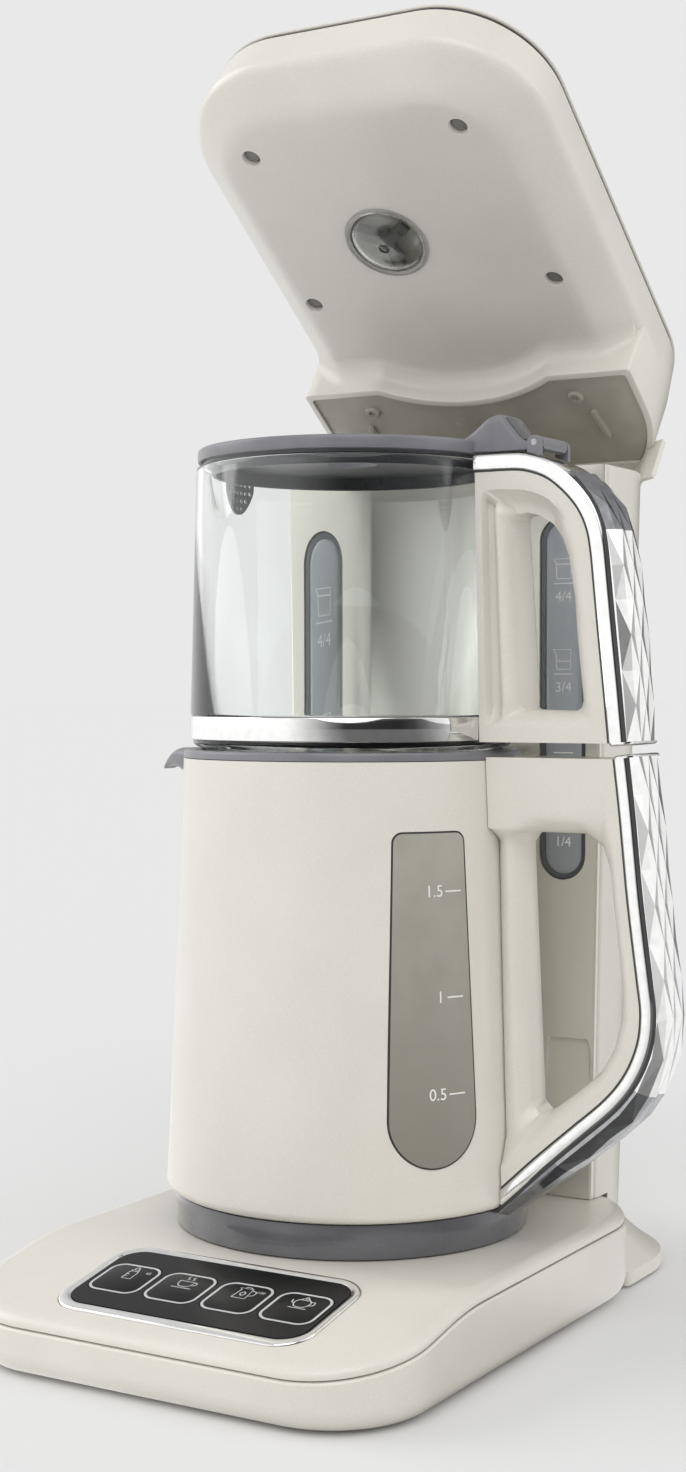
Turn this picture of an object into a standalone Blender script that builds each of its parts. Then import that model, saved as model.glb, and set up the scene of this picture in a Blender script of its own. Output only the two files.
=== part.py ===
"""Automatic tea maker: a kettle and a glass teapot stacked in front of a tower with a raised brewing head.

Run with: blender --background --python part.py
Units are metres. +Z is up, the control panel faces -Y and both handles point to +X.
The pieces are placed from the axis that the kettle and the teapot share, at table level.
The root empty then moves the whole model, so that the origin is the bottom centre of its box.
"""
import math

import bmesh
import bpy
from mathutils import Matrix, Vector

# Fits and cuts
GAP = 0.0003
SEAT_GAP = 0.0003
RUNNING_GAP = 0.0006
OVERCUT = 0.002
TURN_STEPS = 48
SMALL_TURN_STEPS = 20
CORNER_STEPS = 7

# Base
BASE_HALF_WIDTH = 0.0935
BASE_FRONT_Y = -0.144
BASE_REAR_Y = 0.095
BASE_FRONT_RADIUS = 0.039
BASE_REAR_RADIUS = 0.047
BASE_WALL = 0.0025
BASE_EDGE = 0.005
BASE_BOTTOM_Z = 0.0012
PLATEAU_Z = 0.0355
PLATEAU_FRONT_Y = -0.078
SLOPE = math.radians(10.6)
LIP_HEIGHT = 0.0030
LIP_INSET = 0.0008
TOP_EDGE = 0.0022
FOOT_RADIUS = 0.008
FOOT_HEIGHT = 0.0040
FOOT_INSET = 0.030

# Control panel
PANEL_X = 0.003
PANEL_Y = -0.1065
PANEL_WIDTH = 0.107
PANEL_DEPTH = 0.053
PANEL_RADIUS = 0.013
BEZEL_SIDE = 0.0034
BEZEL_FRONT = 0.0052
BEZEL_PROUD = 0.0008
BEZEL_DEPTH = 0.0022
PANEL_LEDGE = 0.0020
PANEL_PLATE = 0.0022
KEY_SIZE = 0.0226
KEY_PITCH = 0.0246
KEY_RADIUS = 0.0058
KEY_COUNT = 4
KEY_GAP = 0.0004
KEY_TRAVEL = 0.0008
KEY_THICKNESS = 0.0030
KEY_STEM = 0.0030
BOARD_THICKNESS = 0.0016
SWITCH_SIZE = 0.006
SWITCH_HEIGHT = 0.0030
BOARD_MARGIN = 0.004

# Seat and connector that the kettle stands on
CONNECTOR_RADIUS = 0.026
CONNECTOR_TOP_RADIUS = 0.008
CONNECTOR_HEIGHT = 0.0080
CONNECTOR_FLANGE = 0.0020
CONNECTOR_DEPTH = 0.012

# Tower
TOWER_FRONT_Y = 0.072
TOWER_HALF_WIDTH_LOW = 0.0722
TOWER_HALF_WIDTH_TOP = 0.0778
TOWER_REAR_LOW_Y = 0.1390
TOWER_REAR_TOP_Y = 0.1478
TOWER_REAR_RADIUS = 0.050
TOWER_TOP_Z = 0.3382
TOWER_WALL = 0.0025
TOWER_COVE_RADIUS = 0.0795
TOWER_COVER = 0.0025
TOWER_SEAM = 0.0006
NOTCH_Y = 0.1160
NOTCH_Z = 0.3200
FLARE_HALF_WIDTH = 0.0880
FLARE_REAR_Y = 0.1490
FLARE_HEIGHT = 0.024
FLARE_LIP = 0.007
TOP_PLATE_DROP = 0.0232
TOP_PLATE_Z = TOWER_TOP_Z - TOP_PLATE_DROP
TOP_PLATE = 0.0025
FILL_HALF_WIDTH = 0.045
FILL_FRONT_Y = 0.088
FILL_REAR_Y = 0.120
LEVEL_WINDOW_X = 0.0583
LEVEL_WINDOW_WIDTH = 0.0210
LEVEL_WINDOW_LOW_Z = 0.1674
LEVEL_WINDOW_TOP_Z = 0.3178
LEVEL_WINDOW_SINK = 0.0010
LEVEL_WINDOW_DEPTH = 0.0040
TANK_LOW_Z = 0.150
TANK_HEADROOM = 0.0070
TANK_TOP_Z = TOP_PLATE_Z - TANK_HEADROOM
TANK_REAR_Y = 0.130
TANK_HALF_WIDTH = 0.0665
TANK_WALL = 0.0022
TANK_REAR_RADIUS = 0.043
PUMP_RADIUS = 0.014
PUMP_LENGTH = 0.044
PUMP_Z = 0.062
PUMP_X = 0.028
PUMP_Y = 0.110
PUMP_FLANGE = 0.003
HOSE_RADIUS = 0.0035
POWER_BOARD_WIDTH = 0.046
POWER_BOARD_X = -0.012
POST_RADIUS = 0.0025
POWER_BOARD_HEIGHT = 0.070
POWER_BOARD_Z = 0.048
SPEAKER_RADIUS = 0.018
SPEAKER_HEIGHT = 0.009
SPEAKER_X = -0.052
SPEAKER_Y = -0.025
GLAND_RADIUS = 0.0055
GLAND_FLANGE_RADIUS = 0.0080
GLAND_FLANGE = 0.002
GLAND_LENGTH = 0.010
GLAND_Z = 0.040
GLAND_X = -0.028

# Brewing head, laid out closed and level, then raised about its hinge
HINGE_Y = 0.1410
HINGE_DROP = 0.0112
HINGE_Z = TOWER_TOP_Z - HINGE_DROP
HEAD_RAISED = math.radians(36.5)
HEAD_HALF_WIDTH = 0.0797
HEAD_FRONT_Y = -0.0877
HEAD_REAR_Y = 0.1466
HEAD_FRONT_RADIUS = 0.047
HEAD_REAR_RADIUS = 0.052
HEAD_BLOCK_Z = 0.3391
HEAD_RIM_Z = 0.3631
HEAD_TOP_Z = 0.3873
HEAD_DRAFT = 0.0017
HEAD_WALL = 0.0026
HEAD_PLATEAU_DROP = 0.0116
HEAD_CHAMFER = 0.0160
HEAD_CHAMFER_FRONT = 0.0183
HEAD_PLATEAU_RADIUS = 0.0315
HEAD_BLOCK_FRONT_Y = 0.0699
HEAD_COVE_RADIUS = 0.0810
HEAD_COVER = 0.0022
HEAD_COVER_DOME = 0.0030
SEAM_HEIGHT = 0.0014
SEAM_INSET = 0.0010
SKIRT_Y = 0.1180
SKIRT_Z = 0.3222
HEAD_SCREW_RADIUS = 0.0034
HEAD_SCREW_FRONT_X = 0.0475
HEAD_SCREW_FRONT_Y = -0.0534
HEAD_SCREW_REAR_X = 0.0575
HEAD_SCREW_REAR_Y = 0.0279
HEAD_SCREW_LENGTH = 0.006
HEAD_SCREW_SINK = 0.0004
NOZZLE_X = -0.0074
NOZZLE_Y = -0.0019
NOZZLE_RADIUS = 0.0182
NOZZLE_DROP = 0.0050
NOZZLE_WALL = 0.0014
NOZZLE_NECK_RADIUS = 0.0150
NOZZLE_MOUTH_RADIUS = 0.0024
SPREADER_HUB_RADIUS = 0.0038
SPREADER_ARM_WIDTH = 0.0042
SPREADER_ARM_LENGTH = NOZZLE_NECK_RADIUS - NOZZLE_WALL - GAP
SPREADER_ARMS = 3
REAR_PLATE = 0.0020
REAR_PLATE_REAR_Y = 0.1262
LUG_X = 0.0190
LUG_WIDTH = 0.008
LUG_RADIUS = 0.0042
PIN_RADIUS = 0.0015
EAR_WIDTH = 0.006
EAR_RADIUS = 0.0027
EAR_REACH = 0.010

# Kettle
KETTLE_LOW_RADIUS = 0.0740
KETTLE_TOP_RADIUS = 0.0670
KETTLE_LOW_Z = 0.0497
KETTLE_TOP_Z = 0.2192
KETTLE_WALL = 0.0032
KETTLE_BOTTOM_EDGE = 0.0035
KETTLE_FOOT_RADIUS = 0.0698
KETTLE_FOOT_WALL = 0.0040
KETTLE_STEP = 0.0012
KETTLE_FLOOR_Z = 0.0560
HEATER_PLATE = 0.0022
ELEMENT_RADIUS = 0.045
ELEMENT_TUBE = 0.0032
RIM_HEIGHT = 0.0034
RIM_WIDTH = 0.0068
RIM_INNER_RADIUS = KETTLE_TOP_RADIUS - RIM_WIDTH
RIM_LEDGE_WIDTH = 0.0042
RIM_LEDGE_RADIUS = RIM_INNER_RADIUS - RIM_LEDGE_WIDTH
RIM_LEDGE_Z = KETTLE_TOP_Z + RIM_HEIGHT * 0.53
POT_SEAT_CLEARANCE = 0.0024
BEAK_REACH = 0.0222
BEAK_ROOT_HALF_WIDTH = 0.0150
BEAK_TIP_HALF_WIDTH = 0.0038
BEAK_ROOT_DEPTH = 0.0135
BEAK_TIP_DROP = 0.0078
WINDOW_ANGLE = math.radians(55.5)
WINDOW_TOP_Z = 0.1935
WINDOW_LOW_Z = 0.0688
WINDOW_TOP_HALF_WIDTH = 0.0152
WINDOW_LOW_HALF_WIDTH = 0.0186
WINDOW_CORNER = 0.0042
WINDOW_PROUD = 0.0002

# Teapot
GLASS_LOW_Z = 0.2229
GLASS_TOP_Z = 0.3335
GLASS_TOP_RADIUS = 0.0618
GLASS_LOW_RADIUS = 0.0646
GLASS_WALL = 0.0022
GLASS_HEEL = 0.0060
BAND_LOW_Z = 0.2266
BAND_TOP_Z = 0.2357
BAND_THICKNESS = 0.0008
BAND_RADIUS = 0.0645
SPOUT_REACH = 0.0125
SPOUT_DROP = 0.022
SPOUT_ANGLE = math.radians(19)
POT_BASE_RADIUS = RIM_INNER_RADIUS - POT_SEAT_CLEARANCE
POT_BASE = 0.0012
POT_LID_RADIUS = 0.0613
POT_LID_LOW_Z = 0.3352
POT_LID_TOP_Z = 0.3405
POT_LID_DISH = 0.0022
POT_LID_DISH_RADIUS = 0.0440
POT_LID_HOLE_RADIUS = 0.0100
POT_SKIRT_RADIUS = 0.0560
POT_SKIRT_WALL = 0.0018
POT_SKIRT_LOW_Z = 0.3225
POT_LID_WALL = 0.0022
TAB_HALF_WIDTH = 0.0105
TAB_START_X = 0.0520
TAB_PEAK_X = 0.0675
TAB_PEAK_HEIGHT = 0.0094
TAB_END_X = 0.0885
TAB_TAIL = 0.0022
LID_HINGE_X = 0.0860
LID_HINGE_Z = 0.3380
LID_OPEN = math.radians(38)
LID_PIN_RADIUS = 0.0012
LID_KNUCKLE_RADIUS = 0.0027
LID_EAR = 0.0022
STRAINER_RADIUS = 0.0100
STRAINER_THICKNESS = 0.0012
STRAINER_X = -0.0545
STRAINER_HOLE_RADIUS = 0.0010
STRAINER_HOLE_PITCH = 0.0034
STRAINER_ROWS = (6, 5, 4)

# Handles
HANDLE_WIDTH = 0.0260
BAND_PROUD = 0.0008
POT_BAND = 0.0060
KETTLE_BAND = 0.0050
HANDLE_SEAM = 0.0005
GRIP_THICKNESS = 0.0044
GRIP_FACET = 0.0009
GRIP_ROWS_ACROSS = 3
HANDLE_BODY_GAP = 0.0004
POT_HANDLE_REACH = 0.1155
POT_HANDLE_TOP_Z = 0.3280
POT_HANDLE_LOW_Z = 0.2262
KETTLE_HANDLE_REACH = 0.1288
KETTLE_HANDLE_TOP_Z = 0.2205
KETTLE_HANDLE_LOW_Z = 0.0585
HANDLE_SPLIT_GAP = 0.0016
HANDLE_TONGUE = 0.0060

# Outlines as shares of the span they follow: (share of the reach, share of the height)
POT_OUTER_SHARES = (
    (0.28, 1.0), (0.43, 0.995), (0.58, 0.966), (0.697, 0.915), (0.794, 0.851), (0.853, 0.782),
    (0.883, 0.703), (0.911, 0.548), (0.941, 0.376), (0.975, 0.19), (1.007, 0.0))
POT_OPENING_SHARES = (
    (0.389, 0.823), (0.42, 0.842), (0.479, 0.849), (0.559, 0.836), (0.648, 0.803), (0.717, 0.744),
    (0.755, 0.68), (0.796, 0.524), (0.814, 0.373), (0.85, 0.16), (0.802, 0.117), (0.482, 0.121),
    (0.459, 0.149))
KETTLE_OUTER_SHARES = (
    (0.838, 1.0), (0.87, 0.89), (0.898, 0.776), (0.919, 0.691), (0.95, 0.59), (0.981, 0.495),
    (0.999, 0.43), (0.982, 0.363), (0.913, 0.294), (0.792, 0.23), (0.581, 0.154), (0.367, 0.077),
    (0.184, 0.007), (0.08, -0.032))
KETTLE_OPENING_SHARES = (
    (0.299, 0.80), (0.329, 0.824), (0.40, 0.828), (0.666, 0.828), (0.753, 0.80), (0.805, 0.735),
    (0.843, 0.59), (0.872, 0.479), (0.866, 0.412), (0.826, 0.344), (0.757, 0.288), (0.669, 0.252),
    (0.475, 0.183), (0.397, 0.171), (0.36, 0.19))

# Thickness of a handle's back along it: (share of its length, share of the full thickness)
POT_GRIP_SHARES = ((0.22, 0.22), (0.30, 0.45), (0.45, 0.75), (0.60, 1.0), (0.85, 0.95), (1.0, 0.5))
KETTLE_GRIP_SHARES = (
    (0.03, 0.5), (0.12, 0.68), (0.40, 0.60), (0.55, 0.9), (0.65, 1.55), (0.80, 1.5), (0.92, 1.1),
    (1.0, 0.6))

COLOURS = {
    "cream": ("#DEDBD0", 0.38, 0.0),
    "cream_inner": ("#D2CFC4", 0.5, 0.0),
    "grey": ("#6C6C70", 0.42, 0.0),
    "smoke": ("#7E7C76", 0.2, 0.0),
    "chrome": ("#E8E8E8", 0.08, 1.0),
    "steel": ("#BFBFBF", 0.25, 1.0),
    "black_glass": ("#17181A", 0.12, 0.0),
    "rubber": ("#242424", 0.8, 0.0),
    "board": ("#1F5A38", 0.5, 0.0),
    "clear": ("#E6EEF0", 0.05, 0.0),
    "copper": ("#B06A3C", 0.35, 1.0),
    "hose": ("#E4E1DA", 0.5, 0.0),
}

PARTS = "tea_maker"
CUTTERS = "cutters"


# Scene and materials

def clear_scene():
    for item in list(bpy.data.objects):
        bpy.data.objects.remove(item, do_unlink=True)
    for name in (PARTS, CUTTERS):
        collection = bpy.data.collections.new(name)
        bpy.context.scene.collection.children.link(collection)


def make_material(name):
    colour, roughness, metallic = COLOURS[name]
    material = bpy.data.materials.get(name)
    if material:
        return material
    material = bpy.data.materials.new(name)
    material.use_nodes = True
    shader = material.node_tree.nodes["Principled BSDF"]
    channels = [int(colour[i:i + 2], 16) / 255 for i in (1, 3, 5)]
    linear = [c / 12.92 if c <= 0.04045 else ((c + 0.055) / 1.055) ** 2.4 for c in channels]
    shader.inputs["Base Color"].default_value = (*linear, 1.0)
    shader.inputs["Roughness"].default_value = roughness
    shader.inputs["Metallic"].default_value = metallic
    return material


def place(name, mesh, finish, parent, collection=PARTS):
    item = bpy.data.objects.new(name, mesh)
    bpy.data.collections[collection].objects.link(item)
    item.parent = parent
    if finish:
        item.data.materials.append(make_material(finish))
    return item


def make_empty(name, parent, location=(0, 0, 0), rotation=(0, 0, 0)):
    item = bpy.data.objects.new(name, None)
    bpy.data.collections[PARTS].objects.link(item)
    item.parent = parent
    item.location = location
    item.rotation_euler = rotation
    return item


def bake(item):
    """Apply the modifiers of an object, or turn a curve into a mesh."""
    bpy.context.view_layer.update()
    graph = bpy.context.evaluated_depsgraph_get()
    mesh = bpy.data.meshes.new_from_object(item.evaluated_get(graph))
    name, parent, matrix = item.name, item.parent, item.matrix_basis.copy()
    finish = [slot.material for slot in item.material_slots]
    collection = item.users_collection[0]
    bpy.data.objects.remove(item, do_unlink=True)
    fresh = bpy.data.objects.new(name, mesh)
    collection.objects.link(fresh)
    fresh.parent = parent
    fresh.matrix_basis = matrix
    mesh.materials.clear()
    for material in finish:
        mesh.materials.append(material)
    work = bmesh.new()
    work.from_mesh(mesh)
    bmesh.ops.remove_doubles(work, verts=work.verts, dist=GAP / 30)
    work.to_mesh(mesh)
    work.free()
    return fresh


def finish_mesh(work, name, finish, parent, smooth=0.6, collection=PARTS):
    bmesh.ops.recalc_face_normals(work, faces=work.faces)
    mesh = bpy.data.meshes.new(name)
    work.to_mesh(mesh)
    work.free()
    mesh.shade_smooth()
    mesh.set_sharp_from_angle(angle=smooth)
    return place(name, mesh, finish, parent, collection)


# Outlines

def arc(cx, cy, radius, start, end, steps):
    points = []
    for i in range(steps + 1):
        angle = start + (end - start) * i / steps
        points.append((cx + radius * math.cos(angle), cy + radius * math.sin(angle)))
    return points


def rounded_box(half_width, front, rear, front_radius, rear_radius, steps=CORNER_STEPS):
    """Outline of a box with two corner radii, anticlockwise from its front right corner."""
    quarter = math.pi / 2
    return (arc(half_width - front_radius, front + front_radius, front_radius, -quarter, 0, steps)
            + arc(half_width - rear_radius, rear - rear_radius, rear_radius, 0, quarter, steps)
            + arc(rear_radius - half_width, rear - rear_radius, rear_radius, quarter, 2 * quarter, steps)
            + arc(front_radius - half_width, front + front_radius, front_radius,
                  2 * quarter, 3 * quarter, steps))


def inset_box(half_width, front, rear, front_radius, rear_radius, inset, steps=CORNER_STEPS):
    return rounded_box(half_width - inset, front + inset, rear - inset,
                       max(front_radius - inset, inset / 4), max(rear_radius - inset, inset / 4), steps)


def smooth_path(points, steps=3):
    """Catmull-Rom curve through the points, ends included."""
    padded = [points[0]] + list(points) + [points[-1]]
    path = []
    for i in range(1, len(padded) - 2):
        p0, p1, p2, p3 = padded[i - 1:i + 3]
        for k in range(steps):
            t = k / steps
            path.append(tuple(
                0.5 * (2 * b + (c - a) * t + (2 * a - 5 * b + 4 * c - d) * t * t
                       + (3 * b - a - 3 * c + d) * t ** 3)
                for a, b, c, d in zip(p0, p1, p2, p3)))
    path.append(tuple(points[-1]))
    return path


def offset_path(path, distance):
    """Move an open path sideways, to the left of its direction of travel."""
    moved = []
    for i, (x, z) in enumerate(path):
        before = path[max(i - 1, 0)]
        after = path[min(i + 1, len(path) - 1)]
        dx, dz = after[0] - before[0], after[1] - before[1]
        length = math.hypot(dx, dz)
        moved.append((x - dz / length * distance, z + dx / length * distance))
    return moved


# Solids

def loft(rings, name, finish, parent, caps=True, collection=PARTS, closed=False):
    """Skin a stack of rings that have the same number of points."""
    work = bmesh.new()
    rows = [[work.verts.new(point) for point in ring] for ring in rings]
    if closed:
        rows.append(rows[0])
    for low, high in zip(rows, rows[1:]):
        count = len(low)
        for i in range(count):
            k = (i + 1) % count
            work.faces.new((low[i], low[k], high[k], high[i]))
    if caps and not closed:
        work.faces.new(rows[0])
        work.faces.new(rows[-1])
    return finish_mesh(work, name, finish, parent, collection=collection)


def slab(name, outline, low, high, finish, parent, collection=PARTS, holes=()):
    """A flat plate: a filled 2D curve with a thickness, standing from low to high."""
    curve = bpy.data.curves.new(name, "CURVE")
    curve.dimensions = "2D"
    curve.fill_mode = "BOTH"
    curve.extrude = (high - low) / 2
    for points in (outline, *holes):
        spline = curve.splines.new("POLY")
        spline.points.add(len(points) - 1)
        for point, (x, y) in zip(spline.points, points):
            point.co = (x, y, 0, 1)
        spline.use_cyclic_u = True
    item = place(name, curve, None, None, collection)
    item.location.z = (low + high) / 2
    item = bake(item)
    item.data.transform(item.matrix_basis)
    item.matrix_basis = Matrix()
    item.parent = parent
    if finish:
        item.data.materials.append(make_material(finish))
    return item


def stand_up(item, y=0.0):
    """Turn a slab drawn in X and Z so that it stands, with its thickness along Y."""
    item.data.transform(Matrix.Translation((0, y, 0)) @ Matrix.Rotation(math.pi / 2, 4, "X"))
    return item


def turned(name, profile, finish, parent, steps=TURN_STEPS, collection=PARTS, centre=(0, 0)):
    """A turned solid: a closed profile of (radius, height) points with a Screw modifier."""
    mesh = bpy.data.meshes.new(name)
    work = bmesh.new()
    verts = [work.verts.new((radius, 0, height)) for radius, height in profile]
    for first, second in zip(verts, verts[1:] + verts[:1]):
        if not (first.co.x == 0 and second.co.x == 0):
            work.edges.new((first, second))
    work.to_mesh(mesh)
    work.free()
    item = place(name, mesh, finish, None, collection)
    screw = item.modifiers.new("turn", "SCREW")
    screw.axis = "Z"
    screw.steps = steps
    screw.render_steps = steps
    screw.use_merge_vertices = True
    screw.merge_threshold = 0.00001
    screw.use_smooth_shade = True
    item = bake(item)
    work = bmesh.new()
    work.from_mesh(item.data)
    bmesh.ops.recalc_face_normals(work, faces=work.faces)
    bmesh.ops.translate(work, verts=work.verts, vec=(centre[0], centre[1], 0))
    work.to_mesh(item.data)
    work.free()
    item.data.shade_smooth()
    item.data.set_sharp_from_angle(angle=0.6)
    item.parent = parent
    return item


def rod(name, radius, length, centre, axis, finish, parent, steps=SMALL_TURN_STEPS, collection=PARTS):
    work = bmesh.new()
    bmesh.ops.create_cone(work, cap_ends=True, segments=steps, radius1=radius, radius2=radius, depth=length)
    turn = Vector((0, 0, 1)).rotation_difference(Vector(axis)).to_matrix().to_4x4()
    work.transform(Matrix.Translation(centre) @ turn)
    return finish_mesh(work, name, finish, parent, collection=collection)


def block(name, low, high, finish, parent, collection=PARTS):
    work = bmesh.new()
    bmesh.ops.create_cube(work, size=1.0)
    size = [b - a for a, b in zip(low, high)]
    middle = [(a + b) / 2 for a, b in zip(low, high)]
    bmesh.ops.scale(work, verts=work.verts, vec=size)
    bmesh.ops.translate(work, verts=work.verts, vec=middle)
    return finish_mesh(work, name, finish, parent, collection=collection)


def tube(name, points, radius, finish, parent):
    curve = bpy.data.curves.new(name, "CURVE")
    curve.dimensions = "3D"
    curve.bevel_depth = radius
    curve.bevel_resolution = 2
    curve.use_fill_caps = True
    spline = curve.splines.new("POLY")
    spline.points.add(len(points) - 1)
    for point, place_at in zip(spline.points, points):
        point.co = (*place_at, 1)
    item = place(name, curve, finish, None)
    item = bake(item)
    item.parent = parent
    return item


def combine(item, other, operation="DIFFERENCE", keep=False):
    """Cut, join or intersect an object with another one, which is used up unless it is kept."""
    modifier = item.modifiers.new(operation.lower(), "BOOLEAN")
    modifier.operation = operation
    modifier.solver = "EXACT"
    modifier.object = other
    other.hide_render = True
    other.display_type = "WIRE"
    parent, matrix = item.parent, item.matrix_basis.copy()
    item.parent = None
    other_parent = other.parent
    other.parent = None
    result = bake(item)
    result.parent = parent
    result.matrix_basis = matrix
    other.parent = other_parent
    if not keep:
        bpy.data.objects.remove(other, do_unlink=True)
    result.data.shade_smooth()
    result.data.set_sharp_from_angle(angle=0.6)
    return result


def cut(item, *cutters):
    for cutter in cutters:
        item = combine(item, cutter)
    return item


def roof_z(y, drop=0.0):
    """Height of the top of the base: a level plateau with a slope towards the front."""
    return PLATEAU_Z - drop - max(PLATEAU_FRONT_Y - y, 0.0) * math.tan(SLOPE)


def crease(outline):
    """Add the two points where an outline crosses the line between the slope and the plateau."""
    points = []
    for first, second in zip(outline, outline[1:] + outline[:1]):
        points.append(first)
        a, b = first[1] - PLATEAU_FRONT_Y, second[1] - PLATEAU_FRONT_Y
        if a * b < 0:
            share = a / (a - b)
            points.append((first[0] + (second[0] - first[0]) * share, PLATEAU_FRONT_Y))
    return points


def creased_shell(name, outer_rings, inner_rings, finish, parent):
    """A lidless or bottomless shell whose closed side is a slope and a plateau."""
    work = bmesh.new()
    outer = [[work.verts.new(point) for point in ring] for ring in outer_rings]
    inner = [[work.verts.new(point) for point in ring] for ring in inner_rings]
    count = len(outer[0])
    for rows in (outer, inner):
        for low, high in zip(rows, rows[1:]):
            for i in range(count):
                k = (i + 1) % count
                work.faces.new((low[i], low[k], high[k], high[i]))
        front = [v for v in rows[-1] if v.co.y <= PLATEAU_FRONT_Y + GAP]
        rear = [v for v in rows[-1] if v.co.y >= PLATEAU_FRONT_Y - GAP]
        flat = abs(rows[-1][0].co.z - rows[-1][count // 2].co.z) < GAP
        if flat:
            work.faces.new(rows[-1])
        else:
            for side in (front, rear):
                middle = sum((v.co for v in side), Vector()) / len(side)
                side.sort(key=lambda v: math.atan2(v.co.y - middle.y, v.co.x - middle.x))
                work.faces.new(side)
    for i in range(count):
        k = (i + 1) % count
        work.faces.new((outer[0][i], outer[0][k], inner[0][k], inner[0][i]))
    return finish_mesh(work, name, finish, parent)


# Base

def base_ring(inset, height_of):
    outline = crease(rounded_box(BASE_HALF_WIDTH, BASE_FRONT_Y, BASE_REAR_Y, BASE_FRONT_RADIUS,
                                 BASE_REAR_RADIUS))
    ring = []
    scale_x = (BASE_HALF_WIDTH - inset) / BASE_HALF_WIDTH
    middle = (BASE_FRONT_Y + BASE_REAR_Y) / 2
    half_depth = (BASE_REAR_Y - BASE_FRONT_Y) / 2
    scale_y = (half_depth - inset) / half_depth
    crease_y = middle + (PLATEAU_FRONT_Y - middle) / scale_y
    squeezed = crease_with(outline, crease_y)
    for x, y in squeezed:
        new_y = middle + (y - middle) * scale_y
        ring.append((x * scale_x, new_y, height_of(new_y)))
    return ring


def crease_with(outline, crease_y):
    """Move the two crease points of an outline along it, so that they land on the crease again."""
    plain = rounded_box(BASE_HALF_WIDTH, BASE_FRONT_Y, BASE_REAR_Y, BASE_FRONT_RADIUS, BASE_REAR_RADIUS)
    points = []
    for first, second in zip(plain, plain[1:] + plain[:1]):
        points.append(first)
        a, b = first[1] - crease_y, second[1] - crease_y
        if a * b < 0:
            share = a / (a - b)
            points.append((first[0] + (second[0] - first[0]) * share, crease_y))
    return points if len(points) == len(outline) else outline


def parting_z(y):
    return roof_z(y, TOP_EDGE + LIP_HEIGHT - LIP_INSET)


def build_base(root):
    outer = [base_ring(0.0, parting_z),
             base_ring(0.0, lambda y: BASE_BOTTOM_Z + BASE_EDGE)]
    for angle in (math.radians(30), math.radians(60), math.radians(90)):
        inset = BASE_EDGE * (1 - math.cos(angle))
        height = BASE_BOTTOM_Z + BASE_EDGE * (1 - math.sin(angle))
        outer.append(base_ring(inset, lambda y, z=height: z))
    inner = [base_ring(BASE_WALL, parting_z),
             base_ring(BASE_WALL, lambda y: BASE_BOTTOM_Z + BASE_EDGE),
             base_ring(BASE_WALL + BASE_EDGE / 2, lambda y: BASE_BOTTOM_Z + BASE_WALL)]
    tub = creased_shell("base_tub", outer, inner, "cream", root)
    top_outer = [base_ring(LIP_INSET, lambda y: parting_z(y) + GAP),
                 base_ring(LIP_INSET, lambda y: roof_z(y, TOP_EDGE))]
    for angle in (math.radians(35), math.radians(65), math.radians(90)):
        inset = LIP_INSET + TOP_EDGE * (1 - math.cos(angle))
        drop = TOP_EDGE * (1 - math.sin(angle))
        top_outer.append(base_ring(inset, lambda y, d=drop: roof_z(y, d)))
    top_inner = [base_ring(LIP_INSET + BASE_WALL, lambda y: parting_z(y) + GAP),
                 base_ring(LIP_INSET + BASE_WALL, lambda y: roof_z(y, BASE_WALL))]
    top = creased_shell("base_top_shell", top_outer, top_inner, "cream", root)
    feet = {
        "foot_front_left": (FOOT_INSET - BASE_HALF_WIDTH, BASE_FRONT_Y + FOOT_INSET),
        "foot_front_right": (BASE_HALF_WIDTH - FOOT_INSET, BASE_FRONT_Y + FOOT_INSET),
        "foot_rear_left": (FOOT_INSET - BASE_HALF_WIDTH, BASE_REAR_Y - FOOT_INSET),
        "foot_rear_right": (BASE_HALF_WIDTH - FOOT_INSET, BASE_REAR_Y - FOOT_INSET),
    }
    floor = BASE_BOTTOM_Z + BASE_WALL
    for name, (x, y) in feet.items():
        neck = FOOT_RADIUS - BASE_WALL
        socket = rod("socket", neck + GAP, FOOT_HEIGHT, (x, y, floor - BASE_WALL / 2), (0, 0, 1),
                     None, None, collection=CUTTERS)
        tub = cut(tub, socket)
        pad = BASE_BOTTOM_Z - GAP
        turned(name, ((0, 0), (FOOT_RADIUS, 0), (FOOT_RADIUS, pad), (neck, pad), (neck, FOOT_HEIGHT),
                      (0, FOOT_HEIGHT)), "rubber", root, SMALL_TURN_STEPS, centre=(x, y))
    return tub, top


def panel_frame(lift=0.0):
    """Matrix of the panel: its origin on the slope, Z out of the surface."""
    origin = Vector((PANEL_X, PANEL_Y, roof_z(PANEL_Y)))
    turn = Matrix.Rotation(SLOPE, 4, "X")
    return Matrix.Translation(origin) @ turn @ Matrix.Translation((0, 0, lift))


def panel_slab(name, half_x, half_y, radius, low, high, finish, parent, holes=(), collection=PARTS,
               centre=(0, 0)):
    outline = rounded_box(half_x, -half_y, half_y, radius, radius, 5)
    outline = [(x + centre[0], y + centre[1]) for x, y in outline]
    item = slab(name, outline, low, high, finish, parent, collection, holes)
    item.data.transform(panel_frame())
    return item


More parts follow.
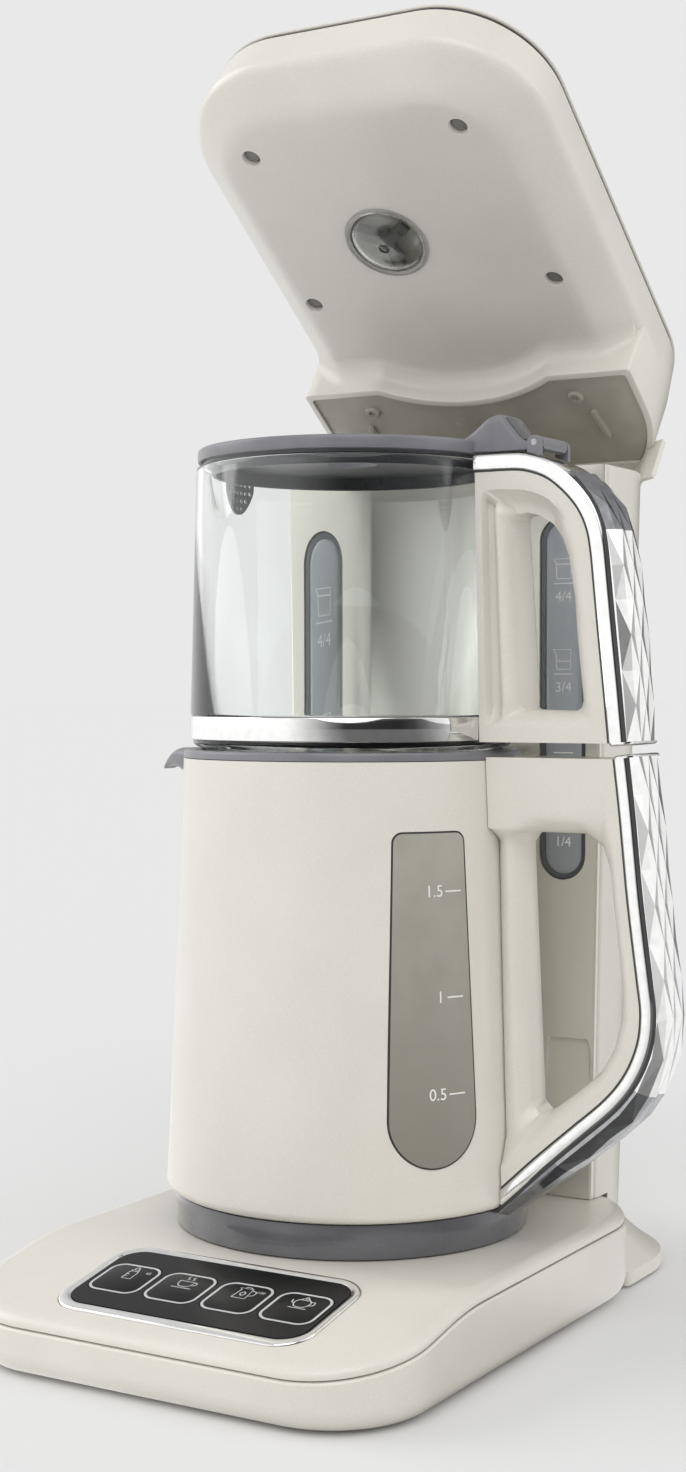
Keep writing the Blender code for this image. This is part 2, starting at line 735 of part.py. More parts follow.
def build_panel(root, top):
    half_x, half_y = PANEL_WIDTH / 2, PANEL_DEPTH / 2
    recess = panel_slab("recess", half_x + GAP, half_y + GAP, PANEL_RADIUS, BEZEL_PROUD - BEZEL_DEPTH - GAP,
                        OVERCUT, None, None, collection=CUTTERS)
    well = panel_slab("well", half_x - PANEL_LEDGE, half_y - PANEL_LEDGE, PANEL_RADIUS - PANEL_LEDGE,
                      -BASE_WALL - OVERCUT, OVERCUT, None, None, collection=CUTTERS)
    top = cut(top, recess, well)
    plate_x, plate_y = half_x - BEZEL_SIDE, half_y - BEZEL_FRONT + (BEZEL_FRONT - BEZEL_SIDE) / 2
    shift = (BEZEL_FRONT - BEZEL_SIDE) / 2
    hole = [(x, y + shift) for x, y in
            rounded_box(plate_x, -plate_y, plate_y, PANEL_RADIUS - BEZEL_SIDE, PANEL_RADIUS - BEZEL_SIDE, 5)]
    panel_slab("panel_bezel", half_x, half_y, PANEL_RADIUS, BEZEL_PROUD - BEZEL_DEPTH, BEZEL_PROUD,
               "chrome", root, holes=[hole])
    key_y = (BEZEL_FRONT - BEZEL_SIDE) / 2 - GAP * 4
    centres = [((i - (KEY_COUNT - 1) / 2) * KEY_PITCH, key_y) for i in range(KEY_COUNT)]
    half_key = KEY_SIZE / 2
    openings = []
    for x, y in centres:
        loop = rounded_box(half_key + KEY_GAP, -half_key - KEY_GAP, half_key + KEY_GAP,
                           KEY_RADIUS + KEY_GAP, KEY_RADIUS + KEY_GAP, 4)
        openings.append([(a + x, b + y) for a, b in loop])
    plate_top = BEZEL_PROUD / 2
    panel_slab("panel_plate", plate_x - GAP, plate_y - GAP, PANEL_RADIUS - BEZEL_SIDE,
               plate_top - PANEL_PLATE, plate_top, "black_glass", root, holes=openings, centre=(0, shift))
    frame = panel_frame()
    switch_top = plate_top - KEY_THICKNESS - KEY_STEM - KEY_TRAVEL
    names = ("key_bottle", "key_coffee", "key_kettle", "key_tea")
    for name, (x, y) in zip(names, centres):
        pivot = make_empty(name + "_axis", root)
        pivot.matrix_basis = frame @ Matrix.Translation((x, y, 0))
        cap = slab(name, rounded_box(half_key, -half_key, half_key, KEY_RADIUS, KEY_RADIUS, 4),
                   plate_top - KEY_THICKNESS, plate_top, "black_glass", pivot)
        stem = rod("stem", SWITCH_SIZE / 4, KEY_STEM + KEY_THICKNESS / 2,
                   (0, 0, plate_top - KEY_THICKNESS / 2 - (KEY_STEM + KEY_THICKNESS / 2) / 2), (0, 0, 1),
                   None, None, collection=CUTTERS)
        combine(cap, stem, "UNION")
    board_top = switch_top - SWITCH_HEIGHT
    board = panel_slab("control_board", half_x - BOARD_MARGIN, half_y - BOARD_MARGIN, BOARD_MARGIN,
                       board_top - BOARD_THICKNESS, board_top, "board", root)
    for x, y in centres:
        half = SWITCH_SIZE / 2
        switch = block("switch", (x - half, y - half, board_top - BOARD_THICKNESS / 2),
                       (x + half, y + half, switch_top - GAP), None, None, CUTTERS)
        switch.data.transform(frame)
        board = combine(board, switch, "UNION")
    post_low = BASE_BOTTOM_Z + BASE_WALL + GAP
    post_top = frame @ Vector((0, 0, board_top - BOARD_THICKNESS / 2))
    for side in (-1, 1):
        x = PANEL_X + side * (half_x - BOARD_MARGIN * 3)
        post = rod("post", BOARD_MARGIN * 0.7, post_top.z - post_low, (x, PANEL_Y, (post_top.z + post_low) / 2),
                   (0, 0, 1), None, None, collection=CUTTERS)
        board = combine(board, post, "UNION")
    return top


def build_connector(root, top):
    hole = rod("hole", CONNECTOR_RADIUS - CONNECTOR_FLANGE, CONNECTOR_DEPTH * 2, (0, 0, PLATEAU_Z),
               (0, 0, 1), None, None, TURN_STEPS, CUTTERS)
    top = cut(top, hole)
    seat = PLATEAU_Z + SEAT_GAP
    neck = CONNECTOR_RADIUS - CONNECTOR_FLANGE - GAP
    turned("base_connector",
           ((0, PLATEAU_Z + CONNECTOR_HEIGHT), (CONNECTOR_TOP_RADIUS, PLATEAU_Z + CONNECTOR_HEIGHT),
            (CONNECTOR_RADIUS, seat + CONNECTOR_FLANGE / 2), (CONNECTOR_RADIUS, seat), (neck, seat),
            (neck, PLATEAU_Z - CONNECTOR_DEPTH), (0, PLATEAU_Z - CONNECTOR_DEPTH)),
           "grey", root)
    return top


# Tower

def tower_share(z):
    return (z - PLATEAU_Z) / (TOWER_TOP_Z - PLATEAU_Z)


def tower_half_width(z):
    return TOWER_HALF_WIDTH_LOW + (TOWER_HALF_WIDTH_TOP - TOWER_HALF_WIDTH_LOW) * tower_share(z)


def tower_rear(z):
    return TOWER_REAR_LOW_Y + (TOWER_REAR_TOP_Y - TOWER_REAR_LOW_Y) * tower_share(z)


def tower_ring(z, inset=0.0, front=TOWER_FRONT_Y, flare=0.0):
    half = tower_half_width(z) + (FLARE_HALF_WIDTH - tower_half_width(z)) * flare - inset
    rear = tower_rear(z) + (FLARE_REAR_Y - tower_rear(z)) * flare - inset
    corner = TOWER_COVER
    outline = rounded_box(half, front, rear, corner, TOWER_REAR_RADIUS - inset)
    return [(x, y, z) for x, y in outline]


def build_tower(root):
    cover_rear = TOWER_FRONT_Y + TOWER_COVER + TOWER_SEAM
    rings = [tower_ring(BASE_BOTTOM_Z, FLARE_LIP / 3, cover_rear, 1.0),
             tower_ring(BASE_BOTTOM_Z + FLARE_LIP / 3, 0.0, cover_rear, 1.0),
             tower_ring(FLARE_LIP, 0.0, cover_rear, 0.97)]
    for share, flare in ((0.25, 0.66), (0.5, 0.34), (0.75, 0.12), (1.0, 0.0)):
        rings.append(tower_ring(FLARE_LIP + (FLARE_HEIGHT - FLARE_LIP) * share, 0.0, cover_rear, flare))
    rings.append(tower_ring(TOWER_TOP_Z, 0.0, cover_rear))
    shell = loft(rings, "tower_shell", "cream", root)
    front_open = cover_rear - OVERCUT
    hollow_low = BASE_BOTTOM_Z + TOWER_WALL
    hollow = loft([tower_ring(z, TOWER_WALL, front_open) for z in (hollow_low, TOWER_TOP_Z + OVERCUT)],
                  "hollow", None, None, collection=CUTTERS)
    shell = cut(shell, hollow)
    clearance = rounded_box(BASE_HALF_WIDTH + GAP, BASE_FRONT_Y, BASE_REAR_Y + GAP, BASE_FRONT_RADIUS,
                            BASE_REAR_RADIUS + GAP)
    base_space = slab("base_space", clearance, -OVERCUT, PLATEAU_Z + GAP, None, None, CUTTERS)
    notch = block("notch", (-FLARE_HALF_WIDTH, NOTCH_Y, NOTCH_Z), (FLARE_HALF_WIDTH, FLARE_REAR_Y * 2,
                                                                  TOWER_TOP_Z + OVERCUT),
                  None, None, CUTTERS)
    gland_hole = rod("gland_hole", GLAND_RADIUS + GAP, TOWER_WALL * 6,
                     (GLAND_X, tower_rear(GLAND_Z), GLAND_Z), (0, 1, 0), None, None, collection=CUTTERS)
    shell = cut(shell, base_space, notch, gland_hole)
    cove_span = TOWER_COVE_RADIUS + TOWER_COVER
    front = loft([cover_ring(z, cove_span) for z in (PLATEAU_Z + GAP, TOWER_TOP_Z)], "tower_front",
                 "cream", root)
    windows = {}
    half = LEVEL_WINDOW_WIDTH / 2
    for side, x in (("right", LEVEL_WINDOW_X), ("left", -LEVEL_WINDOW_X)):
        slot = stadium(x, half, LEVEL_WINDOW_LOW_Z, LEVEL_WINDOW_TOP_Z)
        cutter = stand_up(slab("slot", slot, -TOWER_COVER * 2, TOWER_COVER * 2, None, None, CUTTERS),
                          TOWER_FRONT_Y + TOWER_COVER / 2)
        front = cut(front, cutter)
        shape = stadium(x, half - GAP, LEVEL_WINDOW_LOW_Z + GAP, LEVEL_WINDOW_TOP_Z - GAP)
        windows[side] = stand_up(
            slab("level_window_" + side, shape, -LEVEL_WINDOW_DEPTH / 2, LEVEL_WINDOW_DEPTH / 2,
                 "smoke", root), TOWER_FRONT_Y + LEVEL_WINDOW_SINK + LEVEL_WINDOW_DEPTH / 2)
    build_tank(root, cove_span)
    build_tower_top(root)
    build_tower_inside(root)
    return shell, front


def cover_ring(z, cove_span):
    """Section of the tower's front cover: flat at its sides, hollowed round the kettle's axis."""
    half = tower_half_width(z) - TOWER_SEAM
    rear = TOWER_FRONT_Y + TOWER_COVER
    inside = math.asin(TOWER_FRONT_Y / TOWER_COVE_RADIUS)
    outside = math.asin(rear / cove_span)
    edge = TOWER_COVER / 3
    outline = [(half, rear), *arc(0, 0, cove_span, outside, math.pi - outside, 12), (-half, rear),
               (-half, TOWER_FRONT_Y + edge), (edge - half, TOWER_FRONT_Y),
               *arc(0, 0, TOWER_COVE_RADIUS, math.pi - inside, inside, 12),
               (half - edge, TOWER_FRONT_Y), (half, TOWER_FRONT_Y + edge)]
    return [(x, y, z) for x, y in outline]


def stadium(x, half, low, high, steps=8):
    return (arc(x, low + half, half, math.pi, 2 * math.pi, steps)
            + arc(x, high - half, half, 0, math.pi, steps))


def build_tank(root, cove_span):
    front = TOWER_FRONT_Y + LEVEL_WINDOW_SINK + LEVEL_WINDOW_DEPTH + GAP
    corner = TANK_WALL * 3
    outline = rounded_box(TANK_HALF_WIDTH, front, TANK_REAR_Y, corner, TANK_REAR_RADIUS)
    tank = slab("water_tank", outline, TANK_LOW_Z, TANK_TOP_Z, "clear", root)
    cove = rod("cove", cove_span + GAP, TOWER_TOP_Z, (0, 0, TOWER_TOP_Z * 0.7), (0, 0, 1), None, None,
               TURN_STEPS * 2, CUTTERS)
    tank = cut(tank, cove)
    inner = rounded_box(TANK_HALF_WIDTH - TANK_WALL, front + TANK_WALL, TANK_REAR_Y - TANK_WALL,
                        corner - TANK_WALL, TANK_REAR_RADIUS - TANK_WALL)
    hollow = slab("hollow", inner, TANK_LOW_Z + TANK_WALL, TANK_TOP_Z + OVERCUT, None, None, CUTTERS)
    keep = rod("keep", cove_span + GAP + TANK_WALL, TOWER_TOP_Z, (0, 0, TOWER_TOP_Z * 0.7),
               (0, 0, 1), None, None, TURN_STEPS * 2, CUTTERS)
    hollow = cut(hollow, keep)
    return cut(tank, hollow)


def build_tower_top(root):
    inset = TOWER_WALL + GAP
    front = TOWER_COVE_RADIUS + TOWER_COVER + GAP
    plate = loft([tower_ring(z, inset, front) for z in (TOP_PLATE_Z, TOP_PLATE_Z + TOP_PLATE)],
                 "tower_top_plate", "cream_inner", root)
    plate = cut(plate, block("mouth", (-FILL_HALF_WIDTH, FILL_FRONT_Y, TOP_PLATE_Z - OVERCUT),
                             (FILL_HALF_WIDTH, FILL_REAR_Y, TOP_PLATE_Z + TOP_PLATE + OVERCUT), None, None,
                             CUTTERS))
    ear_low = TOP_PLATE_Z + TOP_PLATE / 2
    for side in (-1, 1):
        inner = LUG_X + LUG_WIDTH / 2 + RUNNING_GAP
        low_x, high_x = sorted((side * inner, side * (inner + EAR_WIDTH)))
        ear = block("ear", (low_x, HINGE_Y - EAR_REACH, ear_low),
                    (high_x, HINGE_Y - EAR_RADIUS * 0.8, HINGE_Z + EAR_RADIUS), None, None, CUTTERS)
        plate = combine(plate, ear, "UNION")
        eye = rod("eye", EAR_RADIUS, EAR_WIDTH, ((low_x + high_x) / 2, HINGE_Y, HINGE_Z), (1, 0, 0),
                  None, None, collection=CUTTERS)
        plate = combine(plate, eye, "UNION")
        bridge = block("bridge", (low_x, HINGE_Y - EAR_RADIUS, HINGE_Z - EAR_RADIUS * 0.8),
                       (high_x, HINGE_Y, HINGE_Z + EAR_RADIUS * 0.8), None, None, CUTTERS)
        plate = combine(plate, bridge, "UNION")
        bore = rod("bore", PIN_RADIUS + GAP / 3, EAR_WIDTH * 2, ((low_x + high_x) / 2, HINGE_Y, HINGE_Z),
                   (1, 0, 0), None, None, collection=CUTTERS)
        plate = cut(plate, bore)
        pin_low = LUG_X - LUG_WIDTH / 2
        pin_high = LUG_X + LUG_WIDTH / 2 + RUNNING_GAP + EAR_WIDTH
        label = "right" if side > 0 else "left"
        rod("hinge_pin_" + label, PIN_RADIUS, pin_high - pin_low, (side * (pin_low + pin_high) / 2,
                                                                  HINGE_Y, HINGE_Z),
            (1, 0, 0), "steel", root)
    return plate


def build_tower_inside(root):
    pump_rear = PUMP_Y
    pump_low = PUMP_Z - PUMP_LENGTH / 2
    turned("water_pump",
           ((0, pump_low), (PUMP_RADIUS, pump_low), (PUMP_RADIUS, pump_low + PUMP_LENGTH * 0.6),
            (PUMP_RADIUS + PUMP_FLANGE, pump_low + PUMP_LENGTH * 0.6),
            (PUMP_RADIUS + PUMP_FLANGE, pump_low + PUMP_LENGTH),
            (HOSE_RADIUS * 2, pump_low + PUMP_LENGTH), (HOSE_RADIUS * 2, pump_low + PUMP_LENGTH + PUMP_FLANGE),
            (0, pump_low + PUMP_LENGTH + PUMP_FLANGE)),
           "grey", root, SMALL_TURN_STEPS, centre=(PUMP_X, pump_rear))
    hose_start = pump_low + PUMP_LENGTH + PUMP_FLANGE + GAP
    hose_y = TANK_REAR_Y + HOSE_RADIUS + GAP * 2
    tube("riser_hose", [(PUMP_X, pump_rear, hose_start),
                        (PUMP_X, pump_rear, hose_start + HOSE_RADIUS * 4),
                        (PUMP_X, hose_y, TANK_LOW_Z - HOSE_RADIUS * 2),
                        (PUMP_X, hose_y, TANK_LOW_Z + HOSE_RADIUS * 2),
                        (PUMP_X, hose_y, TOP_PLATE_Z - GAP)], HOSE_RADIUS, "hose", root)
    board_y = tower_rear(POWER_BOARD_Z) - TOWER_WALL - BOARD_THICKNESS * 3
    half = POWER_BOARD_WIDTH / 2
    board_low = POWER_BOARD_Z + GLAND_FLANGE_RADIUS
    board_top = POWER_BOARD_Z + POWER_BOARD_HEIGHT
    board = block("power_board", (POWER_BOARD_X - half, board_y - BOARD_THICKNESS, board_low),
                  (POWER_BOARD_X + half, board_y, board_top), "board", root)
    for z in (board_low + POST_RADIUS * 2, board_top - POST_RADIUS * 2):
        post_low = board_y - BOARD_THICKNESS / 2
        post_high = tower_rear(z - POST_RADIUS) - TOWER_WALL - GAP
        post = rod("post", POST_RADIUS, post_high - post_low, (POWER_BOARD_X, (post_low + post_high) / 2, z),
                   (0, 1, 0), None, None, collection=CUTTERS)
        board = combine(board, post, "UNION")
    wall_y = tower_rear(GLAND_Z)
    gland = rod("cord_gland", GLAND_RADIUS, TOWER_WALL + GLAND_LENGTH,
                (GLAND_X, wall_y - (GLAND_LENGTH - TOWER_WALL) / 2, GLAND_Z), (0, 1, 0), "rubber", root)
    flange = rod("flange", GLAND_FLANGE_RADIUS, GLAND_FLANGE,
                 (GLAND_X, wall_y + GAP * 2 + GLAND_FLANGE / 2, GLAND_Z), (0, 1, 0), None, None,
                 collection=CUTTERS)
    stub = rod("stub", GLAND_RADIUS, GLAND_FLANGE * 2, (GLAND_X, wall_y, GLAND_Z), (0, 1, 0), None, None,
               collection=CUTTERS)
    gland = combine(gland, stub, "UNION")
    combine(gland, flange, "UNION")
    floor = BASE_BOTTOM_Z + BASE_WALL + GAP
    turned("speaker", ((0, floor), (SPEAKER_RADIUS * 0.55, floor), (SPEAKER_RADIUS * 0.55, floor + GAP * 10),
                       (SPEAKER_RADIUS, floor + SPEAKER_HEIGHT * 0.7), (SPEAKER_RADIUS, floor + SPEAKER_HEIGHT),
                       (0, floor + SPEAKER_HEIGHT)),
           "rubber", root, 28, centre=(SPEAKER_X, SPEAKER_Y))


# Brewing head

def head_ring(z, inset=0.0, front=HEAD_FRONT_Y, radius=HEAD_FRONT_RADIUS, front_inset=None):
    front_inset = inset if front_inset is None else front_inset
    outline = rounded_box(HEAD_HALF_WIDTH - inset, front + front_inset, HEAD_REAR_Y - inset,
                          max(radius - inset, inset), HEAD_REAR_RADIUS - inset)
    return [(x, y, z) for x, y in outline]


def head_space(root):
    """Empty on the hinge axis: the head is laid out closed, and the empty raises it."""
    pivot = make_empty("head_axis", root, (0, HINGE_Y, HINGE_Z), (-HEAD_RAISED, 0, 0))
    laid = make_empty("head_laid_out", pivot, (0, -HINGE_Y, -HINGE_Z))
    return laid


def rear_block(name, inset, low, high, collection, front_y, cove):
    outline = [(x, y) for x, y, z in head_ring(low, inset)]
    item = slab(name, outline, low, high, None, None, collection)
    ahead = block("ahead", (-HEAD_HALF_WIDTH * 2, HEAD_FRONT_Y * 2, low - OVERCUT),
                  (HEAD_HALF_WIDTH * 2, front_y, high + OVERCUT), None, None, CUTTERS)
    item = cut(item, ahead)
    bore = rod("bore", cove, (high - low) * 4, (0, 0, low), (0, 0, 1), None, None, TURN_STEPS * 2, CUTTERS)
    return cut(item, bore)


def build_head(root):
    laid = head_space(root)
    plateau_z = HEAD_RIM_Z - HEAD_PLATEAU_DROP
    wall_top = HEAD_TOP_Z - HEAD_COVER - SEAM_HEIGHT - GAP * 2
    plateau_rear = HEAD_BLOCK_FRONT_Y + HEAD_WALL * 3

    def plateau_ring(z, grow):
        outline = rounded_box(HEAD_HALF_WIDTH - HEAD_CHAMFER - grow,
                              HEAD_FRONT_Y + HEAD_CHAMFER_FRONT + grow, plateau_rear - grow,
                              HEAD_PLATEAU_RADIUS - grow, HEAD_WALL * 2 - grow / 2)
        return [(x, y, z) for x, y in outline]

    def rim_ring(z, inset):
        outline = rounded_box(HEAD_HALF_WIDTH - inset, HEAD_FRONT_Y + inset, plateau_rear - inset,
                              HEAD_FRONT_RADIUS - inset, HEAD_WALL * 2 - inset / 2)
        return [(x, y, z) for x, y in outline]

    body = loft([head_ring(HEAD_RIM_Z, 0.0), head_ring(wall_top, HEAD_DRAFT)], "head_shell", "cream", None)
    belly = loft([plateau_ring(plateau_z, 0.0), rim_ring(HEAD_RIM_Z, 0.0),
                  rim_ring(HEAD_RIM_Z + HEAD_WALL, GAP)], "belly", None, None, collection=CUTTERS)
    body = combine(body, belly, "UNION")
    rear = rear_block("rear", 0.0, HEAD_BLOCK_Z, HEAD_RIM_Z + HEAD_WALL, CUTTERS, HEAD_BLOCK_FRONT_Y,
                      HEAD_COVE_RADIUS)
    body = combine(body, rear, "UNION")
    ring = [(x, y) for x, y, z in head_ring(SKIRT_Z, 0.0)]
    inner = [(x, y) for x, y, z in head_ring(SKIRT_Z, HEAD_WALL)]
    skirt = slab("skirt", ring, SKIRT_Z, HEAD_BLOCK_Z + HEAD_WALL, None, None, CUTTERS, holes=[inner])
    skirt = cut(skirt, block("ahead", (-HEAD_HALF_WIDTH * 2, HEAD_FRONT_Y * 2, SKIRT_Z - OVERCUT),
                             (HEAD_HALF_WIDTH * 2, SKIRT_Y, HEAD_BLOCK_Z + HEAD_WALL * 2), None, None,
                             CUTTERS))
    body = combine(body, skirt, "UNION")
    hollow = loft([head_ring(HEAD_RIM_Z + HEAD_WALL, HEAD_WALL + HEAD_DRAFT / 2),
                   head_ring(HEAD_TOP_Z, HEAD_WALL + HEAD_DRAFT)], "hollow", None, None, collection=CUTTERS)
    belly_hollow = loft([plateau_ring(plateau_z + HEAD_WALL, HEAD_WALL / 2),
                         rim_ring(HEAD_RIM_Z + HEAD_WALL, HEAD_WALL),
                         rim_ring(HEAD_RIM_Z + HEAD_WALL * 2, HEAD_WALL + GAP)],
                        "belly_hollow", None, None, collection=CUTTERS)
    rear_hollow = rear_block("rear_hollow", HEAD_WALL, HEAD_BLOCK_Z - OVERCUT, HEAD_RIM_Z + HEAD_WALL * 2,
                             CUTTERS, HEAD_BLOCK_FRONT_Y + HEAD_WALL, HEAD_COVE_RADIUS + HEAD_WALL)
    body = cut(body, hollow, belly_hollow, rear_hollow)
    for side in (-1, 1):
        x = side * LUG_X
        arm = block("arm", (x - LUG_WIDTH / 2, HINGE_Y - LUG_RADIUS, HINGE_Z),
                    (x + LUG_WIDTH / 2, HEAD_REAR_Y - HEAD_WALL / 2, HEAD_RIM_Z), None, None, CUTTERS)
        knuckle = rod("knuckle", LUG_RADIUS, LUG_WIDTH, (x, HINGE_Y, HINGE_Z), (1, 0, 0), None, None,
                      collection=CUTTERS)
        body = combine(body, arm, "UNION")
        body = combine(body, knuckle, "UNION")
        body = cut(body, rod("bore", PIN_RADIUS + GAP / 3, LUG_WIDTH * 2, (x, HINGE_Y, HINGE_Z), (1, 0, 0),
                             None, None, collection=CUTTERS))
    screws = {
        "front_left": (-HEAD_SCREW_FRONT_X, HEAD_SCREW_FRONT_Y),
        "front_right": (HEAD_SCREW_FRONT_X, HEAD_SCREW_FRONT_Y),
        "rear_left": (-HEAD_SCREW_REAR_X, HEAD_SCREW_REAR_Y),
        "rear_right": (HEAD_SCREW_REAR_X, HEAD_SCREW_REAR_Y),
    }
    for name, (x, y) in screws.items():
        body = cut(body, rod("bore", HEAD_SCREW_RADIUS + GAP, HEAD_WALL * 3, (x, y, plateau_z), (0, 0, 1),
                             None, None, collection=CUTTERS))
        low = plateau_z + HEAD_SCREW_SINK
        head = turned("head_screw_" + name,
                      ((0, low), (HEAD_SCREW_RADIUS, low), (HEAD_SCREW_RADIUS, low + HEAD_SCREW_LENGTH / 2),
                       (HEAD_SCREW_RADIUS * 0.5, low + HEAD_SCREW_LENGTH / 2),
                       (HEAD_SCREW_RADIUS * 0.5, low + HEAD_SCREW_LENGTH), (0, low + HEAD_SCREW_LENGTH)),
                      "grey", laid, SMALL_TURN_STEPS, centre=(x, y))
        head.parent = laid
    neck = rod("neck", NOZZLE_NECK_RADIUS + GAP, HEAD_WALL * 4, (NOZZLE_X, NOZZLE_Y, plateau_z), (0, 0, 1),
               None, None, TURN_STEPS, CUTTERS)
    body = cut(body, neck)
    body.parent = laid
    build_nozzle(laid, plateau_z)
    plate_outline = [(x, y) for x, y, z in head_ring(HEAD_BLOCK_Z, HEAD_WALL + GAP)]
    plate = slab("head_rear_plate", plate_outline, HEAD_BLOCK_Z + GAP, HEAD_BLOCK_Z + GAP + REAR_PLATE,
                 "smoke", None)
    outside = (block("ahead", (-HEAD_HALF_WIDTH * 2, HEAD_FRONT_Y * 2, HEAD_BLOCK_Z - OVERCUT),
                     (HEAD_HALF_WIDTH * 2, HEAD_BLOCK_FRONT_Y + HEAD_WALL + GAP, HEAD_RIM_Z), None, None,
                     CUTTERS),
               block("behind", (-HEAD_HALF_WIDTH * 2, REAR_PLATE_REAR_Y, HEAD_BLOCK_Z - OVERCUT),
                     (HEAD_HALF_WIDTH * 2, HEAD_REAR_Y * 2, HEAD_RIM_Z), None, None, CUTTERS),
               rod("bore", HEAD_COVE_RADIUS + HEAD_WALL + GAP, HEAD_WALL * 8, (0, 0, HEAD_BLOCK_Z), (0, 0, 1),
                   None, None, TURN_STEPS * 2, CUTTERS))
    plate = cut(plate, *outside)
    plate.parent = laid
    seam_low = wall_top + GAP
    loft([head_ring(seam_low, HEAD_DRAFT + SEAM_INSET), head_ring(seam_low + SEAM_HEIGHT, HEAD_DRAFT
                                                                  + SEAM_INSET)],
         "head_seam_plate", "grey", laid)
    cover_low = seam_low + SEAM_HEIGHT + GAP
    cover_rings = [head_ring(cover_low, HEAD_DRAFT)]
    for angle in (math.radians(30), math.radians(60), math.radians(90)):
        cover_rings.append(head_ring(cover_low + HEAD_COVER * math.sin(angle),
                                     HEAD_DRAFT + HEAD_COVER * (1 - math.cos(angle))))
    cover_rings.append(head_ring(cover_low + HEAD_COVER + HEAD_COVER_DOME * 0.6, HEAD_HALF_WIDTH * 0.35))
    cover_rings.append(head_ring(cover_low + HEAD_COVER + HEAD_COVER_DOME, HEAD_HALF_WIDTH * 0.6))
    loft(cover_rings, "head_cover", "cream", laid)
    hose_z = HEAD_RIM_Z + HEAD_WALL + HOSE_RADIUS + GAP
    tube("head_hose", [(NOZZLE_X, NOZZLE_Y, plateau_z + NOZZLE_DROP + HOSE_RADIUS),
                       (NOZZLE_X, NOZZLE_Y + HOSE_RADIUS * 2, hose_z),
                       (PUMP_X / 2, HEAD_BLOCK_FRONT_Y, hose_z),
                       (PUMP_X, HINGE_Y - LUG_RADIUS * 3, hose_z)], HOSE_RADIUS, "hose", laid)
    return laid


def build_nozzle(laid, plateau_z):
    low = plateau_z - NOZZLE_DROP
    seat = plateau_z - GAP
    outer = [(NOZZLE_MOUTH_RADIUS, low)]
    inner = []
    steps = 6
    for i in range(1, steps + 1):
        angle = math.pi / 2 * i / steps
        outer.append((NOZZLE_MOUTH_RADIUS + (NOZZLE_RADIUS - NOZZLE_MOUTH_RADIUS) * math.sin(angle),
                      seat - (seat - low) * math.cos(angle)))
    neck_top = plateau_z + NOZZLE_DROP
    inner_radius = NOZZLE_NECK_RADIUS - NOZZLE_WALL
    for i in range(steps, 0, -1):
        angle = math.pi / 2 * i / steps
        inner.append((NOZZLE_MOUTH_RADIUS + (inner_radius - NOZZLE_MOUTH_RADIUS) * math.sin(angle),
                      seat - (seat - low - NOZZLE_WALL) * math.cos(angle)))
    profile = (outer + [(NOZZLE_NECK_RADIUS, seat), (NOZZLE_NECK_RADIUS, neck_top),
                        (inner_radius, neck_top)] + inner + [(NOZZLE_MOUTH_RADIUS, low + NOZZLE_WALL)])
    turned("nozzle_dome", profile, "clear", laid, 40, centre=(NOZZLE_X, NOZZLE_Y))
    hub = plateau_z - GAP
    spreader = rod("nozzle_spreader", SPREADER_HUB_RADIUS, NOZZLE_DROP, (0, 0, hub + NOZZLE_DROP / 2),
                   (0, 0, 1), "grey", None)
    centre = Matrix.Translation((NOZZLE_X, NOZZLE_Y, 0))
    for i in range(SPREADER_ARMS):
        arm = block("arm", (0, -SPREADER_ARM_WIDTH / 2, hub), (SPREADER_ARM_LENGTH, SPREADER_ARM_WIDTH / 2,
                                                                hub + SPREADER_ARM_WIDTH), None, None,
                    CUTTERS)
        arm.data.transform(Matrix.Rotation(math.pi / 2 + i * 2 * math.pi / SPREADER_ARMS, 4, "Z"))
        spreader = combine(spreader, arm, "UNION")
    spreader.data.transform(centre)
    spreader.parent = laid


# Kettle

def kettle_radius(z):
    share = (z - KETTLE_LOW_Z) / (KETTLE_TOP_Z - KETTLE_LOW_Z)
    return KETTLE_LOW_RADIUS + (KETTLE_TOP_RADIUS - KETTLE_LOW_RADIUS) * share


def window_outline(shrink=0.0):
    """Outline of the level window in width and height: rounded top corners, half-round foot."""
    low_half = WINDOW_LOW_HALF_WIDTH - shrink
    top_half = WINDOW_TOP_HALF_WIDTH - shrink
    corner = WINDOW_CORNER - shrink
    low, high = WINDOW_LOW_Z + shrink, WINDOW_TOP_Z - shrink
    return (arc(0, low + low_half, low_half, math.pi, 2 * math.pi, 12)
            + arc(top_half - corner, high - corner, corner, 0, math.pi / 2, 4)
            + arc(corner - top_half, high - corner, corner, math.pi / 2, math.pi, 4))


def window_prism(name, shrink, near, far):
    item = slab(name, window_outline(shrink), near, far, None, None, CUTTERS)
    item.data.transform(Matrix.Rotation(WINDOW_ANGLE, 4, "Z") @ Matrix.Rotation(math.pi / 2, 4, "X"))
    return item


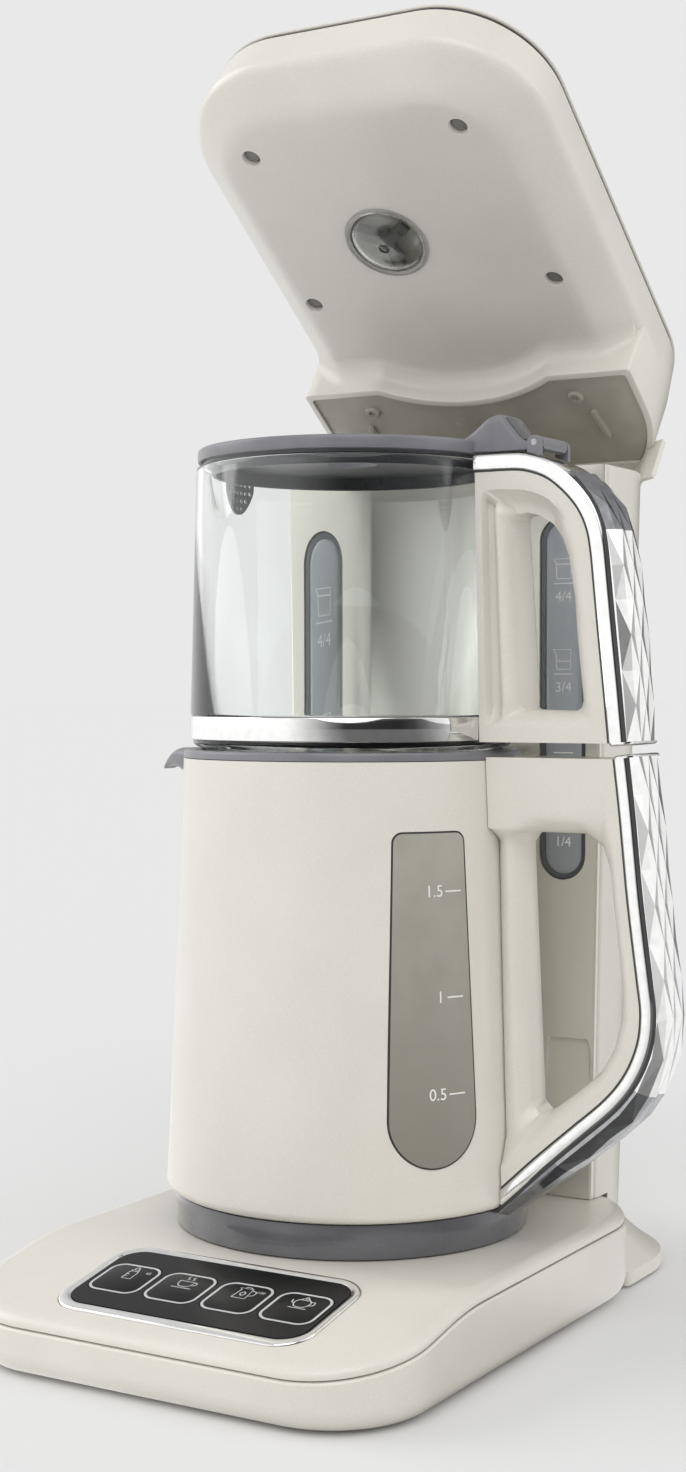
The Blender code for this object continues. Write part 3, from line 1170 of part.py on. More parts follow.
def build_kettle(root):
    foot_low = PLATEAU_Z + SEAT_GAP
    ledge = KETTLE_FOOT_RADIUS - KETTLE_FOOT_WALL
    turned("kettle_foot_ring",
           ((KETTLE_FOOT_RADIUS, foot_low), (KETTLE_FOOT_RADIUS + KETTLE_STEP, KETTLE_LOW_Z - GAP),
            (ledge - KETTLE_FOOT_WALL, KETTLE_LOW_Z - GAP),
            (ledge - KETTLE_FOOT_WALL, KETTLE_LOW_Z - GAP - KETTLE_FOOT_WALL),
            (ledge, KETTLE_LOW_Z - GAP - KETTLE_FOOT_WALL), (ledge, foot_low)),
           "grey", root)
    edge = KETTLE_BOTTOM_EDGE
    outer = [(KETTLE_FOOT_RADIUS - KETTLE_STEP, KETTLE_LOW_Z), (kettle_radius(KETTLE_LOW_Z) - edge,
                                                              KETTLE_LOW_Z)]
    for angle in (math.radians(35), math.radians(65), math.radians(90)):
        z = KETTLE_LOW_Z + edge * (1 - math.cos(angle))
        outer.append((kettle_radius(z) - edge * (1 - math.sin(angle)), z))
    outer.append((KETTLE_TOP_RADIUS, KETTLE_TOP_Z))
    floor = KETTLE_FLOOR_Z
    inner = [(KETTLE_TOP_RADIUS - KETTLE_WALL, KETTLE_TOP_Z), (kettle_radius(floor) - KETTLE_WALL, floor),
             (ledge - KETTLE_FOOT_WALL, floor), (ledge - KETTLE_FOOT_WALL, KETTLE_LOW_Z)]
    shell = turned("kettle_shell", outer + inner, "cream", root)
    shell = cut(shell, window_prism("slot", 0.0, KETTLE_TOP_RADIUS / 2, KETTLE_LOW_RADIUS + OVERCUT))
    proud = WINDOW_PROUD
    pane = turned("level_window_kettle",
                  ((kettle_radius(floor) + proud, floor), (KETTLE_TOP_RADIUS + proud, KETTLE_TOP_Z),
                   (KETTLE_TOP_RADIUS + proud - KETTLE_WALL, KETTLE_TOP_Z),
                   (kettle_radius(floor) + proud - KETTLE_WALL, floor)), "smoke", root, TURN_STEPS * 2)
    combine(pane, window_prism("pane_shape", GAP, KETTLE_TOP_RADIUS / 2, KETTLE_LOW_RADIUS + OVERCUT), "INTERSECT")
    plate_radius = ledge - KETTLE_FOOT_WALL - GAP
    plate_low = floor - HEATER_PLATE
    turned("heater_plate", ((0, plate_low), (plate_radius, plate_low), (plate_radius, floor - GAP),
                            (0, floor - GAP)), "steel", root)
    element_z = plate_low - GAP - ELEMENT_TUBE
    inner_edge, outer_edge = ELEMENT_RADIUS - ELEMENT_TUBE, ELEMENT_RADIUS + ELEMENT_TUBE
    turned("heating_element",
           [(ELEMENT_RADIUS + ELEMENT_TUBE * math.cos(2 * math.pi * i / 8),
             element_z + ELEMENT_TUBE * math.sin(2 * math.pi * i / 8)) for i in range(8)],
           "steel", root, 40)
    clearance = RUNNING_GAP
    cone_top = PLATEAU_Z + CONNECTOR_HEIGHT + clearance
    cup = CONNECTOR_RADIUS + KETTLE_FOOT_WALL
    turned("kettle_connector",
           ((0, plate_low - GAP), (inner_edge - GAP * 4, plate_low - GAP),
            (inner_edge - GAP * 4, cone_top + KETTLE_STEP), (cup, cone_top + KETTLE_STEP),
            (cup, foot_low + KETTLE_FOOT_WALL), (CONNECTOR_RADIUS + KETTLE_STEP, foot_low + KETTLE_FOOT_WALL),
            (CONNECTOR_TOP_RADIUS + KETTLE_STEP, cone_top), (0, cone_top)),
           "grey", root)
    build_kettle_rim(root)
    build_handle(root, "kettle", KETTLE_HANDLE_REACH, KETTLE_HANDLE_LOW_Z, KETTLE_HANDLE_TOP_Z,
                 KETTLE_OUTER_SHARES, KETTLE_OPENING_SHARES, KETTLE_BAND, KETTLE_GRIP_SHARES, 15)
    return outer_edge


def build_kettle_rim(root):
    low = KETTLE_TOP_Z + GAP
    top = KETTLE_TOP_Z + RIM_HEIGHT
    skirt = KETTLE_TOP_RADIUS - KETTLE_WALL - GAP
    ring = turned("kettle_rim_ring",
                  ((RIM_LEDGE_RADIUS, low - RIM_HEIGHT), (skirt, low - RIM_HEIGHT), (skirt, low),
                   (KETTLE_TOP_RADIUS, low), (KETTLE_TOP_RADIUS, top - GAP * 2),
                   (KETTLE_TOP_RADIUS - GAP * 4, top), (RIM_INNER_RADIUS + GAP * 3, top),
                   (RIM_INNER_RADIUS, top - GAP * 3), (RIM_INNER_RADIUS, RIM_LEDGE_Z),
                   (RIM_LEDGE_RADIUS, RIM_LEDGE_Z)), "grey", root, TURN_STEPS)
    return combine(ring, kettle_beak(top), "UNION")


def kettle_beak(top):
    """The pouring lip: it grows out of the rim over the shell and turns down to its tip."""
    root_x = RIM_INNER_RADIUS + GAP * 4
    tip_x = KETTLE_TOP_RADIUS + BEAK_REACH
    rings = []
    for share, sag, depth in ((0.0, 0.0, 1.0), (0.25, 0.0, 1.0), (0.55, 0.03, 0.85), (0.75, 0.12, 0.66),
                              (0.90, 0.45, 0.40), (1.0, 1.0, 0.10)):
        half = BEAK_ROOT_HALF_WIDTH + (BEAK_TIP_HALF_WIDTH - BEAK_ROOT_HALF_WIDTH) * share ** 1.5
        high = top - GAP - BEAK_TIP_DROP * sag
        low = high - BEAK_ROOT_DEPTH * depth
        corner = min(half, high - low) * 0.3
        x = -(root_x + (tip_x - root_x) * share)
        rings.append([(x, y, z) for y, z in rounded_box(half, low, high, corner, corner, 3)])
    beak = loft(rings, "beak", None, None, collection=CUTTERS)
    low_z, high_z = KETTLE_LOW_Z, KETTLE_TOP_Z + GAP
    body = turned("body", ((0, low_z), (kettle_radius(low_z) + GAP, low_z),
                           (kettle_radius(high_z) + GAP, high_z), (0, high_z)), None, None,
                  TURN_STEPS * 2, CUTTERS)
    return cut(beak, body)


def pull_spout(vertex, half_angle, reach, from_radius, share):
    """Pull the part of a ring around -X outwards into a lip."""
    angle = abs(math.atan2(vertex.co.y, -vertex.co.x))
    radius = math.hypot(vertex.co.x, vertex.co.y)
    if angle < half_angle and radius >= from_radius:
        pull = reach * 0.5 * (1 + math.cos(math.pi * angle / half_angle)) * share
        vertex.co.x -= pull


# Teapot

def glass_radius(z):
    share = (z - GLASS_LOW_Z) / (GLASS_TOP_Z - GLASS_LOW_Z)
    return GLASS_LOW_RADIUS + (GLASS_TOP_RADIUS - GLASS_LOW_RADIUS) * share


def build_teapot(root):
    heel = GLASS_HEEL
    step = BAND_THICKNESS + GAP
    low = GLASS_LOW_Z
    base_radius = BAND_RADIUS - step
    outer = [(0, low), (base_radius - heel, low)]
    for angle in (math.radians(30), math.radians(60), math.radians(90)):
        outer.append((base_radius - heel * (1 - math.sin(angle)), low + heel * 0.5 * (1 - math.cos(angle))))
    outer += [(base_radius, BAND_TOP_Z + GAP), (glass_radius(BAND_TOP_Z), BAND_TOP_Z + GAP * 2)]
    spout_low = GLASS_TOP_Z - SPOUT_DROP
    levels = [spout_low + (GLASS_TOP_Z - spout_low) * i / 5 for i in range(6)]
    outer += [(glass_radius(z), z) for z in levels]
    inner = [(glass_radius(z) - GLASS_WALL, z) for z in reversed(levels)]
    floor = low + GLASS_WALL * 1.4
    inner += [(base_radius - GLASS_WALL, BAND_TOP_Z), (base_radius - GLASS_WALL, low + heel),
              (base_radius - GLASS_WALL - heel * 0.6, floor), (0, floor)]
    glass = turned("teapot_glass", outer + inner, "clear", root, 64)
    for vertex in glass.data.vertices:
        share = (vertex.co.z - spout_low) / (GLASS_TOP_Z - spout_low)
        if share > 0:
            pull_spout(vertex, SPOUT_ANGLE * (0.6 + 0.4 * share), SPOUT_REACH, glass_radius(GLASS_TOP_Z)
                       - GLASS_WALL * 2, share ** 1.5)
    turned("teapot_band", ((BAND_RADIUS, BAND_TOP_Z), (BAND_RADIUS - BAND_THICKNESS, BAND_TOP_Z),
                           (BAND_RADIUS - BAND_THICKNESS, BAND_LOW_Z), (BAND_RADIUS, BAND_LOW_Z)),
           "chrome", root, 64)
    base_top = low - GAP
    base_low = RIM_LEDGE_Z + SEAT_GAP
    turned("teapot_base", ((0, base_top), (POT_BASE_RADIUS, base_top),
                           (POT_BASE_RADIUS - POT_BASE, base_low), (0, base_low)), "steel", root)
    build_handle(root, "teapot", POT_HANDLE_REACH, POT_HANDLE_LOW_Z, POT_HANDLE_TOP_Z,
                 POT_OUTER_SHARES, POT_OPENING_SHARES, POT_BAND, POT_GRIP_SHARES, 8)
    return base_top


def build_teapot_lid(root):
    pivot = make_empty("teapot_lid_axis", root, (LID_HINGE_X, 0, LID_HINGE_Z))
    laid = make_empty("teapot_lid_laid_out", pivot, (-LID_HINGE_X, 0, -LID_HINGE_Z))
    low, top = POT_LID_LOW_Z, POT_LID_TOP_Z
    edge = POT_LID_WALL / 2
    skirt_inner = POT_SKIRT_RADIUS - POT_SKIRT_WALL
    lid = turned("teapot_lid",
                 ((POT_LID_RADIUS - edge, low), (POT_LID_RADIUS, low + edge), (POT_LID_RADIUS, top - edge),
                  (POT_LID_RADIUS - edge, top), (POT_LID_DISH_RADIUS + POT_LID_DISH * 2, top),
                  (POT_LID_DISH_RADIUS, top - POT_LID_DISH), (POT_LID_HOLE_RADIUS + edge, top - POT_LID_DISH),
                  (POT_LID_HOLE_RADIUS, top - POT_LID_DISH - edge), (POT_LID_HOLE_RADIUS, low),
                  (skirt_inner, low), (skirt_inner, POT_SKIRT_LOW_Z), (POT_SKIRT_RADIUS, POT_SKIRT_LOW_Z),
                  (POT_SKIRT_RADIUS, low)), "grey", None, 64)
    peak = top + TAB_PEAK_HEIGHT
    rise = [(TAB_START_X, top - edge), (TAB_START_X + TAB_TAIL * 2, top + TAB_TAIL / 2),
            (TAB_PEAK_X - TAB_TAIL * 2, peak - TAB_TAIL * 0.7), (TAB_PEAK_X, peak),
            (TAB_PEAK_X + TAB_TAIL, peak - TAB_TAIL * 0.6), (TAB_PEAK_X + TAB_TAIL * 4, top - edge / 2),
            (TAB_END_X, LID_HINGE_Z + TAB_TAIL * 0.6)]
    curve = smooth_path(rise, 3)
    floor = [(TAB_END_X, LID_HINGE_Z - TAB_TAIL * 0.6), (POT_LID_RADIUS, low + edge / 2),
             (TAB_START_X, low + edge / 2)]
    tab = slab("tab", curve + floor, -TAB_HALF_WIDTH, TAB_HALF_WIDTH, None, None, CUTTERS)
    stand_up(tab)
    lid = combine(lid, tab, "UNION")
    knuckle = rod("knuckle", LID_KNUCKLE_RADIUS, TAB_HALF_WIDTH * 2, (LID_HINGE_X, 0, LID_HINGE_Z),
                  (0, 1, 0), None, None, collection=CUTTERS)
    lid = combine(lid, knuckle, "UNION")
    lid = cut(lid, rod("bore", LID_PIN_RADIUS + GAP / 3, TAB_HALF_WIDTH * 4, (LID_HINGE_X, 0, LID_HINGE_Z),
                       (0, 1, 0), None, None, collection=CUTTERS))
    lid.parent = laid
    sieve = rod("spout_strainer", STRAINER_RADIUS, STRAINER_THICKNESS, (0, 0, 0), (0, 0, 1), "grey", None, 32)
    sieve = cut(sieve, block("upper", (-STRAINER_RADIUS * 2, 0, -OVERCUT), (STRAINER_RADIUS * 2,
                                                                         STRAINER_RADIUS * 2, OVERCUT),
                             None, None, CUTTERS))
    for row, count in enumerate(STRAINER_ROWS):
        for i in range(count):
            x = (i - (count - 1) / 2) * STRAINER_HOLE_PITCH * 0.88
            y = -STRAINER_HOLE_PITCH * (row + 0.62) * 0.8
            sieve = cut(sieve, rod("hole", STRAINER_HOLE_RADIUS, OVERCUT * 2, (x, y, 0), (0, 0, 1), None,
                                   None, 8, CUTTERS))
    sieve.data.transform(Matrix.Translation((STRAINER_X - STRAINER_THICKNESS * 2.2, 0,
                                             POT_SKIRT_LOW_Z + STRAINER_RADIUS * 0.9))
                         @ Matrix.Rotation(math.pi / 2, 4, "Z") @ Matrix.Rotation(math.pi / 2, 4, "X"))
    sieve.parent = laid
    return laid


# Handles

def share_points(shares, start, reach, low, high):
    return [(start + (reach - start) * x, low + (high - low) * z) for x, z in shares]


def build_handle(root, name, reach, low, top, outer_shares, opening_shares, band, grip_shares, rows):
    """A handle in three layers: a cream frame, a bright band round it and a faceted back."""
    kettle = name == "kettle"
    start = (KETTLE_TOP_RADIUS if kettle else GLASS_TOP_RADIUS) - band
    outer = smooth_path(share_points(outer_shares, start, reach, low, top), 3)
    opening = smooth_path(share_points(opening_shares, start, reach, low, top)
                          + share_points(opening_shares[:1], start, reach, low, top), 3)[:-1]
    closing = [(start, outer[-1][1]), (start, top)]
    frame_outline = outer + closing
    half = HANDLE_WIDTH / 2
    frame = stand_up(slab(name + "_handle_frame", frame_outline, -half, half, "cream", None,
                          holes=[opening]))
    body_low, body_top = (KETTLE_LOW_Z, KETTLE_TOP_Z) if kettle else (GLASS_LOW_Z, GLASS_TOP_Z)
    radius_of = kettle_radius if kettle else glass_radius
    margin = HANDLE_BODY_GAP
    low_z, high_z = body_low - band * 4, body_top + band * 4
    body = turned("body", ((0, low_z), (radius_of(low_z) + margin, low_z),
                           (radius_of(high_z) + margin, high_z), (0, high_z)), None, None,
                  TURN_STEPS * 2, CUTTERS)
    clear = body
    frame = combine(frame, clear, keep=True)
    inner_path = offset_path(outer, HANDLE_SEAM)
    outer_path = offset_path(outer, HANDLE_SEAM + band)
    rim = stand_up(slab(name + "_handle_band", inner_path + outer_path[::-1], -half - BAND_PROUD,
                        half + BAND_PROUD, "chrome", None))
    rim = combine(rim, clear, keep=True)
    if not kettle:
        rim = add_lid_ears(rim, root)
    grip = faceted_back(name + "_handle_grip", offset_path(outer, HANDLE_SEAM * 2 + band), half,
                         grip_shares, rows)
    grip = combine(grip, clear)
    for item in (frame, rim, grip):
        item.parent = root
    return frame


def add_lid_ears(rim, root):
    """Two ears on the teapot's band, and the pin that the lid turns on."""
    inner = TAB_HALF_WIDTH + RUNNING_GAP
    for side in (-1, 1):
        low_y, high_y = sorted((side * inner, side * (inner + LID_EAR)))
        ear = block("ear", (LID_HINGE_X - LID_KNUCKLE_RADIUS, low_y, POT_HANDLE_TOP_Z),
                    (LID_HINGE_X + LID_KNUCKLE_RADIUS, high_y, LID_HINGE_Z + LID_KNUCKLE_RADIUS),
                    None, None, CUTTERS)
        rim = combine(rim, ear, "UNION")
    centre = (LID_HINGE_X, 0, LID_HINGE_Z)
    bore = rod("bore", LID_PIN_RADIUS + GAP / 3, HANDLE_WIDTH * 2, centre, (0, 1, 0), None, None,
               collection=CUTTERS)
    rod("lid_pin", LID_PIN_RADIUS, (inner + LID_EAR) * 2, centre, (0, 1, 0), "steel", root)
    return cut(rim, bore)


def table_value(table, share):
    for (x0, y0), (x1, y1) in zip(table, table[1:]):
        if share <= x1:
            return y0 + (y1 - y0) * max(share - x0, 0.0) / (x1 - x0)
    return table[-1][1]


def faceted_back(name, path, half, thickness_shares, rows):
    """The outer skin of a handle: a strip of raised diamonds that follows the band."""
    lengths = [0.0]
    for first, second in zip(path, path[1:]):
        lengths.append(lengths[-1] + math.dist(first, second))

    def at(distance):
        for i in range(1, len(lengths)):
            if distance <= lengths[i] or i == len(lengths) - 1:
                share = (distance - lengths[i - 1]) / (lengths[i] - lengths[i - 1])
                a, b = path[i - 1], path[i]
                return (a[0] + (b[0] - a[0]) * share, a[1] + (b[1] - a[1]) * share)
        return path[-1]

    first_share = thickness_shares[0][0]
    shares = [first_share + (1 - first_share) * i / (rows * 2) for i in range(rows * 2 + 1)]
    stations = [at(lengths[-1] * share) for share in shares]
    outward = [(b[0] - a[0], b[1] - a[1]) for a, b in zip(stations, offset_path(stations, 1.0))]
    depths = [GRIP_THICKNESS * table_value(thickness_shares, share) for share in shares]
    outside = [(x + n[0] * t, z + n[1] * t) for (x, z), n, t in zip(stations, outward, depths)]
    proud = [(x + n[0] * (t + GRIP_FACET), z + n[1] * (t + GRIP_FACET))
             for (x, z), n, t in zip(stations, outward, depths)]
    columns = GRIP_ROWS_ACROSS * 2
    work = bmesh.new()
    inner = []
    shell = []
    for i, station in enumerate(stations):
        inner.append([work.verts.new((station[0], y, station[1])) for y in (-half, half)])
        row = []
        for k in range(columns + 1):
            y = -half + HANDLE_WIDTH * k / columns
            side = k in (0, columns)
            raised = (i + k) % 2 == 0 and not side
            x, z = proud[i] if raised else outside[i]
            if side:
                x = station[0] + (outside[i][0] - station[0]) * 0.65
                z = station[1] + (outside[i][1] - station[1]) * 0.65
            row.append(work.verts.new((x, y, z)))
        shell.append(row)
    for i in range(len(stations) - 1):
        for k in range(columns):
            a, b = shell[i][k], shell[i][k + 1]
            c, d = shell[i + 1][k + 1], shell[i + 1][k]
            if (i + k) % 2 == 0:
                work.faces.new((a, b, c))
                work.faces.new((a, c, d))
            else:
                work.faces.new((a, b, d))
                work.faces.new((b, c, d))
        work.faces.new((inner[i][0], inner[i][1], inner[i + 1][1], inner[i + 1][0]))
        work.faces.new((inner[i][0], shell[i][0], shell[i + 1][0], inner[i + 1][0]))
        work.faces.new((inner[i][1], shell[i][-1], shell[i + 1][-1], inner[i + 1][1]))
    for i in (0, -1):
        work.faces.new([inner[i][0], *shell[i], inner[i][1]])
    return finish_mesh(work, name, "chrome", None, smooth=0.05)


def main():
    clear_scene()
    head_rear = HINGE_Y + (HEAD_REAR_Y - HINGE_Y) * math.cos(HEAD_RAISED) \
        + (HEAD_TOP_Z - HINGE_Z) * math.sin(HEAD_RAISED)
    grip_reach = KETTLE_HANDLE_REACH + KETTLE_BAND + HANDLE_SEAM * 2 + GRIP_THICKNESS + GRIP_FACET
    root = make_empty("tea_maker_origin", None,
                      ((BASE_HALF_WIDTH - grip_reach) / 2, -(head_rear + BASE_FRONT_Y) / 2, 0))
    tub, top = build_base(root)
    top = build_panel(root, top)
    build_connector(root, top)
    build_tower(root)
    build_head(root)
    kettle = make_empty("kettle_lift", root)
    build_kettle(kettle)
    teapot = make_empty("teapot_lift", kettle)
    build_teapot(teapot)
    build_teapot_lid(teapot)
    for item in list(bpy.data.collections[CUTTERS].objects):
        bpy.data.objects.remove(item, do_unlink=True)


main()
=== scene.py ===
"""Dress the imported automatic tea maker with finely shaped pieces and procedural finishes.

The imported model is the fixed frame. Every piece is built in metres from the axis that the kettle
and the teapot share, at table level, and is then moved into the frame. The raised brewing head is
laid out closed and level and turned up about its hinge, as it is in the solids.
"""
from __future__ import annotations

import logging
import math
import sys
from dataclasses import dataclass, field
from enum import Enum
from typing import Iterable, Optional, Sequence

import bmesh
import bpy
from mathutils import Matrix, Vector


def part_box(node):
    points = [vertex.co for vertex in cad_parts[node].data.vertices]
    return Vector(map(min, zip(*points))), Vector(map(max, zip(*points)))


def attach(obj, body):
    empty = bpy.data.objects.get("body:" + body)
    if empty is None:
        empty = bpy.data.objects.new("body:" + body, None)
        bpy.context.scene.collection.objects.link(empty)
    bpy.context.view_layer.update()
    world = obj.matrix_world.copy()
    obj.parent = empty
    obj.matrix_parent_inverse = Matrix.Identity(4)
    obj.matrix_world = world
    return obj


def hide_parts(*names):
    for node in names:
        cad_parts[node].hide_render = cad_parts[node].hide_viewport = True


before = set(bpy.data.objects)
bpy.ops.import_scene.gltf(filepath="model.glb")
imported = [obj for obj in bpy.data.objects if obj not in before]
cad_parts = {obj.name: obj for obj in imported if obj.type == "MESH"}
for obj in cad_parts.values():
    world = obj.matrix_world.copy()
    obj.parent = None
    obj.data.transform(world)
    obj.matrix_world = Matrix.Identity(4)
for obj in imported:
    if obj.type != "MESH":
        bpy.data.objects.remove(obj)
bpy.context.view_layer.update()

LOG = logging.getLogger("tea_maker")

Point2 = tuple[float, float]
Point3 = tuple[float, float, float]
Loop = list[bmesh.types.BMEdge]
Work = bmesh.types.BMesh
Mesh = bpy.types.Mesh

QUARTER = math.pi / 2
WELD = 0.000002
CREASE = math.radians(32)
MILLIMETRE = 0.001
SIDES = ((-1, "left"), (1, "right"))


# Colours and nodes

def linear(colour: str) -> tuple[float, float, float, float]:
    """Turn an sRGB hex colour to linear.

    Args:
        colour: Six hex digits after a number sign.

    Returns:
        Red, green, blue and an alpha of one.
    """
    channels = [int(colour[i:i + 2], 16) / 255 for i in (1, 3, 5)]
    turned = [c / 12.92 if c <= 0.04045 else ((c + 0.055) / 1.055) ** 2.4 for c in channels]
    return turned[0], turned[1], turned[2], 1.0


def add_node(tree: bpy.types.NodeTree, kind: str, inputs: Optional[dict] = None,
             **settings: object) -> bpy.types.Node:
    """Add one node with its settings and links.

    Args:
        tree: The node tree that gets the node.
        kind: The node's type.
        inputs: Socket name or number to a value, or to the output socket that feeds it.
        settings: Properties of the node.

    Returns:
        The new node.
    """
    node = tree.nodes.new(kind)
    for key, value in settings.items():
        setattr(node, key, value)
    for key, value in (inputs or {}).items():
        if isinstance(value, bpy.types.NodeSocket):
            tree.links.new(value, node.inputs[key])
        else:
            node.inputs[key].default_value = value
    return node


@dataclass(frozen=True)
class Surface:
    """What every finish starts from: a shader, and patterns on the object's own coordinates.

    Each kind of surface holds a slot name, which this script does not use.
    """

    title: str

    def start(self) -> tuple[bpy.types.Material, bpy.types.NodeTree, bpy.types.Node]:
        """Make an empty material with its shader."""
        material = bpy.data.materials.new(self.title)
        material.use_nodes = True
        tree = material.node_tree
        tree.nodes.clear()
        shader = add_node(tree, "ShaderNodeBsdfPrincipled")
        add_node(tree, "ShaderNodeOutputMaterial", {"Surface": shader.outputs[0]})
        return material, tree, shader

    def pattern(self, tree: bpy.types.NodeTree, size: float, detail: float = 2.0,
                stretch: Point3 = (1.0, 1.0, 1.0)) -> bpy.types.NodeSocket:
        """Lay a cloudy pattern over the piece.

        Args:
            tree: The material's node tree.
            size: Size of one cloud in metres.
            detail: Octaves of finer clouds.
            stretch: Factor along each axis.

        Returns:
            The pattern's value.
        """
        place = add_node(tree, "ShaderNodeTexCoord").outputs["Object"]
        scale = tuple(1.0 / (size * s) for s in stretch)
        place = add_node(tree, "ShaderNodeMapping", {"Vector": place, "Scale": scale}).outputs[0]
        noise = add_node(tree, "ShaderNodeTexNoise",
                         {"Vector": place, "Scale": 1.0, "Detail": detail})
        return noise.outputs["Fac"]

    def between(self, tree: bpy.types.NodeTree, value: bpy.types.NodeSocket, source: Point2,
                target: Point2) -> bpy.types.NodeSocket:
        """Spread a value from one range over another."""
        spread = add_node(tree, "ShaderNodeMapRange",
                          {"Value": value, "From Min": source[0], "From Max": source[1],
                           "To Min": target[0], "To Max": target[1]})
        return spread.outputs[0]

    def tint(self, tree: bpy.types.NodeTree, share: bpy.types.NodeSocket, first: object,
             second: object) -> bpy.types.NodeSocket:
        """Blend two colours, each a hex string or a socket, by a share."""
        colours = [linear(c) if isinstance(c, str) else c for c in (first, second)]
        blend = add_node(tree, "ShaderNodeMix", {0: share, 6: colours[0], 7: colours[1]},
                         data_type="RGBA")
        return blend.outputs[2]

    def roughen(self, tree: bpy.types.NodeTree, shader: bpy.types.Node,
                pattern: bpy.types.NodeSocket, low: float, high: float) -> None:
        """Let a pattern vary the shader's roughness between two values."""
        rough = self.between(tree, pattern, (0.3, 0.7), (low, high))
        tree.links.new(rough, shader.inputs["Roughness"])

    def relief(self, tree: bpy.types.NodeTree, shader: bpy.types.Node, height: bpy.types.NodeSocket,
               depth: float, strength: float = 1.0) -> None:
        """Give the shader a bump of a real depth in metres."""
        bump = add_node(tree, "ShaderNodeBump", {"Height": height, "Distance": depth,
                                                 "Strength": strength})
        tree.links.new(bump.outputs[0], shader.inputs["Normal"])


@dataclass(frozen=True)
class PearlLacquer(Surface):
    """Sprayed pearl lacquer on ABS: a warm off-white with a fine silvery fleck under a soft gloss.

    The flecks are about 0.05 mm on the real one. They are drawn 0.6 mm wide, so that they show.
    """

    slot: str = "cream"
    colour: str = "#DFDBD2"
    fleck: str = "#E9E7E0"
    shade: str = "#D6D2C8"
    roughness: float = 0.34
    gloss: float = 0.35
    metal: float = 0.0
    grain: float = 0.00002
    fleck_size: float = 0.0006
    cloud_size: float = 0.030

    def build(self) -> bpy.types.Material:
        """Build the material."""
        material, tree, shader = self.start()
        clouds = self.between(tree, self.pattern(tree, self.cloud_size), (0.35, 0.65), (0.0, 0.35))
        body = self.tint(tree, clouds, self.colour, self.shade)
        specks = self.pattern(tree, self.fleck_size, 1.0)
        share = self.between(tree, specks, (0.55, 0.75), (0.0, 0.6))
        tree.links.new(self.tint(tree, share, body, self.fleck), shader.inputs["Base Color"])
        self.roughen(tree, shader, specks, self.roughness + 0.03, self.roughness - 0.03)
        shader.inputs["IOR"].default_value = 1.5
        shader.inputs["Metallic"].default_value = self.metal
        shader.inputs["Coat Weight"].default_value = self.gloss
        shader.inputs["Coat Roughness"].default_value = 0.12
        self.relief(tree, shader, specks, self.grain, 0.4)
        return material


@dataclass(frozen=True)
class MouldedPlastic(Surface):
    """Injection-moulded plastic: an even colour with a faint grain from the mould."""

    slot: str = "grey"
    colour: str = "#77777C"
    shade: str = "#6C6C71"
    roughness: float = 0.40
    gloss: float = 0.0
    shine: float = 0.5
    grain: float = 0.0012
    depth: float = 0.00002

    def build(self) -> bpy.types.Material:
        """Build the material."""
        material, tree, shader = self.start()
        clouds = self.pattern(tree, 0.018)
        tree.links.new(self.tint(tree, self.between(tree, clouds, (0.35, 0.65), (0.0, 1.0)),
                                 self.colour, self.shade), shader.inputs["Base Color"])
        grain = self.pattern(tree, self.grain, 3.0)
        self.roughen(tree, shader, grain, self.roughness - 0.04, self.roughness + 0.04)
        shader.inputs["Specular IOR Level"].default_value = self.shine
        shader.inputs["Coat Weight"].default_value = self.gloss
        shader.inputs["Coat Roughness"].default_value = 0.08
        self.relief(tree, shader, grain, self.depth)
        return material


@dataclass(frozen=True)
class WorkedMetal(Surface):
    """Plated, turned or brushed metal: the lay of its marks is a stretched pattern."""

    slot: str = "chrome"
    colour: str = "#E6E6E4"
    shade: str = "#DADAD8"
    roughness: float = 0.08
    spread: float = 0.02
    lay: Point3 = (1.0, 1.0, 1.0)
    mark: float = 0.004
    depth: float = 0.0

    def build(self) -> bpy.types.Material:
        """Build the material."""
        material, tree, shader = self.start()
        marks = self.pattern(tree, self.mark, 3.0, self.lay)
        tree.links.new(self.tint(tree, self.between(tree, marks, (0.3, 0.7), (0.0, 1.0)),
                                 self.colour, self.shade), shader.inputs["Base Color"])
        low, high = self.roughness - self.spread, self.roughness + self.spread
        self.roughen(tree, shader, marks, low, high)
        shader.inputs["Metallic"].default_value = 1.0
        if self.depth:
            self.relief(tree, shader, marks, self.depth)
        return material


@dataclass(frozen=True)
class ClearBody(Surface):
    """Glass or clear plastic: it is seen through, and its waviness is in the roughness."""

    slot: str = "clear"
    colour: str = "#FBFDFC"
    roughness: float = 0.01
    index: float = 1.47
    transmission: float = 1.0

    def build(self) -> bpy.types.Material:
        """Build the material."""
        material, tree, shader = self.start()
        waves = self.pattern(tree, 0.020)
        self.roughen(tree, shader, waves, self.roughness * 0.5, self.roughness * 1.5)
        shader.inputs["Base Color"].default_value = linear(self.colour)
        shader.inputs["IOR"].default_value = self.index
        shader.inputs["Transmission Weight"].default_value = self.transmission
        return material


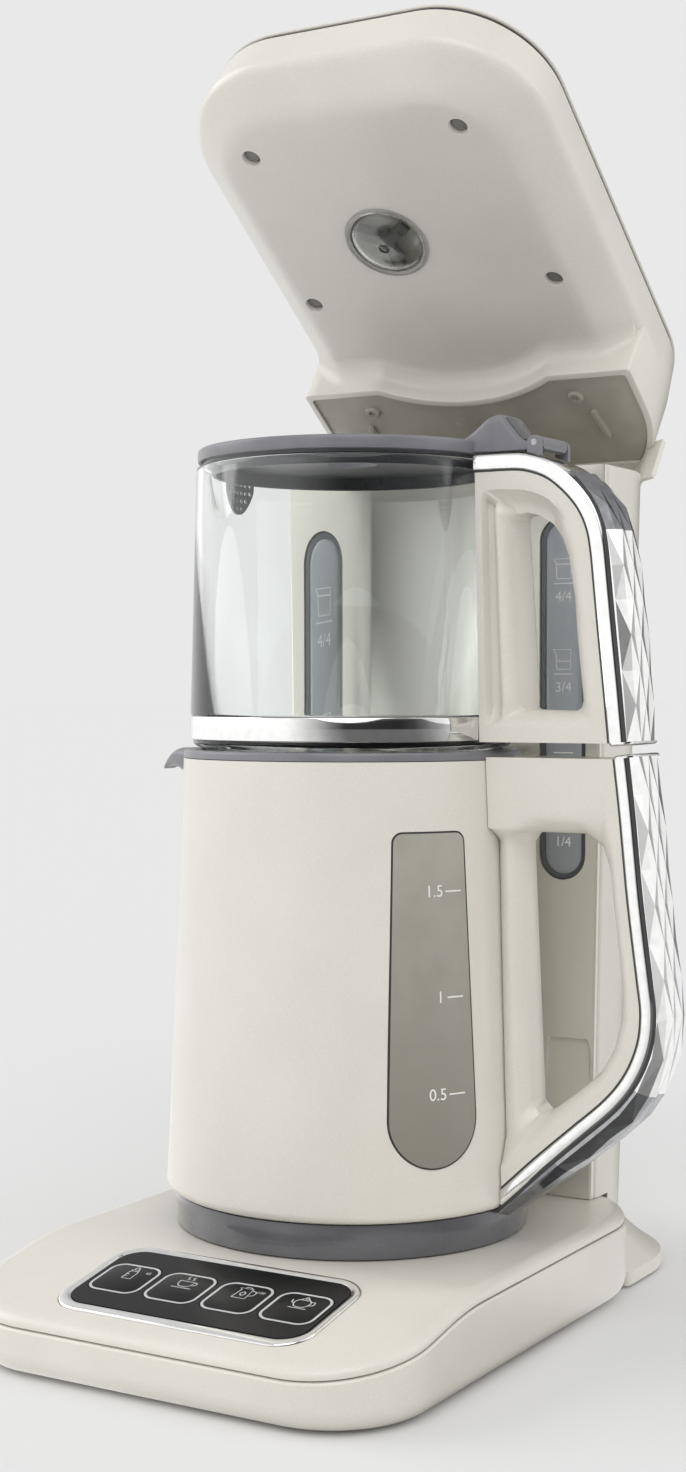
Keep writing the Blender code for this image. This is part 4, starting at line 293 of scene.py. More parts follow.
@dataclass(frozen=True)
class SmokedPane(Surface):
    """Smoke-tinted polycarbonate in front of a dim vessel: it darkens towards its foot."""

    slot: str = "smoke"
    colour: str = "#ACA99F"
    foot: str = "#8A877D"
    low: float = 0.07
    high: float = 0.19
    roughness: float = 0.22

    def build(self) -> bpy.types.Material:
        """Build the material."""
        material, tree, shader = self.start()
        place = add_node(tree, "ShaderNodeTexCoord").outputs["Object"]
        height = add_node(tree, "ShaderNodeSeparateXYZ", {0: place}).outputs["Z"]
        rise = self.between(tree, height, (self.low, self.high), (0.0, 1.0))
        body = self.tint(tree, rise, self.foot, self.colour)
        clouds = self.between(tree, self.pattern(tree, 0.012), (0.35, 0.65), (0.0, 0.25))
        tree.links.new(self.tint(tree, clouds, body, self.foot), shader.inputs["Base Color"])
        fine = self.pattern(tree, 0.0012)
        self.roughen(tree, shader, fine, self.roughness - 0.03, self.roughness + 0.03)
        shader.inputs["Coat Weight"].default_value = 0.6
        shader.inputs["Coat Roughness"].default_value = 0.06
        return material


class Finish(Enum):
    """The finishes of this tea maker."""

    SHELL = PearlLacquer("cream_pearl_lacquer_on_abs")
    FACE = PearlLacquer("cream_metallic_lacquer_on_tower_face", colour="#DBD8CF", fleck="#E2DFD6",
                        metal=0.50, roughness=0.24, grain=0.000003)
    INNER = PearlLacquer("cream_moulded_abs", colour="#CECABE", fleck="#D8D5CB", shade="#C3BFB3",
                         roughness=0.5, gloss=0.0)
    RIM = MouldedPlastic("grey_moulded_polypropylene", colour="#7D7D82", shade="#737378",
                         roughness=0.36, gloss=0.15)
    SKIRT = MouldedPlastic("dark_grey_moulded_polypropylene", colour="#55565A", shade="#4B4C50",
                           roughness=0.3, gloss=0.2)
    FOOT = MouldedPlastic("grey_gloss_abs", colour="#5E5E63", shade="#56565B", roughness=0.24,
                          gloss=0.6)
    # Dark grey of the head's seam plate; on the handles the same colour is painted shade in the
    # gaps beside the band.
    SEAM = MouldedPlastic("dark_parting_line_and_painted_gap_shade", colour="#3C3D3F", shade="#333435", roughness=0.5)
    PLATE = MouldedPlastic("khaki_grey_glass_filled_nylon", slot="smoke", colour="#B9B6AB",
                           shade="#ABA89D", roughness=0.42, grain=0.0015, depth=0.00008)
    SCREW = MouldedPlastic("grey_nylon_plug", colour="#7C7D74", shade="#71726A", roughness=0.45)
    RUBBER = MouldedPlastic("black_nitrile_rubber", colour="#262626", shade="#1E1E1E",
                            roughness=0.8)
    CHROME = WorkedMetal("bright_chrome_plating", colour="#EDEDEC", shade="#E3E3E2", roughness=0.07)
    FACET = WorkedMetal("satin_chrome_facets", colour="#F4F4F3", shade="#ECECEB", roughness=0.20,
                        spread=0.03)
    # Darker copies of the satin chrome facets: their grey and dark colours are painted reflection
    # of the darker parts of the room that the facets mirror.
    FACET_PAINTED_GREY = WorkedMetal("chrome_facets_with_painted_grey_reflection", colour="#B5B6B8", shade="#A3A4A6",
                             roughness=0.20, spread=0.03)
    FACET_PAINTED_DARK = WorkedMetal("chrome_facets_with_painted_dark_reflection", colour="#8E8F92", shade="#77787B",
                             roughness=0.09, spread=0.02)
    STEEL = WorkedMetal("brushed_stainless_steel", slot="steel", colour="#C9C9C7", shade="#B9B9B7",
                        roughness=0.26, spread=0.05, lay=(1.0, 1.0, 0.06), mark=0.003,
                        depth=0.00001)
    BRASS = WorkedMetal("turned_brass_contact", colour="#C8A45A", shade="#B8934A", roughness=0.3,
                        spread=0.05)
    PANEL = MouldedPlastic("black_screen_printed_glass", slot="black_glass", colour="#141516",
                           shade="#111213", roughness=0.22, shine=0.12, depth=0.000002)
    INK = MouldedPlastic("pale_grey_screen_ink", slot="cream", colour="#C9CACB", shade="#BFC0C1",
                         roughness=0.5)
    WHITE_INK = MouldedPlastic("white_screen_ink", slot="cream", colour="#F1F1EF", shade="#E8E8E6",
                               roughness=0.5)
    GLASS = ClearBody("borosilicate_glass", slot="pot_glass")
    CLEAR = ClearBody("clear_polycarbonate", colour="#F0F1EE", roughness=0.04, index=1.58)
    TANK = ClearBody("clear_styrene", colour="#E9EDEE", roughness=0.08, index=1.59)
    KETTLE_PANE = SmokedPane("smoked_polycarbonate_kettle_pane")
    TOWER_PANE = SmokedPane("smoked_polycarbonate_tower_pane", colour="#AEB3B8", foot="#9A9FA5",
                            low=0.16, high=0.32)
    # A darker copy of the tower pane: its dark colour is painted shade along the thick tinted edge
    # of the sunk window.
    TOWER_PANE_EDGE = SmokedPane(
            "smoked_polycarbonate_tower_edge_with_painted_shade", colour="#565B60", foot="#484D51", low=0.16,
            high=0.32)
    BOARD = MouldedPlastic("green_solder_mask_on_fibreglass", colour="#1F5A38", shade="#17482C",
                           roughness=0.4, gloss=0.3)
    HOSE = MouldedPlastic("milky_silicone_hose", colour="#DEDBD3", shade="#D3D0C7", roughness=0.5)

    def material(self) -> bpy.types.Material:
        """Return the finish's material, built once."""
        return bpy.data.materials.get(self.value.title) or self.value.build()


# Outlines

def arc(centre: Point2, radius: float, start: float, end: float, steps: int) -> list[Point2]:
    """Points on an arc, ends included.

    Args:
        centre: The arc's centre.
        radius: Its radius.
        start: Start angle in radians.
        end: End angle in radians.
        steps: Number of segments.

    Returns:
        The points in order.
    """
    turns = [start + (end - start) * i / steps for i in range(steps + 1)]
    return [(centre[0] + radius * math.cos(t), centre[1] + radius * math.sin(t)) for t in turns]


def rounded(half: float, front: float, rear: float, front_radius: float, rear_radius: float,
            steps: int = 18, splits: int = 1) -> list[Point2]:
    """Outline of a box with rounded corners, anticlockwise from its front right corner.

    Args:
        half: Half its width.
        front: Its low edge.
        rear: Its high edge.
        front_radius: Radius of the two low corners.
        rear_radius: Radius of the two high corners.
        steps: Segments in each corner.
        splits: Segments in each straight edge.

    Returns:
        A closed outline without a repeated point.
    """
    corners = ((half - front_radius, front + front_radius, front_radius, -QUARTER),
               (half - rear_radius, rear - rear_radius, rear_radius, 0.0),
               (rear_radius - half, rear - rear_radius, rear_radius, QUARTER),
               (front_radius - half, front + front_radius, front_radius, 2 * QUARTER))
    points: list[Point2] = []
    for x, y, radius, start in corners:
        curve = arc((x, y), radius, start, start + QUARTER, steps)
        if points:
            points += between_points(points[-1], curve[0], splits)
        points += curve
    return points + between_points(points[-1], points[0], splits)


def between_points(first: Point2, last: Point2, splits: int) -> list[Point2]:
    """Inner points of a straight edge cut into equal splits."""
    return [(first[0] + (last[0] - first[0]) * i / splits, first[1] + (last[1] - first[1]) * i
             / splits) for i in range(1, splits)]


def stadium(half: float, low: float, high: float, steps: int = 16) -> list[Point2]:
    """Outline of an upright slot with half-round ends."""
    return (arc((0.0, low + half), half, math.pi, 2 * math.pi, steps)
            + arc((0.0, high - half), half, 0.0, math.pi, steps))


def offset(points: Sequence[Point2], distance: float, closed: bool = False) -> list[Point2]:
    """Move a path sideways, to the left of its direction of travel.

    Args:
        points: The path.
        distance: How far to move it.
        closed: Whether its ends join.

    Returns:
        The moved path, with as many points.
    """
    count = len(points)
    moved = []
    for i, (x, y) in enumerate(points):
        before = points[(i - 1) % count] if closed else points[max(i - 1, 0)]
        after = points[(i + 1) % count] if closed else points[min(i + 1, count - 1)]
        dx, dy = after[0] - before[0], after[1] - before[1]
        length = math.hypot(dx, dy)
        moved.append((x - dy / length * distance, y + dx / length * distance))
    return moved


def smooth(points: Sequence[Point2], steps: int = 6) -> list[Point2]:
    """Catmull-Rom curve through the points, ends included."""
    padded = [points[0], *points, points[-1]]
    path: list[Point2] = []
    for i in range(1, len(padded) - 2):
        p0, p1, p2, p3 = padded[i - 1:i + 3]
        for k in range(steps):
            t = k / steps
            path.append(tuple(0.5 * (2 * b + (c - a) * t + (2 * a - 5 * b + 4 * c - d) * t * t
                                     + (3 * b - a - 3 * c + d) * t ** 3)
                              for a, b, c, d in zip(p0, p1, p2, p3)))
    return path + [tuple(points[-1])]


def spaced(points: Sequence[Point2], count: int) -> list[Point2]:
    """Put a number of points at equal distances along a path, ends included."""
    lengths = [0.0]
    for first, second in zip(points, points[1:]):
        lengths.append(lengths[-1] + math.dist(first, second))
    result = []
    leg = 0
    for i in range(count):
        wanted = lengths[-1] * i / (count - 1)
        while leg < len(lengths) - 2 and lengths[leg + 1] < wanted:
            leg += 1
        share = (wanted - lengths[leg]) / max(lengths[leg + 1] - lengths[leg], WELD)
        a, b = points[leg], points[leg + 1]
        result.append((a[0] + (b[0] - a[0]) * share, a[1] + (b[1] - a[1]) * share))
    return result


def level(points: Iterable[Point2], height: float) -> list[Point3]:
    """Lift a flat outline to a height."""
    return [(x, y, height) for x, y in points]


def mix(first: float, last: float, share: float) -> float:
    """Value a share of the way from the first to the last."""
    return first + (last - first) * share


def quarter(steps: int) -> list[Point2]:
    """A quarter turn in equal steps, as pairs of how far it is from its start and from its end."""
    return [(1 - math.cos(QUARTER * i / steps), 1 - math.sin(QUARTER * i / steps))
            for i in range(steps + 1)]


# Mesh work

def ring(work: Work, points: Sequence[Point3], closed: bool = True) -> Loop:
    """Lay a ring of edges.

    Args:
        work: The mesh under construction.
        points: The ring's corners.
        closed: Whether the last corner joins the first.

    Returns:
        The ring's edges.
    """
    verts = [work.verts.new(point) for point in points]
    pairs = zip(verts, verts[1:] + verts[:1]) if closed else zip(verts, verts[1:])
    return [work.edges.new(pair) for pair in pairs]


def skin(rings: Sequence[Sequence[Point3]], ends: bool = True, around: bool = False) -> Work:
    """Skin a stack of rings that have the same number of points.

    Args:
        rings: The rings in order.
        ends: Whether the first and the last ring are filled.
        around: Whether the last ring joins the first.

    Returns:
        The mesh under construction.
    """
    work = bmesh.new()
    loops = [ring(work, points) for points in rings]
    following = loops[1:] + (loops[:1] if around else [])
    for low, high in zip(loops, following):
        bmesh.ops.bridge_loops(work, edges=low + high)
    if ends and not around:
        for loop in (loops[0], loops[-1]):
            bmesh.ops.contextual_create(work, geom=loop)
    return work


def turn(profile: Sequence[Point2], steps: int, centre: Point2 = (0.0, 0.0)) -> Work:
    """Spin a closed profile of radius and height about an upright axis.

    Args:
        profile: The profile's corners.
        steps: Steps in the full turn.
        centre: Where the axis stands.

    Returns:
        The mesh under construction.
    """
    work = bmesh.new()
    verts = [work.verts.new((centre[0] + radius, centre[1], height)) for radius, height in profile]
    axial = [radius < WELD for radius, height in profile]
    edges = []
    for i, vert in enumerate(verts):
        k = (i + 1) % len(verts)
        if not (axial[i] and axial[k]):
            edges.append(work.edges.new((vert, verts[k])))
    bmesh.ops.spin(work, geom=verts + edges, cent=(centre[0], centre[1], 0.0), axis=(0.0, 0.0, 1.0),
                   dvec=(0.0, 0.0, 0.0), angle=2 * math.pi, steps=steps, use_merge=True,
                   use_normal_flip=False, use_duplicate=False)
    return work


def prism(outline: Sequence[Point2], low: float, high: float) -> Work:
    """A flat plate of any outline between two heights."""
    work = bmesh.new()
    bmesh.ops.contextual_create(work, geom=ring(work, level(outline, low)))
    grown = bmesh.ops.extrude_face_region(work, geom=work.faces[:])
    lifted = [item for item in grown["geom"] if isinstance(item, bmesh.types.BMVert)]
    bmesh.ops.translate(work, verts=lifted, vec=(0.0, 0.0, high - low))
    return work


def block(half: float, front: float, rear: float, low: float, high: float) -> Mesh:
    """A box that is as wide on the left as on the right."""
    return as_mesh(prism([(-half, front), (half, front), (half, rear), (-half, rear)], low, high))


def upright(work: Work, y: float = 0.0) -> Work:
    """Stand a plate drawn in width and height on its edge, facing the front."""
    work.transform(Matrix.Translation((0.0, y, 0.0)) @ Matrix.Rotation(QUARTER, 4, "X"))
    return work


def rounded_plate(outline: Sequence[Point2], low: float, high: float, edge: float,
                  steps: int = 3) -> Work:
    """A plate whose upper rim is rounded."""
    rings = [level(outline, low)]
    rings += [level(offset(outline, edge * out, closed=True), high - edge * up) for out,
              up in quarter(steps)]
    return skin(rings)


def as_mesh(work: Work, weld: float = WELD) -> Mesh:
    """Close a mesh under construction: doubles merged, faces outwards."""
    bmesh.ops.remove_doubles(work, verts=work.verts, dist=weld)
    bmesh.ops.recalc_face_normals(work, faces=work.faces)
    mesh = bpy.data.meshes.new("work")
    work.to_mesh(mesh)
    work.free()
    return mesh


def evaluated(item: bpy.types.Object) -> Mesh:
    """A new mesh of an object as its modifiers or its curve make it."""
    bpy.context.view_layer.update()
    graph = bpy.context.evaluated_depsgraph_get()
    return bpy.data.meshes.new_from_object(item.evaluated_get(graph))


def slice_across(work: Work, axis: int, place: float) -> None:
    """Add edges along a plane across an axis, so that a later bend can follow them."""
    normal = [0.0, 0.0, 0.0]
    normal[axis] = 1.0
    bmesh.ops.bisect_plane(work, geom=work.verts[:] + work.edges[:] + work.faces[:], dist=WELD,
                           plane_co=[place * part for part in normal], plane_no=normal)


def carve(solid: Mesh, tools: Iterable[Mesh],
          operation: str = "DIFFERENCE") -> Mesh:
    """Cut, join or intersect a solid with others.

    Args:
        solid: The mesh that is worked on.
        tools: The meshes that work on it, one after the other.
        operation: DIFFERENCE, UNION or INTERSECT.

    Returns:
        A new mesh.
    """
    blank = bpy.data.objects.new("blank", solid)
    bpy.context.scene.collection.objects.link(blank)
    helpers = []
    for tool in tools:
        helper = bpy.data.objects.new("tool", tool)
        bpy.context.scene.collection.objects.link(helper)
        step = blank.modifiers.new("step", "BOOLEAN")
        step.operation = operation
        step.solver = "EXACT"
        step.object = helper
        helpers.append(helper)
    result = evaluated(blank)
    for item in (blank, *helpers):
        bpy.data.objects.remove(item, do_unlink=True)
    work = bmesh.new()
    work.from_mesh(result)
    bmesh.ops.remove_doubles(work, verts=work.verts, dist=WELD)
    bmesh.ops.dissolve_degenerate(work, edges=work.edges, dist=WELD)
    work.to_mesh(result)
    work.free()
    return result


@dataclass
class Site:
    """Where pieces stand in the frame: the kettle's axis, the raised head and the sloped panel."""

    hinge_y: float = 0.1410
    hinge_z: float = 0.3270
    raised: float = math.radians(36.5)
    panel_x: float = 0.003
    panel_y: float = -0.1065
    panel_z: float = 0.030167
    slope: float = math.radians(10.6)

    def stand(self) -> Matrix:
        """Matrix of the axis that the kettle and the teapot share."""
        low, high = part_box("kettle_shell")
        return Matrix.Translation(((low[0] + high[0]) / 2, (low[1] + high[1]) / 2, 0.0))

    def head(self) -> Matrix:
        """Matrix that raises the head, which is laid out closed."""
        hinge = Vector((0.0, self.hinge_y, self.hinge_z))
        turned = Matrix.Rotation(-self.raised, 4, "X")
        return self.stand() @ Matrix.Translation(hinge) @ turned @ Matrix.Translation(-hinge)

    def panel(self) -> Matrix:
        """Matrix of the control panel: its origin on the slope, Z out of the surface."""
        origin = Matrix.Translation((self.panel_x, self.panel_y, self.panel_z))
        return self.stand() @ origin @ Matrix.Rotation(self.slope, 4, "X")


SITE = Site()
STAND = SITE.stand()
HEAD = SITE.head()
PANEL = SITE.panel()


def publish(name: str, mesh: Mesh | Work, finish: Finish, body: str, stands_for: Sequence[str] = (),
            place: Optional[Matrix] = None, crease: float = CREASE) -> bpy.types.Object:
    """Put a finished piece into the frame.

    Args:
        name: The piece's name.
        mesh: Its mesh, or the mesh under construction.
        finish: Its finish.
        body: The body that it rides on.
        stands_for: Nodes of the solids that it replaces.
        place: Matrix from the space it was built in to the frame, where it isn't its body's own.
        crease: Angle above which an edge stays sharp.

    Returns:
        The object, at the origin.
    """
    if isinstance(mesh, Work):
        mesh = as_mesh(mesh)
    if place is None:
        place = HEAD if body == "head" else STAND
    mesh.name = name
    mesh.transform(place)
    mesh.shade_smooth()
    mesh.set_sharp_from_angle(angle=crease)
    mesh.materials.clear()
    mesh.materials.append(finish.material())
    piece = bpy.data.objects.new(name, mesh)
    bpy.context.scene.collection.objects.link(piece)
    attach(piece, body)
    if stands_for:
        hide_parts(*stands_for)
    LOG.info("%s rides on %s", name, body)
    return piece


def keep(finish: Finish, *nodes: str) -> None:
    """Give nodes whose shape stays as it is a finish of their own."""
    for name in nodes:
        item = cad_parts[name]
        for holder in item.material_slots:
            holder.material = finish.material()
        LOG.info("%s keeps its solid", name)


# Base and control panel

@dataclass
class Base:
    """The low base that carries everything, with a sloped front."""

    half: float = 0.0935
    front: float = -0.144
    rear: float = 0.095
    front_radius: float = 0.039
    rear_radius: float = 0.047
    bottom: float = 0.0012
    bottom_edge: float = 0.0085
    plateau: float = 0.0355
    slope_start: float = -0.078
    bend: float = 0.026
    parting: float = 0.0044
    seam: float = 0.0005
    lip: float = 0.0008
    top_edge: float = 0.0044
    wall: float = 0.0025

    def roof(self, y: float) -> float:
        """Height of the top above the table: level, then a soft bend into the slope."""
        ahead = self.slope_start - y
        fall = math.tan(SITE.slope)
        if ahead <= -self.bend / 2:
            return self.plateau
        if ahead >= self.bend / 2:
            return self.plateau - ahead * fall
        return self.plateau - fall * (ahead + self.bend / 2) ** 2 / (2 * self.bend)

    def outline(self, inset: float) -> list[Point2]:
        """Outline of the base, drawn in by an inset."""
        return rounded(self.half - inset, self.front + inset, self.rear - inset,
                       self.front_radius - inset, self.rear_radius - inset, 22, 24)

    def build(self) -> None:
        """Build the tub, the top and what is seen of the connector."""
        self.build_tub()
        self.build_top()
        self.build_connector()
        keep(Finish.RUBBER, "foot_front_left", "foot_front_right", "foot_rear_left",
             "foot_rear_right", "speaker")

    def build_tub(self) -> None:
        """Build the lower shell, whose upper edge follows the slope."""
        drop = self.parting + self.seam
        soft = 0.0006
        rings = [level(self.outline(self.wall + self.bottom_edge * 0.6), self.bottom + self.wall),
                 [(x, y, self.roof(y) - drop - soft) for x, y in self.outline(self.wall)],
                 [(x, y, self.roof(y) - drop) for x, y in self.outline(self.wall - soft)],
                 [(x, y, self.roof(y) - drop) for x, y in self.outline(soft)],
                 [(x, y, self.roof(y) - drop - soft) for x, y in self.outline(0.0)]]
        rings += [level(self.outline(self.bottom_edge * out), self.bottom + self.bottom_edge * up)
                  for out, up in quarter(7)]
        publish("base_tub_shell", skin(rings), Finish.SHELL, "base", ["base_tub"])

    def build_top(self) -> None:
        """Build the upper shell, bent over the slope, with the well for the control panel."""
        rings = [level(self.outline(self.lip + self.wall), -self.wall),
                 level(self.outline(self.lip + self.wall), -self.parting),
                 level(self.outline(self.lip + 0.0003), -self.parting),
                 level(self.outline(self.lip), -self.parting + 0.0003)]
        rings += [level(self.outline(self.lip + self.top_edge * 1.25 * out), -self.top_edge * 0.72
                        * up) for out, up in quarter(8)]
        work = skin(rings)
        first = self.slope_start - self.bend / 2
        for i in range(27):
            y = first + self.bend * i / 26
            slice_across(work, 1, y)
        for vert in work.verts:
            vert.co.z += self.roof(vert.co.y)
        top = as_mesh(work)
        panel = ControlPanel()
        recess = prism(panel.outline(-0.00025), -panel.sink - 0.0003, 0.006)
        well = prism(panel.outline(0.0022), -0.008, 0.006)
        tools = []
        for cutter in (recess, well):
            cutter.transform(STAND.inverted() @ PANEL)
            tools.append(as_mesh(cutter))
        publish("base_top", carve(top, tools), Finish.SHELL, "base", ["base_top_shell"])

    def build_connector(self) -> None:
        """Build the cone that feeds the kettle, with its ring contacts."""
        low = self.plateau + 0.0003
        work = turn(((0.0, low + 0.0040), (0.0036, low + 0.0040), (0.0042, low + 0.0076),
                     (0.0072, low + 0.0077), (0.0080, low + 0.0072), (0.0100, low + 0.0058),
                     (0.0240, low + 0.0016), (0.0256, low + 0.0012), (0.0260, low + 0.0006),
                     (0.0258, low), (0.0, low)), 96)
        publish("connector_cone", work, Finish.SKIRT, "base", ["base_connector"])
        for i, (radius, height) in enumerate(((0.0128, 0.0052), (0.0176, 0.0037))):
            z = low + height
            work = turn(((radius - 0.0008, z - 0.001), (radius + 0.0008, z - 0.001),
                         (radius + 0.0008, z - 0.0001), (radius, z + 0.0002), (radius - 0.0008, z)),
                        96)
            publish(f"connector_contact_{i + 1}", work, Finish.BRASS, "base")
        work = turn(((0.0, low + 0.0010), (0.0016, low + 0.0010), (0.0016, low + 0.0064),
                     (0.0008, low + 0.0072), (0.0, low + 0.0074)), 24)
        publish("connector_pin", work, Finish.BRASS, "base")


@dataclass
class ControlPanel:
    """The chrome-framed black panel with four keys."""

    half_x: float = 0.0535
    half_y: float = 0.0265
    radius: float = 0.013
    side: float = 0.0034
    front: float = 0.0052
    proud: float = 0.0008
    sink: float = 0.0014
    plate_top: float = 0.0004
    plate_depth: float = 0.0022
    key_half: float = 0.0113
    key_radius: float = 0.0058
    key_gap: float = 0.0002
    pitch: float = 0.0246
    key_y: float = -0.0003
    key_depth: float = 0.003
    border: float = 0.0010
    print_lift: float = 0.00004
    nodes: tuple[str, ...] = ("key_bottle", "key_coffee", "key_kettle", "key_tea")

    def outline(self, inset: float) -> list[Point2]:
        """Outline of the panel's frame, drawn in by an inset."""
        return rounded(self.half_x - inset, -self.half_y + inset, self.half_y - inset,
                       self.radius - inset, self.radius - inset, 12)

    def hole(self, inset: float) -> list[Point2]:
        """Outline of the black plate, drawn in by an inset: the frame is widest at the front."""
        corner = self.radius - self.side
        return rounded(self.half_x - self.side - inset, -self.half_y + self.front + inset,
                       self.half_y - self.side - inset, corner - inset, corner - inset, 12)

    def key_outline(self, grow: float) -> list[Point2]:
        """Outline of a key about its own middle, grown by a margin."""
        half = self.key_half + grow
        corner = self.key_radius + grow
        return rounded(half, -half, half, corner, corner, 10)

    def centres(self) -> list[Point2]:
        """Middles of the four keys."""
        count = len(self.nodes)
        shift = (self.front - self.side) / 2 + self.key_y
        return [((i - (count - 1) / 2) * self.pitch, shift) for i in range(count)]

    def build(self) -> None:
        """Build the frame, the plate and the keys with their prints."""
        high, low = self.proud, -self.sink
        work = skin((level(self.outline(0.0), low), level(self.outline(0.0), high - 0.0007),
                     level(self.outline(0.0003), high - 0.0002), level(self.outline(0.0008), high),
                     level(self.hole(-0.0016), high), level(self.hole(-0.0007), high - 0.0003),
                     level(self.hole(0.0), self.plate_top - 0.0002), level(self.hole(0.0), low)),
              around=True)
        publish("panel_frame", work, Finish.CHROME, "base", ["panel_bezel"], place=PANEL,
                crease=0.9)
        plate = prism(self.hole(0.0002), self.plate_top - self.plate_depth, self.plate_top)
        tools = []
        for x, y in self.centres():
            tool = prism(self.key_outline(self.key_gap), -self.plate_depth * 2, self.plate_top * 3)
            bmesh.ops.translate(tool, verts=tool.verts, vec=(x, y, 0.0))
            tools.append(as_mesh(tool))
        publish("panel_glass", carve(as_mesh(plate), tools), Finish.PANEL, "base", ["panel_plate"],
                place=PANEL)
        keep(Finish.BOARD, "control_board")
        for i, (node, centre) in enumerate(zip(self.nodes, self.centres())):
            self.build_key(node, f"key_{i + 1}", centre)

    def build_key(self, node: str, body: str, centre: Point2) -> None:
        """Build one key, its printed border and its pictogram."""
        place = PANEL @ Matrix.Translation((*centre, 0.0))
        cap = rounded_plate(self.key_outline(0.0), self.plate_top - self.key_depth, self.plate_top,
                            0.0003)
        publish(node + "_cap", cap, Finish.PANEL, body, [node], place=place)
        top = self.plate_top + self.print_lift
        work = skin((level(self.key_outline(-0.0003), top - 0.0001),
                     level(self.key_outline(-0.0003), top),
                     level(self.key_outline(-0.0003 - self.border), top),
                     level(self.key_outline(-0.0003 - self.border), top - 0.0001)), around=True)
        publish(node + "_border", work, Finish.INK, body, place=place)
        Pictogram(node).build(body, place @ Matrix.Translation((0.0, 0.0, top)))


@dataclass
class Pictogram:
    """Line drawing on a key, in millimetres about the key's middle."""

    node: str
    stroke: float = 0.00022

    def strokes(self) -> list[list[Point2]]:
        """The drawing's lines."""
        steam = [smooth([(x, 4.4), (x + 0.7, 5.3), (x - 0.3, 6.2), (x + 0.5, 7.1)])
                 for x in (-1.4, 0.8)]
        cup = [[(-3.4, 3.4), (3.0, 3.4), (2.6, 0.8), (1.4, -0.6), (-1.8, -0.6), (-3.0, 0.8),
                (-3.4, 3.4)], arc((3.0, 2.1), 1.3, -QUARTER, QUARTER, 10),
               [(-4.4, -1.7), (4.0, -1.7)]]
        bottle = [[(-1.9, -1.8), (-1.9, 3.2), (-1.2, 4.2), (1.2, 4.2), (1.9, 3.2), (1.9, -1.8),
                   (-1.9, -1.8)], [(-1.5, 4.2), (-1.5, 5.2), (1.5, 5.2), (1.5, 4.2)],
                  smooth([(-0.9, 5.2), (-0.7, 6.4), (0.0, 7.2), (0.7, 6.4), (0.9, 5.2)]),
                  [(-1.9, 0.2), (-0.7, 0.2)], [(-1.9, 1.6), (-0.7, 1.6)]]
        jug = [[(-2.8, -1.8), (-2.2, 4.6), (-3.3, 5.6), (2.2, 5.6), (2.8, -1.8), (-2.8, -1.8)],
               smooth([(2.3, 4.4), (4.3, 4.0), (4.5, 1.4), (2.6, 0.4)]),
               [(-1.4, 5.6), (-1.0, 6.5), (1.0, 6.5), (1.4, 5.6)],
               smooth([(0.0, 3.2), (-1.0, 1.5), (0.0, 0.3), (1.0, 1.5), (0.0, 3.2)])]
        teapot = [smooth([(-2.2, 4.4), (-3.2, 2.6), (-2.7, 0.4), (-1.4, -0.8), (1.4, -0.8),
                          (2.7, 0.4), (3.2, 2.6), (2.2, 4.4)]), [(-2.4, 4.4), (2.4, 4.4)],
                  smooth([(-1.8, 4.5), (-1.0, 5.4), (1.0, 5.4), (1.8, 4.5)]),
                  arc((0.0, 6.0), 0.55, 0, 6.3, 14),
                  smooth([(-3.1, 1.4), (-4.2, 2.0), (-4.6, 3.8)]),
                  smooth([(2.9, 3.6), (4.5, 3.6), (4.6, 1.6), (3.0, 0.9)]),
                  [(-3.6, -1.8), (3.6, -1.8)]]
        return {"key_bottle": bottle, "key_coffee": cup + steam, "key_kettle": jug,
                "key_tea": teapot}[self.node]

    def build(self, body: str, place: Matrix) -> None:
        """Draw the lines as thin flat strips and put them on the key."""
        publish(self.node + "_pictogram", line_drawing(self.strokes(), MILLIMETRE, self.stroke),
                Finish.INK, body, place=place @ Matrix.Translation((0.0, 0.0020, 0.0)))
        number = {"key_bottle": "45", "key_kettle": "100"}.get(self.node)
        if number:
            publish(self.node + "_number", lettering(number, 0.0024), Finish.INK, body,
                    place=place @ Matrix.Translation((0.0062, 0.0060, 0.0)))


def line_drawing(strokes: Sequence[Sequence[Point2]], scale: float, stroke: float) -> Mesh:
    """Turn open lines into one flat mesh.

    Args:
        strokes: The lines' points.
        scale: Factor from the points' unit to metres.
        stroke: Half the line's width in metres.

    Returns:
        A mesh of flattened round strips.
    """
    curve = bpy.data.curves.new("lines", "CURVE")
    curve.dimensions = "3D"
    curve.bevel_depth = stroke
    curve.bevel_resolution = 1
    curve.use_fill_caps = True
    for points in strokes:
        spline = curve.splines.new("POLY")
        spline.points.add(len(points) - 1)
        for point, (x, y) in zip(spline.points, points):
            point.co = (x * scale, y * scale, 0.0, 1.0)
    mesh = flattened(curve)
    mesh.transform(Matrix.Diagonal((1.0, 1.0, 0.12, 1.0)))
    return mesh


def lettering(words: str, size: float) -> Mesh:
    """Turn a plain number into a flat mesh, centred on its middle."""
    curve = bpy.data.curves.new("number", "FONT")
    curve.body = words
    curve.size = size
    curve.align_x = "CENTER"
    curve.align_y = "CENTER"
    curve.extrude = 0.00002
    curve.resolution_u = 4
    return flattened(curve)


def flattened(curve: bpy.types.Curve) -> Mesh:
    """Make a mesh of a curve or text."""
    item = bpy.data.objects.new("curve", curve)
    bpy.context.scene.collection.objects.link(item)
    mesh = evaluated(item)
    bpy.data.objects.remove(item, do_unlink=True)
    return mesh


# Tower

